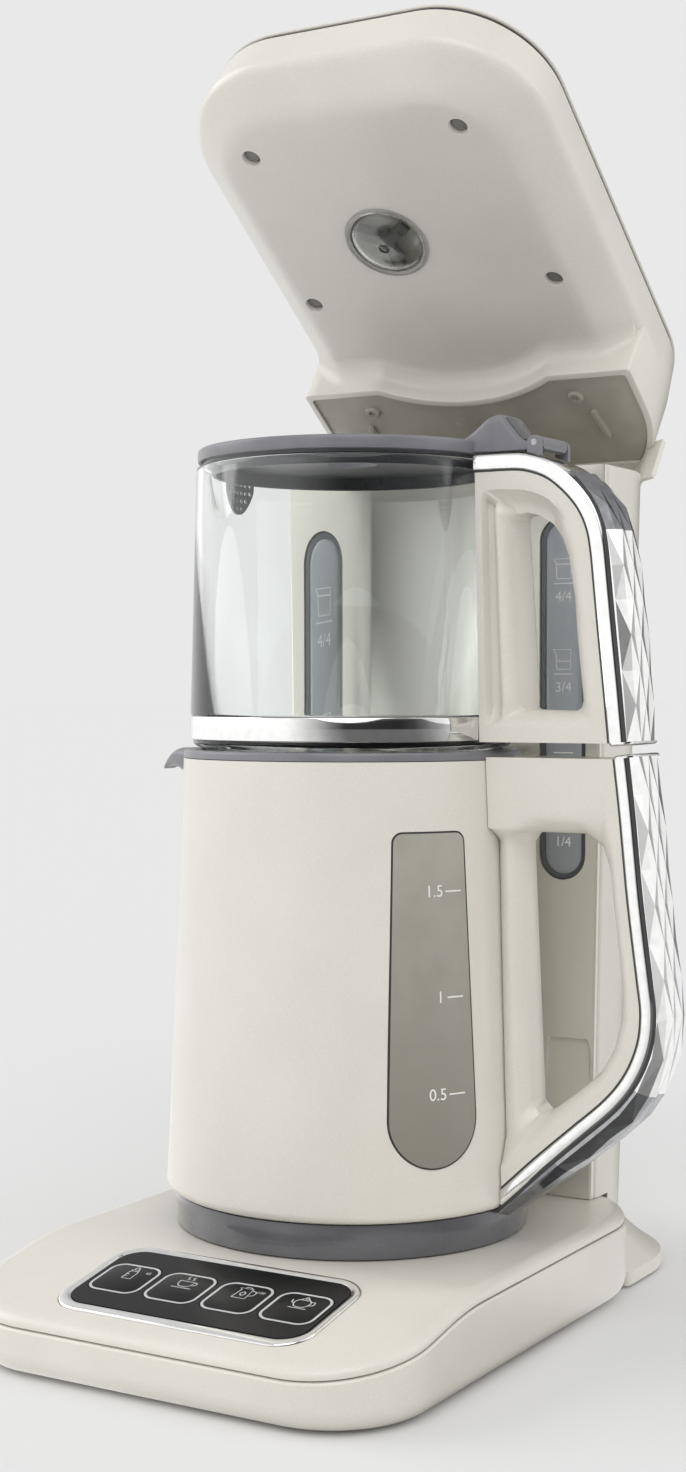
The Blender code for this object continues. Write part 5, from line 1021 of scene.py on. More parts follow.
@dataclass
class Tower:
    """The upright water tower behind the kettle, hollowed round the kettle's axis."""

    front: float = 0.072
    half_low: float = 0.0722
    half_top: float = 0.0778
    rear_low: float = 0.1390
    rear_top: float = 0.1478
    rear_radius: float = 0.050
    low: float = 0.0355
    top: float = 0.3382
    cove: float = 0.0795
    cover: float = 0.0025
    seam: float = 0.0006
    wall: float = 0.0025
    flare_half: float = 0.0880
    flare_rear: float = 0.1490
    flare_height: float = 0.026
    flare_lip: float = 0.007
    notch_y: float = 0.1160
    notch_z: float = 0.3200
    window_x: float = 0.0583
    window_half: float = 0.0105
    window_low: float = 0.1674
    window_top: float = 0.3178
    mark_size: float = 0.0058
    mark_lift: float = 0.00004
    window_sink: float = 0.0010
    window_rim: float = 0.0021
    recess_low: float = 0.0745
    recess_top: float = 0.1020
    recess_half: float = 0.0105
    recess_depth: float = 0.0019

    def share(self, z: float) -> float:
        """How far up the tower a height lies."""
        return (z - self.low) / (self.top - self.low)

    def half(self, z: float) -> float:
        """Half the tower's width at a height."""
        return mix(self.half_low, self.half_top, self.share(z))

    def outline(self, z: float, inset: float, front: float, flare: float = 0.0) -> list[Point3]:
        """Section of the tower's shell at a height.

        Args:
            z: The height.
            inset: How far it is drawn in.
            front: Its front edge.
            flare: Share of the spread at the foot.

        Returns:
            The section's ring.
        """
        half = mix(self.half(z), self.flare_half, flare) - inset
        rear = mix(mix(self.rear_low, self.rear_top, self.share(z)), self.flare_rear, flare) - inset
        return level(rounded(half, front, rear, self.cover, self.rear_radius - inset, 24), z)

    def build(self) -> None:
        """Build the shell, the front cover, the level windows and finish what is inside."""
        self.build_shell()
        self.build_front()
        for side, label in SIDES:
            self.build_window(side, label)
        keep(Finish.TANK, "water_tank")
        keep(Finish.INNER, "tower_top_plate")
        keep(Finish.STEEL, "hinge_pin_left", "hinge_pin_right")
        keep(Finish.SKIRT, "water_pump")
        keep(Finish.HOSE, "riser_hose")
        keep(Finish.BOARD, "power_board")
        keep(Finish.RUBBER, "cord_gland")

    def build_shell(self) -> None:
        """Build the rear shell with its flared foot and the notch that the head turns in."""
        front = self.front + self.cover + self.seam
        base = Base()
        foot = base.bottom
        rings = [self.outline(foot, 0.0012, front, 1.0),
                 self.outline(foot + 0.0005, 0.0004, front, 1.0),
                 self.outline(foot + 0.0014, 0.0, front, 1.0),
                 self.outline(self.flare_lip, 0.0, front, 0.97)]
        for i in range(1, 11):
            rise = i / 10
            z = mix(self.flare_lip, self.flare_height, rise)
            rings.append(self.outline(z, 0.0, front, 0.97 * (1 - rise) ** 1.65))
        rings += [self.outline(self.top - 0.0006, 0.0, front),
                  self.outline(self.top, 0.0006, front)]
        work = skin(rings)
        hollow = skin([self.outline(z, self.wall, front - 0.002)
                       for z in (foot + self.wall, self.top + 0.002)])
        space = prism(rounded(base.half + 0.0003, base.front, base.rear + 0.0003, base.front_radius,
                              base.rear_radius + 0.0003), -0.002, base.plateau + 0.0003)
        notch = block(0.1, self.notch_y, 0.3, self.notch_z, self.top + 0.002)
        shell = carve(as_mesh(work), [as_mesh(hollow), as_mesh(space), notch])
        publish("tower_body", shell, Finish.SHELL, "base", ["tower_shell"])

    def cover_ring(self, z: float) -> list[Point3]:
        """Section of the front cover at a height."""
        half = self.half(z) - self.seam
        rear = self.front + self.cover
        inside = math.asin(self.front / self.cove)
        outside = math.asin(rear / (self.cove + self.cover))
        soft = 0.0011
        corner = [(soft - half - soft * math.cos(t), self.front + soft - soft * math.sin(t))
                  for t in (0.0, 0.4, 0.8, 1.2, QUARTER)]
        mirrored = [(-x, y) for x, y in reversed(corner)]
        points = [(half, rear), *arc((0.0, 0.0), self.cove + self.cover, outside, math.pi - outside,
                                     48), (-half, rear), *corner,
                  *arc((0.0, 0.0), self.cove, math.pi - inside, inside, 48), *mirrored]
        return level(points, z)

    def build_front(self) -> None:
        """Build the front cover with the slots for the windows and the moulded finger recesses."""
        work = skin([self.cover_ring(z) for z in (self.low + 0.0003, self.top)])
        tools = []
        for side in (-1, 1):
            slot = upright(prism(stadium(self.window_half, self.window_low, self.window_top),
                                 -0.006, 0.006), self.front)
            bmesh.ops.translate(slot, verts=slot.verts, vec=(side * self.window_x, 0.0, 0.0))
            tools.append(as_mesh(slot))
            tools.append(self.recess_tool(side))
        publish("tower_face", carve(as_mesh(work), tools), Finish.FACE, "base", ["tower_front"])

    def recess_tool(self, side: int) -> Mesh:
        """Solid that hollows the cover low down: deep under its upper lip, running out below."""
        rings = []
        span = self.recess_top - self.recess_low
        for share, depth in ((0.0, 0.02), (0.12, 0.10), (0.35, 0.35), (0.60, 0.68), (0.80, 0.92),
                             (0.90, 1.0), (0.96, 0.92), (1.0, 0.60)):
            z = self.recess_low + span * share
            half = self.recess_half * (1.0 if share < 0.85 else 1.0 - 0.9 * (share - 0.85))
            rings.append(level(rounded(half, self.front - 0.003, self.front + self.recess_depth
                                       * depth, 0.0004, min(0.0015, self.recess_depth * depth), 6),
                               z))
        work = skin(rings)
        bmesh.ops.translate(work, verts=work.verts, vec=(side * (self.window_x + 0.0025), 0.0, 0.0))
        return as_mesh(work)

    def build_window(self, side: int, label: str) -> None:
        """Build one level window: a rim painted dark with the shade along the pane's thick edge, a
        paler face and its marks.
        """
        place = STAND @ Matrix.Translation((side * self.window_x, 0.0, 0.0))
        slack = 0.0002
        sunk = self.front + self.window_sink

        def outline(inset: float) -> list[Point2]:
            return stadium(self.window_half - slack - inset, self.window_low + slack + inset,
                           self.window_top - slack - inset)

        inner = self.window_rim
        work = skin((level(outline(0.0), -0.004), level(outline(0.0), -0.0003),
                     level(outline(0.0003), 0.0), level(outline(inner), -0.0003),
                     level(outline(inner), -0.004)), around=True)
        publish(f"level_window_{label}_rim", upright(work, sunk), Finish.TOWER_PANE_EDGE, "base",
                [f"level_window_{label}"], place=place)
        pane = skin((level(outline(inner + 0.00005), -0.004),
                     level(outline(inner + 0.00005), -0.0006),
                     level(outline(inner + 0.0009), -0.0002), level(outline(inner + 0.002), 0.0)))
        publish(f"level_window_{label}_pane", upright(pane, sunk), Finish.TOWER_PANE, "base",
                place=place)
        face = place @ Matrix.Translation((0.0, sunk, 0.0)) @ Matrix.Rotation(QUARTER, 4, "X")
        for number, z in (("4/4", 0.2845), ("3/4", 0.2470), ("2/4", 0.2145), ("1/4", 0.1830)):
            mark = number.replace("/", "_of_")
            lift = Matrix.Translation((0.0, z, self.mark_lift))
            publish(f"level_{label}_{mark}", lettering(number, self.mark_size), Finish.WHITE_INK,
                    "base", place=face @ lift)
            line = line_drawing([[(-4.4, 0.0), (4.4, 0.0)]], MILLIMETRE, 0.00025)
            publish(f"level_{label}_{mark}_line", line, Finish.WHITE_INK, "base", place=face @ lift
                    @ Matrix.Translation((0.0, 0.0055, 0.0)))
        for number, z, water in (("4_of_4", 0.2845, 6.0), ("3_of_4", 0.2470, 3.4)):
            jug = [[(-3.0, 0.0), (-3.4, 6.6), (-4.6, 8.2), (3.4, 8.2), (3.2, 0.0), (-3.0, 0.0)],
                   [(-3.2, water), (3.3, water)]]
            publish(f"level_{label}_{number}_jug", line_drawing(jug, MILLIMETRE, 0.00022),
                    Finish.WHITE_INK, "base", place=face @ Matrix.Translation(
                        (0.0, z + 0.0075, self.mark_lift)))


# Brewing head

@dataclass
class Head:
    """The raised brewing head, laid out closed: soft belly, rear block and crowned cover."""

    half: float = 0.0797
    front: float = -0.0877
    rear: float = 0.1466
    front_radius: float = 0.047
    rear_radius: float = 0.052
    block_z: float = 0.3391
    plateau_z: float = 0.3515
    rim_z: float = 0.3631
    top_z: float = 0.3873
    draft: float = 0.0017
    chamfer: float = 0.0160
    chamfer_front: float = 0.0183
    plateau_radius: float = 0.0315
    block_front: float = 0.0699
    cove: float = 0.0810
    cover: float = 0.0022
    dome: float = 0.0030
    seam_height: float = 0.0014
    wall: float = 0.0026
    fillet: float = 0.0085
    skirt_y: float = 0.1180
    skirt_z: float = 0.3222
    plate_rear: float = 0.1262
    lug_x: float = 0.0190
    lug_width: float = 0.008
    lug_radius: float = 0.0042
    pin_radius: float = 0.0016
    nozzle: Point2 = (-0.0074, -0.0019)
    nozzle_radius: float = 0.0182
    screws: dict[str, Point2] = field(default_factory=lambda: {
        "front_left": (-0.0475, -0.0534), "front_right": (0.0475, -0.0534),
        "rear_left": (-0.0575, 0.0279), "rear_right": (0.0575, 0.0279)})

    def outline(self, inset: float) -> list[Point2]:
        """Outline of the whole head, drawn in by an inset along its walls."""
        return rounded(self.half - inset, self.front + inset, self.rear - inset, self.front_radius
                       - inset, self.rear_radius - inset, 24, 6)

    def wall_top(self) -> float:
        """Height of the walls' upper edge, under the seam and the cover."""
        return self.top_z - self.cover - self.seam_height - 0.0006

    def belly(self, inset: float) -> list[Point2]:
        """Outline of the belly: its front is drawn in more than its sides, and corners tighten."""
        share = inset / self.chamfer
        corner = mix(self.front_radius, self.plateau_radius, share)
        return rounded(self.half - inset, self.front + self.chamfer_front * share,
                       self.rear - inset, corner, self.rear_radius - inset, 24, 6)

    def profile(self) -> list[Point2]:
        """Inset and height from the plateau, round both soft edges, to the start of the walls."""
        slope = (self.rim_z - self.plateau_z) / self.chamfer
        points = [(self.chamfer + 0.010, self.plateau_z)]
        soft = 0.0042
        for t in (0.0, 0.2, 0.4, 0.6, 0.8, 1.0):
            reach = soft * ((1 - t) ** 2 - t ** 2)
            points.append((self.chamfer + reach, self.plateau_z + slope * soft * t * t))
        edge = 0.0030
        for t in (0.0, 0.25, 0.5, 0.75, 1.0):
            inset = edge * (1 - t) ** 2
            points.append((inset, self.rim_z - slope * edge * (1 - t) ** 2 + edge * 0.9 * t * t))
        return points

    def ceiling(self, x: float) -> float:
        """Height of the belly above a point near the block, by its distance from the side."""
        inset = self.half - abs(x)
        points = self.profile()
        for (far, low), (near, high) in zip(points, points[1:]):
            if inset >= near:
                return mix(low, high, min(max((far - inset) / max(far - near, WELD), 0.0), 1.0))
        return points[-1][1]

    def build(self) -> None:
        """Build the head's pieces."""
        self.build_body()
        self.build_block()
        self.build_fillet()
        self.build_top()
        self.build_nozzle()
        self.build_screws()
        keep(Finish.HOSE, "head_hose")

    def build_body(self) -> None:
        """Build the belly and the walls in one skin, with sockets for the nozzle and the screws."""
        rings = [level(self.belly(inset), z) for inset, z in self.profile()]
        rings.append(level(self.outline(self.draft - 0.0002), self.wall_top() - 0.0005))
        rings.append(level(self.outline(self.draft + 0.0003), self.wall_top()))
        work = skin(rings)
        tools = []
        z = self.plateau_z
        socket = turn(((0.0, z - 0.002), (0.0164, z - 0.002), (0.0164, z + 0.0010),
                       (0.0152, z + 0.0016), (0.0150, z + 0.0075), (0.0, z + 0.0075)), 96,
                      self.nozzle)
        tools.append(as_mesh(socket))
        for x, y in self.screws.values():
            dimple = turn(((0.0, z - 0.001), (0.0046, z - 0.001), (0.0036, z + 0.0007),
                           (0.0035, z + 0.0045), (0.0, z + 0.0045)), 40, (x, y))
            tools.append(as_mesh(dimple))
        publish("head_body", carve(as_mesh(work), tools), Finish.SHELL, "head", ["head_shell"])

    def block_outline(self, grow: float) -> list[Point2]:
        """Plan of the rear block: the head's outline behind a front wall with a hollow middle."""
        outer = [p for p in self.outline(-grow) if p[1] > self.block_front + 0.004]
        outer.sort(key=lambda p: math.atan2(p[1] - self.block_front, p[0]))
        half = self.half + grow
        reach = self.cove - grow
        front = self.block_front - grow
        edge_x = math.sqrt(reach ** 2 - front ** 2)
        start = math.atan2(front, edge_x)
        hollow = arc((0.0, 0.0), reach, math.pi - start, start, 48)
        soft = 0.0016
        left = [(-half, front + soft), (soft * 0.3 - half, front + soft * 0.3),
                (soft - half, front)]
        flat_left = between_points(left[-1], hollow[0], 8)
        flat_right = between_points(hollow[-1], (half - soft, front), 8)
        right = [(half - soft, front), (half - soft * 0.3, front + soft * 0.3),
                 (half, front + soft)]
        return outer + left + flat_left + hollow + flat_right + right

    def build_block(self) -> None:
        """Build the rear block, the skirt that hides the hinge, the dark plate and two lugs."""
        low = self.block_z
        work = skin((level(self.block_outline(-0.0014), low),
                     level(self.block_outline(-0.0004), low + 0.0004),
                     level(self.block_outline(0.0), low + 0.0014),
                     level(self.block_outline(0.0), self.rim_z + 0.0020),
                     level(self.block_outline(-0.0020), self.rim_z + 0.0040)))
        pocket = prism(self.block_outline(-self.wall - 0.0004), low - 0.004, low + 0.0048)
        behind = block(0.1, self.plate_rear, 0.2, low - 0.01, low + 0.01)
        hinge_room = block(0.034, self.plate_rear - 0.001, self.rear - self.wall, low - 0.004,
                           low + 0.012)
        body = carve(as_mesh(work), [carve(as_mesh(pocket), [behind]), hinge_room])
        publish("head_rear_block", body, Finish.SHELL, "head")
        plate = prism(self.block_outline(-self.wall - 0.0007), low + 0.0012, low + 0.0040)
        plate = carve(as_mesh(plate),
                      [block(0.1, self.plate_rear - 0.0003, 0.2, low - 0.01, low + 0.01)])
        publish("head_rear_cover_plate", plate, Finish.PLATE, "head", ["head_rear_plate"])
        self.build_skirt()
        self.build_bosses(low + 0.0012)
        for side, label in SIDES:
            self.build_lug(side, label)

    def build_skirt(self) -> None:
        """Build the wall that hangs round the rear of the head and covers the hinge."""
        path = [p for p in self.outline(self.wall / 2) if p[1] > self.skirt_y]
        path.sort(key=lambda p: math.atan2(p[1] - self.skirt_y + 0.001, p[0]))
        path = [(self.half - self.wall / 2, self.skirt_y), *path,
                (self.wall / 2 - self.half, self.skirt_y)]
        path = spaced(path, 90)
        thick = self.wall / 2
        high = self.block_z + 0.004
        section = ((-thick, self.skirt_z + 0.0006), (0.0006 - thick, self.skirt_z),
                   (thick - 0.0006, self.skirt_z), (thick, self.skirt_z + 0.0006), (thick, high),
                   (-thick, high))
        lines = [offset(path, side) for side, _ in section]
        work = skin([[(*lines[k][i], section[k][1]) for k in range(len(section))]
                     for i in range(len(path))])
        publish("head_skirt", work, Finish.SHELL, "head")

    def build_bosses(self, face: float) -> None:
        """Build what stands on the dark plate: screw bosses, ribs and a few ejector marks."""
        for side, label in SIDES:
            work = turn(((0.0, face + 0.001), (0.0034, face + 0.001), (0.0034, face - 0.0012),
                         (0.0028, face - 0.0018), (0.0016, face - 0.0018), (0.0014, face - 0.0006),
                         (0.0, face - 0.0006)), 32, (side * 0.0500, 0.0840))
            publish(f"plate_boss_{label}", work, Finish.PLATE, "head")
            rib = rounded_plate(rounded(0.0013, -0.0085, 0.0085, 0.0012, 0.0012, 5), 0.0, 0.0022,
                                0.0005)
            rib.transform(Matrix.Translation((side * 0.0560, 0.1010, face)) @ Matrix.Rotation(
                              math.pi, 4, "X") @ Matrix.Rotation(side * 0.12, 4, "Z"))
            publish(f"plate_rib_{label}", rib, Finish.PLATE, "head")
        for i, x in enumerate((-0.0120, -0.0020, 0.0160)):
            work = turn(((0.0, face + 0.0005), (0.0010, face + 0.0005), (0.0010, face - 0.0003),
                         (0.0, face - 0.0005)), 16, (x, 0.0960))
            publish(f"plate_ejector_mark_{i + 1}", work, Finish.PLATE, "head")

    def build_lug(self, side: int, label: str) -> None:
        """Build one hinge lug: an arm from the head's rear wall down to a bored knuckle."""
        profile = arc((SITE.hinge_y, SITE.hinge_z), self.lug_radius, math.pi, 2 * math.pi, 20)
        profile += [(self.rear - self.wall * 0.6, self.block_z + 0.006),
                    (SITE.hinge_y - self.lug_radius, self.block_z + 0.006)]
        arm = as_mesh(prism(profile, -self.lug_width / 2, self.lug_width / 2))
        bore = turn(((0.0, -0.01), (self.pin_radius, -0.01), (self.pin_radius, 0.01), (0.0, 0.01)),
                    32, (SITE.hinge_y, SITE.hinge_z))
        arm = carve(arm, [as_mesh(bore)])
        lay = Matrix(((0.0, 0.0, 1.0, side * self.lug_x), (1.0, 0.0, 0.0, 0.0),
                      (0.0, 1.0, 0.0, 0.0), (0.0, 0.0, 0.0, 1.0)))
        publish(f"hinge_lug_{label}", arm, Finish.INNER, "head", place=HEAD @ lay)

    def build_fillet(self) -> None:
        """Build the concave strip between the belly and the block's front wall."""
        edge_x = math.sqrt(self.cove ** 2 - self.block_front ** 2)
        start = math.atan2(self.block_front, edge_x)
        side = [(self.half - 0.0024, self.block_front), *between_points(
            (self.half - 0.0024, self.block_front), (edge_x, self.block_front), 18)]
        hollow = arc((0.0, 0.0), self.cove, start, math.pi - start, 64)
        path = side + hollow + [(-x, y) for x, y in reversed(side)]
        size = self.fillet
        section = [(0.0012, -0.0012), (0.0012, size)]
        section += [(-size + size * math.cos(t), size - size * math.sin(t))
                    for t in [QUARTER * k / 10 for k in range(11)]]
        section += [(-size, -0.0012)]
        rings = []
        for i, (x, y) in enumerate(path):
            before, after = path[max(i - 1, 0)], path[min(i + 1, len(path) - 1)]
            dx, dy = after[0] - before[0], after[1] - before[1]
            length = math.hypot(dx, dy)
            nx, ny = dy / length, -dx / length
            high = self.ceiling(x)
            rings.append([(x + nx * a, y + ny * a, high - b) for a, b in section])
        publish("head_fillet", skin(rings), Finish.SHELL, "head", crease=0.9)

    def build_top(self) -> None:
        """Build the dark seam and the crowned cover."""
        low = self.wall_top() + 0.0001
        work = skin((level(self.outline(self.draft + 0.0009), low),
                     level(self.outline(self.draft + 0.0009), low + self.seam_height + 0.0003)))
        publish("head_seam", work, Finish.SEAM, "head", ["head_seam_plate"])
        low += self.seam_height + 0.0004
        rings = [level(self.outline(self.draft + 0.0004), low),
                 level(self.outline(self.draft), low + 0.0003)]
        for i in range(1, 7):
            angle = QUARTER * i / 6
            rings.append(level(self.outline(self.draft + self.cover * (1 - math.cos(angle))),
                               low + 0.0003 + (self.cover - 0.0003) * math.sin(angle)))
        for share, rise in ((0.12, 0.28), (0.25, 0.53), (0.40, 0.76), (0.52, 0.90)):
            rings.append(level(self.outline(self.half * share), low + self.cover + self.dome
                               * rise))
        publish("head_lid", skin(rings), Finish.SHELL, "head", ["head_cover"])

    def build_nozzle(self) -> None:
        """Build the nozzle: a grey ring, a clear shallow dome and the bright floor behind it."""
        z = self.plateau_z
        outer = self.nozzle_radius
        work = turn(((outer - 0.0024, z + 0.0008), (outer, z + 0.0001), (outer, z - 0.0006),
                     (outer - 0.0005, z - 0.0012), (outer - 0.0013, z - 0.0014),
                     (outer - 0.0021, z - 0.0010), (outer - 0.0026, z - 0.0002)), 96, self.nozzle)
        publish("nozzle_ring", work, Finish.CLEAR, "head")
        inner = outer - 0.0027
        mouth = 0.0024
        steps = 10
        shell = [(mix(mouth, inner, math.sin(QUARTER * i / steps)), z + 0.0004 - 0.0044
                  * math.cos(QUARTER * i / steps)) for i in range(steps + 1)]
        back = [(r - 0.0007 * (r - mouth) / (inner - mouth), h + 0.0011) for r,
                h in reversed(shell)]
        publish("nozzle_window", turn(shell + back, 96, self.nozzle), Finish.CLEAR, "head",
                ["nozzle_dome"])
        work = turn(((0.0, z + 0.0062), (0.0040, z + 0.0062), (0.0120, z + 0.0056),
                     (0.0149, z + 0.0030), (0.0149, z + 0.0072), (0.0, z + 0.0072)), 64,
                    self.nozzle)
        publish("nozzle_floor", work, Finish.SHELL, "head")
        keep(Finish.SCREW, "nozzle_spreader")

    def build_screws(self) -> None:
        """Build the four plugs that close the screw sockets."""
        for name, (x, y) in self.screws.items():
            z = self.plateau_z + 0.0016
            work = turn(((0.0, z), (0.0009, z), (0.0026, z), (0.0032, z + 0.0003),
                         (0.0034, z + 0.0009), (0.0034, z + 0.0026), (0.0, z + 0.0026)), 40, (x, y))
            publish(f"screw_plug_{name}", work, Finish.SCREW, "head", [f"head_screw_{name}"])


# Kettle

@dataclass
class Kettle:
    """The lacquered kettle with its level window, grey rim and pouring beak."""

    low_radius: float = 0.0740
    top_radius: float = 0.0670
    low: float = 0.0497
    top: float = 0.2192
    wall: float = 0.0032
    edge: float = 0.0035
    foot_radius: float = 0.0698
    foot_wall: float = 0.0040
    foot_low: float = 0.0358
    step: float = 0.0012
    floor: float = 0.0560
    rim_height: float = 0.0034
    rim_inner: float = 0.0602
    rim_ledge: float = 0.0560
    ledge_z: float = 0.2210
    beak_reach: float = 0.0222
    beak_root: float = 0.0150
    beak_tip: float = 0.0038
    beak_depth: float = 0.0135
    beak_drop: float = 0.0078
    window_turn: float = math.radians(55.5)
    window_top: float = 0.1935
    window_low: float = 0.0688
    window_top_half: float = 0.0152
    window_low_half: float = 0.0186
    window_corner: float = 0.0042
    relief: float = 0.00030
    relief_top: float = 0.165
    diamonds: int = 12
    diamond_height: float = 0.072

    def radius(self, z: float) -> float:
        """Radius of the tapered shell at a height."""
        return mix(self.low_radius, self.top_radius, (z - self.low) / (self.top - self.low))

    def build(self) -> None:
        """Build the kettle's pieces."""
        self.build_foot()
        self.build_shell()
        self.build_window()
        self.build_marks()
        self.build_rim()
        keep(Finish.STEEL, "heater_plate", "heating_element")
        keep(Finish.SKIRT, "kettle_connector")

    def build_foot(self) -> None:
        """Build the grey foot ring."""
        ledge = self.foot_radius - self.foot_wall
        low, high = self.foot_low, self.low - 0.0004
        work = turn(((self.foot_radius - 0.0012, low), (self.foot_radius - 0.0003, low + 0.0004),
                     (self.foot_radius, low + 0.0014),
                     (self.foot_radius + self.step * 0.8, high - 0.0010),
                     (self.foot_radius + self.step * 0.7, high - 0.0003),
                     (self.foot_radius + 0.0002, high), (ledge - self.foot_wall, high),
                     (ledge - self.foot_wall, high - self.foot_wall),
                     (ledge, high - self.foot_wall), (ledge, low)), 160)
        publish("foot_ring", work, Finish.FOOT, "kettle", ["kettle_foot_ring"])

    def window_outline(self, shrink: float) -> list[Point2]:
        """Outline of the level window: rounded top corners and a half-round foot."""
        low_half, top_half = self.window_low_half - shrink, self.window_top_half - shrink
        corner = self.window_corner - shrink
        low, high = self.window_low + shrink, self.window_top - shrink
        return (arc((0.0, low + low_half), low_half, math.pi, 2 * math.pi, 30)
                + arc((top_half - corner, high - corner), corner, 0.0, QUARTER, 8)
                + arc((corner - top_half, high - corner), corner, QUARTER, math.pi, 8))

    def window_tool(self, shrink: float) -> Mesh:
        """Solid through the wall in the shape of the window."""
        work = prism(self.window_outline(shrink), self.top_radius / 2, self.low_radius + 0.002)
        work.transform(Matrix.Rotation(self.window_turn, 4, "Z") @ Matrix.Rotation(QUARTER, 4, "X"))
        return as_mesh(work)

    def pressed(self, vert: bmesh.types.BMVert) -> None:
        """Press the faint diamonds into a point of the shell's outside."""
        x, y, z = vert.co
        radius = math.hypot(x, y)
        if radius < self.radius(z) - self.wall / 2 or z > self.relief_top or z < self.low + 0.006:
            return
        across = (math.atan2(x, -y) / (2 * math.pi) * self.diamonds) % 1.0
        along = ((z - self.low) / self.diamond_height) % 1.0
        nearest = min(abs(across - a) * 2 + abs(along - b) * 2 for a, b in
                      ((0.0, 0.0), (1.0, 0.0), (0.0, 1.0), (1.0, 1.0), (0.5, 0.5)))
        fade = min(1.0, (self.relief_top - z) / 0.05)
        depth = self.relief * min(nearest, 1.0) * fade
        vert.co.x *= 1 - depth / radius
        vert.co.y *= 1 - depth / radius

    def build_shell(self) -> None:
        """Build the shell with its pressed diamonds and the slot for the window."""
        outer = [(self.foot_radius - self.step, self.low)]
        for out, up in quarter(6):
            z = self.low + self.edge * out
            outer.append((self.radius(z) - self.edge * up, z))
        count = 48
        start = self.low + self.edge
        outer += [(self.radius(mix(start, self.top, i / count)), mix(start, self.top, i / count))
                  for i in range(1, count + 1)]
        top_inner = self.top_radius - self.wall
        ledge = self.foot_radius - 2 * self.foot_wall
        inner = [(top_inner, self.top), (self.radius(self.floor) - self.wall, self.floor),
                 (ledge, self.floor), (ledge, self.low)]
        work = turn(outer + inner, 144)
        for vert in work.verts:
            self.pressed(vert)
        shell = carve(as_mesh(work), [self.window_tool(0.0)])
        publish("kettle_body", shell, Finish.SHELL, "kettle", ["kettle_shell"])

    def sleeve(self, proud: float, depth: float) -> Mesh:
        """A thin tapered sleeve that stands a little proud of the shell."""
        work = turn(((self.radius(self.floor) + proud, self.floor),
                     (self.top_radius + proud, self.top),
                     (self.top_radius + proud - depth, self.top),
                     (self.radius(self.floor) + proud - depth, self.floor)), 240)
        return as_mesh(work)

    def build_window(self) -> None:
        """Build the smoked pane and the dark seal round it."""
        pane = carve(self.sleeve(0.0002, self.wall), [self.window_tool(0.0007)], "INTERSECT")
        publish("kettle_window_pane", pane, Finish.KETTLE_PANE, "kettle", ["level_window_kettle"])
        seal = carve(self.sleeve(0.0001, self.wall * 0.8), [self.window_tool(0.00012)], "INTERSECT")
        seal = carve(seal, [self.window_tool(0.0007)])
        publish("kettle_window_seal", seal, Finish.SEAM, "kettle")

    def build_marks(self) -> None:
        """Print the level lines and their plain numbers on the window."""
        for number, z in (("1.5", 0.1712), ("1", 0.1320), ("0.5", 0.0962)):
            label = number.replace(".", "_")
            line = line_drawing([[(i, 0.0) for i in range(8)]], MILLIMETRE, 0.00028)
            self.wrap(line, math.radians(60.4), z)
            publish(f"kettle_level_{label}_line", line, Finish.WHITE_INK, "kettle")
            text = lettering(number, 0.0062)
            self.wrap(text, math.radians(56.6 if len(number) > 1 else 58.0), z)
            publish(f"kettle_level_{label}", text, Finish.WHITE_INK, "kettle")

    def wrap(self, mesh: Mesh, turned: float, height: float) -> None:
        """Lay a flat mesh on the window at an angle from the front and a height."""
        for vert in mesh.vertices:
            x, y, lift = vert.co
            z = height + y
            radius = self.radius(z) + 0.00026 + lift
            angle = turned + x / radius
            vert.co = (radius * math.sin(angle), -radius * math.cos(angle), z)

    def build_rim(self) -> None:
        """Build the grey rim with its ledge for the teapot and the pouring beak."""
        low, top = self.top + 0.0003, self.top + self.rim_height
        skirt = self.top_radius - self.wall - 0.0003
        soft = 0.0011
        outer = [(self.top_radius - soft * (1 - math.cos(t)), top - soft * (1 - math.sin(t)))
                 for t in (0.0, 0.4, 0.8, 1.2, QUARTER)]
        inner = [(self.rim_inner + soft * (1 - math.sin(t)), top - soft * (1 - math.cos(t)))
                 for t in (0.0, 0.5, 1.0, QUARTER)]
        work = turn([(self.rim_ledge, low - self.rim_height), (skirt, low - self.rim_height),
                     (skirt, low), (self.top_radius, low), *outer, *inner,
                     (self.rim_inner, self.ledge_z), (self.rim_ledge, self.ledge_z)], 160)
        publish("kettle_rim", carve(as_mesh(work), [self.beak(top)], "UNION"), Finish.RIM, "kettle",
                ["kettle_rim_ring"])

    def beak(self, top: float) -> Mesh:
        """The pouring lip: it grows out of the rim over the shell and turns down to its tip."""
        root, tip = self.rim_inner + 0.0012, self.top_radius + self.beak_reach
        rings = []
        for i in range(21):
            share = i / 20
            half = mix(self.beak_root, self.beak_tip, share ** 1.5)
            sag = max(0.0, (share - 0.45) / 0.55) ** 2.6
            depth = self.beak_depth * (1.0 - 0.9 * max(0.0, (share - 0.2) / 0.8) ** 1.3)
            high = top - 0.0003 - self.beak_drop * sag
            corner = min(half, depth) * 0.34
            x = -mix(root, tip, share)
            rings.append([(x, y, z) for y,
                          z in rounded(half, high - depth, high, corner, corner, 6)])
        work = skin(rings)
        low = self.low
        body = turn(((0.0, low), (self.radius(low) + 0.0003, low),
                     (self.top_radius + 0.0003, self.top + 0.0003), (0.0, self.top + 0.0003)), 192)
        return carve(as_mesh(work), [as_mesh(body)])


# Teapot

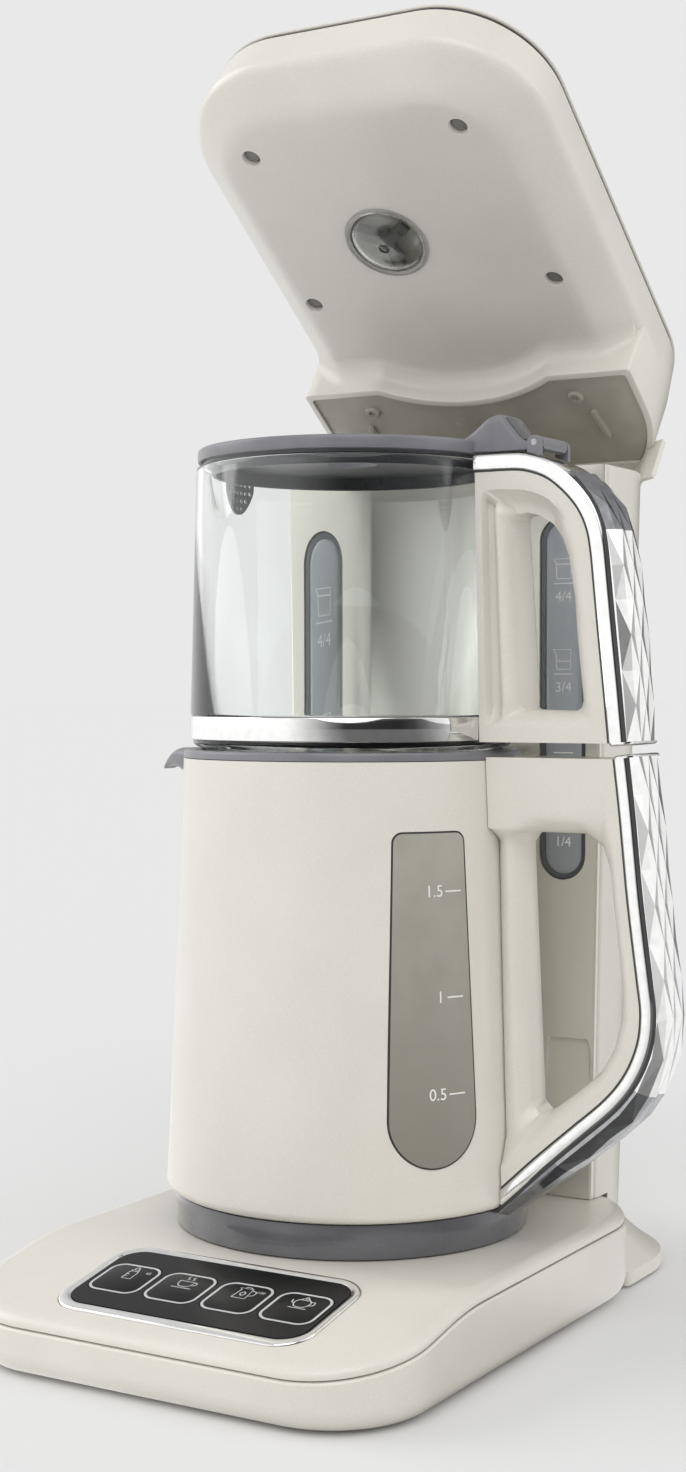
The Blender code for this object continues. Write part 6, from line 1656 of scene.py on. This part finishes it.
@dataclass
class Teapot:
    """The glass teapot with its steel foot and chrome band."""

    low: float = 0.2229
    top: float = 0.3335
    top_radius: float = 0.0618
    low_radius: float = 0.0646
    wall: float = 0.0022
    heel: float = 0.0060
    band_low: float = 0.2266
    band_top: float = 0.2357
    band_radius: float = 0.0645
    band_wall: float = 0.0008
    spout_reach: float = 0.0125
    spout_drop: float = 0.022
    spout_half: float = math.radians(19)
    base_radius: float = 0.0578
    base_low: float = 0.2213
    levels: int = 16

    def radius(self, z: float) -> float:
        """Radius of the glass at a height."""
        return mix(self.low_radius, self.top_radius, (z - self.low) / (self.top - self.low))

    def build(self) -> None:
        """Build the glass, the band and the foot."""
        step = self.band_wall + 0.0003
        base = self.band_radius - step
        low = self.low
        outer: list[Point2] = [(0.0, low)]
        outer += [(base - self.heel * up, low + self.heel * 0.5 * out) for out, up in quarter(8)]
        outer += [(base, self.band_top + 0.0002),
                  (self.radius(self.band_top) - 0.0003, self.band_top + 0.0005),
                  (self.radius(self.band_top), self.band_top + 0.0009)]
        start = self.top - self.spout_drop
        heights = [mix(start, self.top - 0.0008, i / self.levels) for i in range(self.levels + 1)]
        lip = [(self.top_radius - self.wall / 2 + self.wall / 2 * math.cos(t),
                self.top - 0.0008 + 0.0008 * math.sin(t)) for t in (0.5, 1.0, QUARTER, 2.2, 2.7)]
        outer += [(self.radius(z), z) for z in heights] + lip
        floor = low + self.wall * 1.4
        outer += [(self.radius(z) - self.wall, z) for z in reversed(heights)]
        outer += [(base - self.wall, self.band_top)]
        outer += [(base - self.wall - 0.0055 * out, floor + 0.0050 * up) for out, up in quarter(6)]
        outer.append((0.0, floor))
        work = turn(outer, 192)
        for vert in work.verts:
            self.pull_spout(vert, start)
        publish("teapot_vessel", work, Finish.GLASS, "teapot", ["teapot_glass"], crease=0.9)
        self.build_band()

    def pull_spout(self, vert: bmesh.types.BMVert, start: float) -> None:
        """Pull the wall round the spout outwards into a lip."""
        share = min(max((vert.co.z - start) / (self.top - start), 0.0), 1.0)
        angle = abs(math.atan2(vert.co.y, -vert.co.x))
        reach = self.spout_half * (0.6 + 0.4 * share)
        if share > 0 and angle < reach and math.hypot(vert.co.x, vert.co.y) > self.top_radius * 0.9:
            vert.co.x -= self.spout_reach * 0.5 * (
                    1 + math.cos(math.pi * angle / reach)) * share ** 1.5

    def build_band(self) -> None:
        """Build the chrome band round the glass and the steel foot under it."""
        outer, inner = self.band_radius, self.band_radius - self.band_wall
        low, top, soft = self.band_low, self.band_top, 0.0004
        work = turn(((inner, low), (outer - soft, low), (outer - soft * 0.3, low + soft * 0.3),
                     (outer, low + soft), (outer, top - soft),
                     (outer - soft * 0.3, top - soft * 0.3), (outer - soft, top), (inner, top)),
                    192)
        publish("teapot_chrome_band", work, Finish.CHROME, "teapot", ["teapot_band"], crease=0.9)
        high = self.low - 0.0003
        work = turn(((0.0, high), (self.base_radius - 0.0003, high),
                     (self.base_radius, high - 0.0003),
                     (self.base_radius - 0.0008, self.base_low + 0.0003),
                     (self.base_radius - 0.0014, self.base_low + 0.0001),
                     (0.0, self.base_low + 0.0001)), 160)
        publish("teapot_foot", work, Finish.STEEL, "teapot", ["teapot_base"])


@dataclass
class TeapotLid:
    """The teapot's grey lid with its thumb tab, skirt and spout strainer."""

    radius: float = 0.0613
    low: float = 0.3352
    top: float = 0.3405
    dish: float = 0.0022
    dish_radius: float = 0.0440
    hole: float = 0.0100
    skirt_radius: float = 0.0560
    skirt_wall: float = 0.0018
    skirt_low: float = 0.3302
    tab_half: float = 0.0105
    hinge_x: float = 0.0860
    hinge_z: float = 0.3380
    knuckle: float = 0.0027
    ear: float = 0.0022
    ear_foot: float = 0.3345
    sieve_low: float = 0.3178
    sieve_half: float = 0.0098
    sieve_wall: float = 0.0012
    sieve_rows: tuple[int, ...] = (6, 6, 4, 2)
    sieve_pitch: float = 0.0030
    sieve_hole: float = 0.0010

    def build(self) -> None:
        """Build the lid's pieces and the ears of its hinge."""
        self.build_disc()
        self.build_tab()
        self.build_sieve()
        self.build_ears()
        keep(Finish.STEEL, "lid_pin")

    def build_disc(self) -> None:
        """Build the dished disc with its pouring hole, and the dark skirt."""
        low, top, soft = self.low, self.top, 0.0013
        rim = [(self.radius - soft * (1 - math.cos(t)), top - soft * (1 - math.sin(t)))
               for t in (0.0, 0.3, 0.6, 0.9, 1.2, QUARTER)]
        profile = [(self.radius - 0.0008, low), (self.radius - 0.0002, low + 0.0003),
                   (self.radius, low + 0.0010), *rim, (self.dish_radius + 0.0060, top),
                   (self.dish_radius + 0.0042, top - 0.0003),
                   (self.dish_radius + 0.0012, top - 0.0016), (self.dish_radius, top - self.dish),
                   (self.hole + 0.0016, top - self.dish),
                   (self.hole + 0.0005, top - self.dish - 0.0004),
                   (self.hole, top - self.dish - 0.0012), (self.hole, low)]
        publish("lid_disc", turn(profile, 192), Finish.RIM, "teapot_lid", ["teapot_lid"])
        outer, inner = self.skirt_radius, self.skirt_radius - self.skirt_wall
        work = turn(((inner, low + 0.0010), (inner, self.skirt_low + 0.0003),
                     (inner + 0.0004, self.skirt_low), (outer - 0.0005, self.skirt_low),
                     (outer, self.skirt_low + 0.0005), (outer, low - 0.0030),
                     (outer + 0.0012, low - 0.0016), (outer + 0.0030, low - 0.0010),
                     (outer + 0.0034, low + 0.0010)), 192)
        publish("lid_skirt", work, Finish.SKIRT, "teapot_lid")

    def build_tab(self) -> None:
        """Build the thumb tab, its ribbed pad and the hinge knuckle at its end."""
        ridge = smooth([(0.0500, 0.3398), (0.0555, 0.3412), (0.0598, 0.3447), (0.0640, 0.3484),
                        (0.0675, 0.3498), (0.0704, 0.3494), (0.0745, 0.3446), (0.0790, 0.3398),
                        (0.0840, 0.3388), (0.0885, 0.3386)], 5)
        rings = []
        for x, high in ridge:
            spread = 1.0 - 0.22 * min(max((x - 0.056) / 0.012, 0.0), 1.0)
            half = self.tab_half * 1.16 * (1.0 if x < 0.052 else spread)
            low = self.low + 0.0006
            corner = min(half * 0.34, (high - low) * 0.45)
            rings.append([(x, y, z) for y, z in rounded(half, low, high, 0.0004, corner, 8)])
        publish("lid_tab", skin(rings), Finish.RIM, "teapot_lid")
        slope = [(x, z) for x, z in ridge if 0.0700 < x < 0.0800]
        path = spaced(slope, 13)
        rings = []
        for i, (x, z) in enumerate(path):
            lift = 0.0003 + 0.00028 * (i % 2)
            end = 0.6 if i in (0, len(path) - 1) else 1.0
            half = self.tab_half * 0.66 * end
            before, after = path[max(i - 1, 0)], path[min(i + 1, len(path) - 1)]
            dx, dz = after[0] - before[0], after[1] - before[1]
            length = math.hypot(dx, dz)
            nx, nz = -dz / length, dx / length
            rings.append([(x + nx * h, y, z + nz * h) for y, h in
                          rounded(half, -0.0006, lift, 0.0001, 0.0002, 3)])
        publish("lid_thumb_pad", skin(rings), Finish.SKIRT, "teapot_lid")
        knuckle = prism([(x + self.hinge_x, z + self.hinge_z) for x, z in
                         arc((0.0, 0.0), self.knuckle, 0.0, 2 * math.pi, 28)[:-1]], -self.tab_half,
                        self.tab_half)
        publish("lid_knuckle", upright(knuckle), Finish.RIM, "teapot_lid")

    def build_sieve(self) -> None:
        """Build the strainer: a pierced tongue that follows the skirt inside the spout."""
        high = self.low
        half, low = self.sieve_half, self.sieve_low
        right = smooth([(half, high), (half, high - 0.0070), (half * 0.86, high - 0.0105),
                        (half * 0.55, high - 0.0145), (0.0020, low + 0.0003), (0.0, low)], 6)
        outline = right + [(-x, z) for x, z in reversed(right[:-1])]
        plate = prism(outline, 0.0, self.sieve_wall)
        tools = []
        for row, count in enumerate(self.sieve_rows):
            for i in range(count):
                x = (i - (count - 1) / 2) * self.sieve_pitch
                z = high - 0.0052 - row * self.sieve_pitch * 1.08
                hole = arc((x, z), self.sieve_hole, 0.0, 2 * math.pi, 14)[:-1]
                tools.append(as_mesh(prism(hole, -0.001, self.sieve_wall + 0.001)))
        mesh = carve(as_mesh(plate), tools)
        work = bmesh.new()
        work.from_mesh(mesh)
        for i in range(-12, 13):
            slice_across(work, 0, i * 0.0008)
        for vert in work.verts:
            across, height, depth = vert.co
            radius = self.skirt_radius - 0.0003 - self.sieve_wall + depth
            angle = across / self.skirt_radius
            vert.co = (-radius * math.cos(angle), radius * math.sin(angle), height)
        publish("spout_sieve", work, Finish.SKIRT, "teapot_lid", ["spout_strainer"])

    def build_ears(self) -> None:
        """Build the two ears on the handle that hold the lid's pin."""
        inner = self.tab_half + 0.0006
        for side, label in ((-1, "front"), (1, "back")):
            low_y, high_y = sorted((side * inner, side * (inner + self.ear)))
            profile = [(self.hinge_x - self.knuckle, self.ear_foot)]
            profile += [(self.hinge_x + x, self.hinge_z + z) for x, z in
                        arc((0.0, 0.0), self.knuckle, math.pi, 0.0, 16)]
            profile.append((self.hinge_x + self.knuckle, self.ear_foot - 0.0016))
            ear = upright(prism(profile, -high_y, -low_y))
            publish(f"lid_ear_{label}", ear, Finish.RIM, "teapot")


# Handles

# Half of a frame's thickness in millimetres, from its band to its opening:
# (share of the way, along the grip side, under the top, down the pillar by the vessel)
TEAPOT_RELIEF = ((0.0, 13.0, 13.0, 13.0), (0.30, 13.0, 13.0, 13.0), (0.44, 13.0, 12.7, 13.0),
                 (0.465, 13.0, 12.2, 11.0), (0.49, 12.95, 11.6, 8.8), (0.54, 12.9, 10.6, 8.2),
                 (0.62, 12.7, 9.4, 8.2), (0.67, 12.4, 8.7, 8.8), (0.70, 12.2, 8.3, 10.6),
                 (0.725, 12.0, 8.0, 12.2), (0.76, 11.7, 7.7, 12.8), (0.82, 11.1, 7.3, 12.9),
                 (0.88, 10.2, 7.0, 12.3), (0.94, 9.0, 6.8, 10.8), (0.98, 7.8, 6.6, 8.6),
                 (1.0, 6.6, 6.5, 7.0))
KETTLE_RELIEF = ((0.0, 13.0, 13.0, 1.0), (0.30, 13.0, 13.0, 2.0), (0.40, 13.0, 13.0, 5.8),
                 (0.50, 12.95, 13.0, 8.0), (0.60, 12.7, 13.0, 9.3), (0.70, 12.2, 13.0, 9.8),
                 (0.78, 11.6, 12.9, 9.6), (0.84, 10.8, 12.3, 9.0), (0.90, 9.8, 11.2, 8.0),
                 (0.95, 8.4, 9.6, 6.8), (1.0, 6.6, 7.4, 5.0))


@dataclass
class Handle:
    """A handle in three layers: a cream frame, a bright band and a faceted grip."""

    name: str
    reach: float
    low: float
    top: float
    start: float
    band: float
    outer_shares: tuple[Point2, ...]
    opening_shares: tuple[Point2, ...]
    outer_corners: tuple[int, int]
    opening_corners: tuple[int, int, int, int]
    relief: tuple[tuple[float, float, float, float], ...]
    grip_shares: tuple[Point2, ...]
    # Each zone: its name, where it ends along the grip, its rows and its finish; the grey and dark
    # finishes are painted reflection on the same chrome.
    zones: tuple[tuple[str, float, int, Finish], ...]
    body_low: Point2
    body_top: Point2
    split: float
    shifts: Point2
    band_from: float
    capped_low: bool
    half: float = 0.0130
    seam: float = 0.0005
    proud: float = 0.0008
    thickness: float = 0.0044
    facet: float = 0.00055
    columns: int = 6
    crown: tuple[float, ...] = (0.30, 0.90, 1.0, 1.0, 1.0, 0.90, 0.30)
    steps: tuple[int, ...] = (52, 44, 60, 30)
    cap: float = 0.0012
    grip_steps: int = 400

    def place(self, share: Point2) -> Point2:
        """Place a point given as shares of the handle's reach and height."""
        return mix(self.start, self.reach, share[0]), mix(self.low, self.top, share[1])

    def outer(self) -> list[Point2]:
        """The curve of the handle's back, from its top down."""
        return smooth([self.place(share) for share in self.outer_shares], 5)

    def opening(self) -> list[Point2]:
        """The opening's outline, moved to where the rolled edge of the frame meets it."""
        placed = [self.place(share) for share in self.opening_shares]
        left, right = min(x for x, z in placed), max(x for x, z in placed)
        return [(x + mix(*self.shifts, (x - left) / (right - left)), z) for x, z in placed]

    def vessel(self) -> Mesh:
        """The vessel's outside as a solid, which the frame and the band stop at."""
        (low_z, low_r), (top_z, top_r) = self.body_low, self.body_top
        work = turn(((0.0, low_z), (low_r, low_z), (top_r, top_z), (0.0, top_z)), 240)
        return as_mesh(work)

    def build(self) -> None:
        """Build the handle's layers."""
        self.build_frame()
        self.build_band()
        self.build_grip()

    def sides(self) -> tuple[list[Point2], list[Point2], list[float], list[float]]:
        """Match the frame's outline with its opening, side by side.

        Returns:
            The outline, the opening, and at each point how far it belongs to the top and to
            the pillar by the vessel.
        """
        outer = self.outer()
        high, low = (5 * corner for corner in self.outer_corners)
        opening = self.opening()
        a, b, c, d = self.opening_corners
        foot = outer[-1][1]
        outline_legs = ([(self.start, foot), (self.start, self.split)],
                        [(self.start, self.split), (self.start, outer[0][1]), *outer[:high + 1]],
                        outer[high:low + 1],
                        [*outer[low:], (self.start, foot)])
        opening_legs = ([*opening[d:], *opening[:a + 1]], opening[a:b + 1], opening[b:c + 1],
                        opening[c:d + 1])
        outline: list[Point2] = []
        inner: list[Point2] = []
        top: list[float] = []
        pillar: list[float] = []
        for leg, (outside, inside) in enumerate(zip(outline_legs, opening_legs)):
            count = self.steps[leg]
            outline += spaced(outside, count)[:-1]
            inner += spaced(inside, count)[:-1]
            for i in range(count - 1):
                pillar.append(min(1.0, (i + 1) / 4, (count - 1 - i) / 2) if leg == 0 else 0.0)
                top.append(min(1.0, (i + 1) / 3, (count - 1 - i) / 12) if leg == 1 else 0.0)
        return outline, inner, top, pillar

    def build_frame(self) -> None:
        """Build the frame: flat by the band, rolling into the opening."""
        outline, inner, top, pillar = self.sides()
        rings = []
        for side, table in ((-1, self.relief), (1, self.relief[::-1])):
            for share, plain, under, beside in table:
                loop = []
                for (x0, z0), (x1, z1), a, b in zip(outline, inner, top, pillar):
                    depth = plain + (under - plain) * a + (beside - plain) * b
                    loop.append((mix(x0, x1, share), side * depth * MILLIMETRE, mix(z0, z1, share)))
                rings.append(loop)
        work = skin(rings, ends=False, around=True)
        publish(f"{self.name}_frame", carve(as_mesh(work), [self.vessel()]), Finish.SHELL,
                self.name, [f"{self.name}_handle_frame"], crease=0.7)

    def strip(self, path: list[Point2], near: float, far: float, half: float, soft: float) -> Mesh:
        """A strip that follows the handle's back between two distances from it."""
        rings = []
        for (x0, z0), (x1, z1) in zip(offset(path, near), offset(path, far)):
            width = far - near
            corners = rounded(half, 0.0, width, soft, soft, 5)
            rings.append([(mix(x0, x1, d / width), y, mix(z0, z1, d / width)) for y, d in corners])
        work = skin(rings)
        return as_mesh(work)

    def build_band(self) -> None:
        """Build the bright band, the dark strips beside it, which paint the shade in the gaps, and
        the bright cap over its end.
        """
        outer = self.outer()
        path = outer
        if self.band_from < outer[0][0] - 0.004:
            path = [(mix(self.band_from, outer[0][0], i / 8), outer[0][1])
                    for i in range(8)] + outer
        far = self.seam + self.band
        vessel = self.vessel()
        band = self.strip(path, self.seam, far, self.half + self.proud, 0.0011)
        publish(f"{self.name}_band", carve(band, [vessel]), Finish.CHROME, self.name,
                [f"{self.name}_handle_band"])
        # The dark strips fill the gaps beside the band: their dark colour is painted shade of the
        # gaps.
        line = self.strip(path, -0.0001, self.seam + 0.0003, self.half + 0.00015, 0.0001)
        publish(f"{self.name}_inner_seam", carve(line, [vessel]), Finish.SEAM, self.name)
        seam_steps = self.grip_steps // 2
        covered = spaced(outer, seam_steps + 1)[round(self.grip_shares[0][0] * seam_steps):]
        line = self.strip(covered, far - 0.0003, far + 0.0010, self.half + 0.00035, 0.0001)
        publish(f"{self.name}_outer_seam", line, Finish.SEAM, self.name)
        self.build_cap(outer)

    def build_cap(self, outer: list[Point2]) -> None:
        """Build the bright cap that closes the band and the grip at one end."""
        last, before = (outer[-1], outer[-3]) if self.capped_low else (outer[0], outer[2])
        dx, dz = last[0] - before[0], last[1] - before[1]
        length = math.hypot(dx, dz)
        dx, dz = dx / length, dz / length
        nx, nz = (-dz, dx) if self.capped_low else (dz, -dx)
        share = 1.0 if self.capped_low else 0.0
        deep = self.seam * 2 + self.band + self.thickness * self.thickness_at(
                share) + self.facet * 0.2
        rings = []
        for rise, inset in ((0.0, 0.0), (0.45, 0.0), (0.75, 0.00025), (0.93, 0.0007),
                            (1.0, 0.0014)):
            rings.append([(last[0] + nx * d + dx * self.cap * rise, y, last[1] + nz * d + dz
                           * self.cap * rise) for y,
                          d in rounded(self.half + self.proud - inset, self.seam + inset,
                                       deep - inset, 0.0018 - inset, 0.0030 - inset, 6)])
        publish(f"{self.name}_handle_cap", skin(rings), Finish.CHROME, self.name)

    def thickness_at(self, share: float) -> float:
        """Share of the full thickness that the grip has at a share of its length."""
        table = self.grip_shares
        for (s0, t0), (s1, t1) in zip(table, table[1:]):
            if share <= s1:
                return mix(t0, t1, max(0.0, share - s0) / (s1 - s0))
        return table[-1][1]

    def build_grip(self) -> None:
        """Build the faceted grip in its zones, one after the other along the band."""
        base = spaced(offset(self.outer(), self.seam * 2 + self.band), self.grip_steps + 1)
        first = self.grip_shares[0][0]
        nodes = [f"{self.name}_handle_grip"]
        line = 0
        # Zones with the grey or dark facet finish carry painted reflection, not a different
        # plating.
        for label, last, rows, finish in self.zones:
            stations = [mix(first, last, i / rows) for i in range(rows + 1)]
            self.build_zone(label, base, stations, line, finish, nodes)
            first, nodes, line = last, [], line + rows

    def build_zone(self, label: str, base: list[Point2], stations: list[float], line: int,
                   finish: Finish, nodes: Sequence[str]) -> None:
        """Build rows of raised diamonds as one closed piece, crisp at every edge.

        Args:
            label: The zone's name.
            base: The grip's inner face, as evenly spaced points.
            stations: The rows' places as shares of the grip's length.
            line: Number of the zone's first line, which sets where the diamonds' tips are.
            finish: The zone's finish.
            nodes: Nodes that the piece stands for.
        """
        ahead = offset(base, 1.0)
        rings = []
        for i, share in enumerate(stations):
            k = round(share * self.grip_steps)
            (x, z), (x1, z1) = base[k], ahead[k]
            lift = self.thickness * self.thickness_at(share)
            outside = []
            for column in range(self.columns + 1):
                edge = column in (0, self.columns)
                tip = 0.0 if edge else self.facet * (1.0 if (line + i + column) % 2 else -0.4)
                rise = lift * self.crown[column] + tip
                y = mix(-self.half, self.half, column / self.columns)
                outside.append((x + (x1 - x) * rise, y, z + (z1 - z) * rise))
            rings.append(outside + [(x, self.half, z), (x, -self.half, z)])
        work = skin(rings)
        work.verts.ensure_lookup_table()
        count = len(rings[0])
        for i in range(len(rings) - 1):
            for column in range(self.columns):
                near, far = i * count + column, (i + 1) * count + column
                tips = (near, far + 1) if (line + i + column) % 2 else (near + 1, far)
                bmesh.ops.connect_verts(work, verts=[work.verts[j] for j in tips])
        publish(f"{self.name}_grip_{label}", work, finish, self.name, nodes, crease=0.02)


def teapot_handle() -> Handle:
    """The teapot's handle."""
    return Handle(name="teapot", reach=0.1155, low=0.2262, top=0.3280, start=0.0558, band=0.0060,
                  outer_shares=((0.28, 1.0), (0.43, 0.995), (0.58, 0.966), (0.697, 0.915),
                                (0.794, 0.851), (0.853, 0.782), (0.883, 0.703), (0.911, 0.548),
                                (0.941, 0.376), (0.975, 0.19), (1.007, 0.0)),
                  opening_shares=((0.389, 0.823), (0.42, 0.842), (0.479, 0.849), (0.559, 0.836),
                                  (0.648, 0.803), (0.717, 0.744), (0.755, 0.68), (0.796, 0.524),
                                  (0.814, 0.373), (0.85, 0.16), (0.835, 0.130), (0.802, 0.117),
                                  (0.482, 0.121), (0.462, 0.130), (0.459, 0.149)),
                  outer_corners=(4, 10), opening_corners=(1, 5, 10, 13), relief=TEAPOT_RELIEF,
                  # The dark zone near the top of the grip is painted reflection.
                  grip_shares=((0.22, 0.22), (0.30, 0.45), (0.45, 0.75), (0.60, 1.0), (0.85, 0.95),
                               (1.0, 0.5)), zones=(("dark", 0.42, 3, Finish.FACET_PAINTED_DARK),
                                                   ("light", 1.0, 6, Finish.FACET)),
                  body_low=(0.20, 0.06525), body_top=(0.345, 0.06230), split=0.3280,
                  shifts=(-0.0048, -0.0026), band_from=0.0560, capped_low=True)


def kettle_handle() -> Handle:
    """The kettle's handle."""
    return Handle(
        name="kettle", reach=0.1288, low=0.0585, top=0.2205, start=0.0620, band=0.0050,
        outer_shares=((0.838, 1.0), (0.87, 0.89), (0.898, 0.776), (0.919, 0.691), (0.95, 0.59),
                      (0.981, 0.495), (0.999, 0.43), (0.982, 0.363), (0.913, 0.294), (0.792, 0.23),
                      (0.581, 0.154), (0.367, 0.077), (0.184, 0.007), (0.08, -0.032)),
        opening_shares=((0.299, 0.80), (0.329, 0.824), (0.40, 0.828), (0.666, 0.828), (0.753, 0.80),
                        (0.805, 0.735), (0.843, 0.59), (0.872, 0.479), (0.866, 0.412),
                        (0.826, 0.344), (0.757, 0.288), (0.669, 0.252), (0.475, 0.183),
                        (0.397, 0.171), (0.36, 0.19)),
        outer_corners=(0, 9), opening_corners=(1, 4, 10, 13), relief=KETTLE_RELIEF,
        grip_shares=((0.0, 0.5), (0.12, 0.68), (0.40, 0.60), (0.55, 0.9), (0.65, 1.55), (0.80, 1.5),
                     (0.92, 1.1), (1.0, 0.6)),
        # The grey middle and the dark tip of the grip are painted reflection.
        zones=(("light", 0.62, 9, Finish.FACET), ("middle", 0.84, 4, Finish.FACET_PAINTED_GREY),
               ("tip", 1.0, 1, Finish.FACET_PAINTED_DARK)),
        body_low=(0.045, 0.07462), body_top=(0.2232, 0.06727), split=0.1945,
        shifts=(-0.0036, 0.0), band_from=0.2, capped_low=False)


# Studio

@dataclass
class Studio:
    """The pale floor, the soft lights and the camera at the photograph's viewpoint."""

    lens: float = 51.90
    sensor: float = 36.0
    camera: Point3 = (0.43005, -0.72815, 0.24471)
    tilt: float = math.radians(88.84)
    turn: float = math.radians(30.82)
    backdrop: str = "#E9E9E9"
    floor_half: float = 60.0
    floor_tone: str = "#E8E8E8"
    sky: float = 0.62
    mirror_strength: float = 1.30
    # Azimuth in degrees from +X, and the brightness that a mirror sees there
    screens: tuple[Point2, ...] = ((-180, 1.0), (-105, 0.95), (-95, 0.68), (-85, 0.44), (-75, 0.18),
                                   (-65, 0.03), (-27, 0.02), (-16, 0.04), (-6, 0.13), (6, 0.32),
                                   (17, 0.65), (31, 0.85), (50, 0.80), (72, 0.45), (88, 0.08),
                                   (110, 0.08), (126, 0.5), (150, 0.9), (180, 1.0))

    # Name, where it shines from, its strength, and its breadth in degrees
    suns: tuple[tuple[str, Point3, float, float], ...] = (
            ("front_sun", (0.45, -0.86, 0.85), 1.00, 55.0),
            ("left_sun", (-0.95, -0.30, 0.55), 0.80, 45.0),
            ("right_sun", (0.90, 0.25, 0.60), 0.30, 50.0))

    def build(self) -> None:
        """Build the stage."""
        scene = bpy.context.scene
        scene.view_settings.view_transform = "Standard"
        self.build_camera(scene)
        self.build_world(scene)
        self.build_floor(scene)
        self.build_lights(scene)

    def build_camera(self, scene: bpy.types.Scene) -> None:
        """Place the camera."""
        data = bpy.data.cameras.new("camera")
        data.lens = self.lens
        data.sensor_width = self.sensor
        data.clip_end = 500.0
        eye = bpy.data.objects.new("camera", data)
        eye.location = STAND @ Vector(self.camera)
        eye.rotation_euler = (self.tilt, 0.0, self.turn)
        scene.collection.objects.link(eye)
        scene.camera = eye

    def build_world(self, scene: bpy.types.Scene) -> None:
        """Light softly from all round, and show the pale backdrop to the eye and in reflections."""
        world = bpy.data.worlds.new("studio")
        world.use_nodes = True
        tree = world.node_tree
        tree.nodes.clear()
        rays = add_node(tree, "ShaderNodeLightPath")
        seen = add_node(tree, "ShaderNodeMath", {0: rays.outputs["Is Camera Ray"],
                                                 1: rays.outputs["Is Transmission Ray"]},
                        operation="MAXIMUM")
        mirrored = add_node(tree, "ShaderNodeMath", {0: rays.outputs["Glossy Depth"], 1: 1.0},
                            operation="MINIMUM")
        soft = add_node(tree, "ShaderNodeBackground", {"Color": (1.0, 1.0, 1.0, 1.0),
                                                       "Strength": self.sky})
        shown = add_node(tree, "ShaderNodeBackground",
                         {"Color": linear(self.backdrop), "Strength": 1.0})
        mirror = add_node(tree, "ShaderNodeBackground", {"Color": self.room(tree, "Generated"),
                                                         "Strength": self.mirror_strength})
        first = add_node(tree, "ShaderNodeMixShader", {0: seen.outputs[0], 1: soft.outputs[0],
                                                       2: shown.outputs[0]})
        second = add_node(tree, "ShaderNodeMixShader", {0: mirrored.outputs[0], 1: first.outputs[0],
                                                        2: mirror.outputs[0]})
        add_node(tree, "ShaderNodeOutputWorld", {"Surface": second.outputs[0]})
        scene.world = world

    def room(self, tree: bpy.types.NodeTree, source: str) -> bpy.types.NodeSocket:
        """What shiny pieces mirror: white screens on the left and behind, dark cloth by the camera.

        Args:
            tree: The node tree of the world or the floor.
            source: The coordinates that give the direction there.

        Returns:
            The room's brightness by direction.
        """
        way = add_node(tree, "ShaderNodeTexCoord").outputs[source]
        compass = add_node(tree, "ShaderNodeTexGradient", {"Vector": way}, gradient_type="RADIAL")
        ramp = add_node(tree, "ShaderNodeValToRGB", {"Fac": compass.outputs["Fac"]})
        stops = ramp.color_ramp.elements
        while len(stops) > 1:
            stops.remove(stops[-1])
        for i, (azimuth, tone) in enumerate(self.screens):
            stop = stops[0] if i == 0 else stops.new(azimuth / 360 + 0.5)
            stop.position = azimuth / 360 + 0.5
            stop.color = (tone, tone, tone, 1.0)
        rise = add_node(tree, "ShaderNodeSeparateXYZ", {0: way}).outputs["Z"]
        above = add_node(tree, "ShaderNodeMapRange",
                         {"Value": rise, "From Min": 0.30, "From Max": 0.75, "To Min": 0.0,
                          "To Max": 1.0})
        blend = add_node(tree, "ShaderNodeMix", {0: above.outputs[0], 6: ramp.outputs[0],
                                                 7: (0.55, 0.55, 0.55, 1.0)}, data_type="RGBA")
        return blend.outputs[2]

    def build_floor(self, scene: bpy.types.Scene) -> None:
        """Lay the pale floor."""
        work = bmesh.new()
        bmesh.ops.create_grid(work, x_segments=1, y_segments=1, size=self.floor_half)
        mesh = bpy.data.meshes.new("studio_floor")
        work.to_mesh(mesh)
        work.free()
        mesh.materials.append(self.floor_material())
        floor = bpy.data.objects.new("studio_floor", mesh)
        scene.collection.objects.link(floor)

    def floor_material(self) -> bpy.types.Material:
        """Matt pale paper, which goes on as the room does where something shiny mirrors it."""
        material = bpy.data.materials.new("pale_studio_paper")
        material.use_nodes = True
        tree = material.node_tree
        tree.nodes.clear()
        rays = add_node(tree, "ShaderNodeLightPath")
        mirrored = add_node(tree, "ShaderNodeMath", {0: rays.outputs["Is Glossy Ray"], 1: 0.85},
                            operation="MULTIPLY")
        paper = add_node(tree, "ShaderNodeBsdfDiffuse", {"Color": linear(self.floor_tone)})
        screens = add_node(tree, "ShaderNodeEmission", {"Color": self.room(tree, "Object"),
                                                        "Strength": self.mirror_strength})
        both = add_node(tree, "ShaderNodeMixShader", {0: mirrored.outputs[0], 1: paper.outputs[0],
                                                      2: screens.outputs[0]})
        add_node(tree, "ShaderNodeOutputMaterial", {"Surface": both.outputs[0]})
        return material

    def build_lights(self, scene: bpy.types.Scene) -> None:
        """Hang the broad suns."""
        for name, towards, strength, spread in self.suns:
            data = bpy.data.lights.new(name, "SUN")
            data.energy = strength
            data.angle = math.radians(spread)
            lamp = bpy.data.objects.new(name, data)
            lamp.rotation_euler = Vector(towards).to_track_quat("Z", "Y").to_euler()
            scene.collection.objects.link(lamp)


def main() -> None:
    """Build the tea maker's pieces in order, then the studio."""
    logging.basicConfig(level=logging.INFO, stream=sys.stdout, format="%(message)s")
    for part in (Base(), ControlPanel(), Tower(), Head(), Kettle(), kettle_handle(), Teapot(),
                 teapot_handle(), TeapotLid(), Studio()):
        LOG.info("building %s", type(part).__name__)
        part.build()


if __name__ == "__main__":
    main()
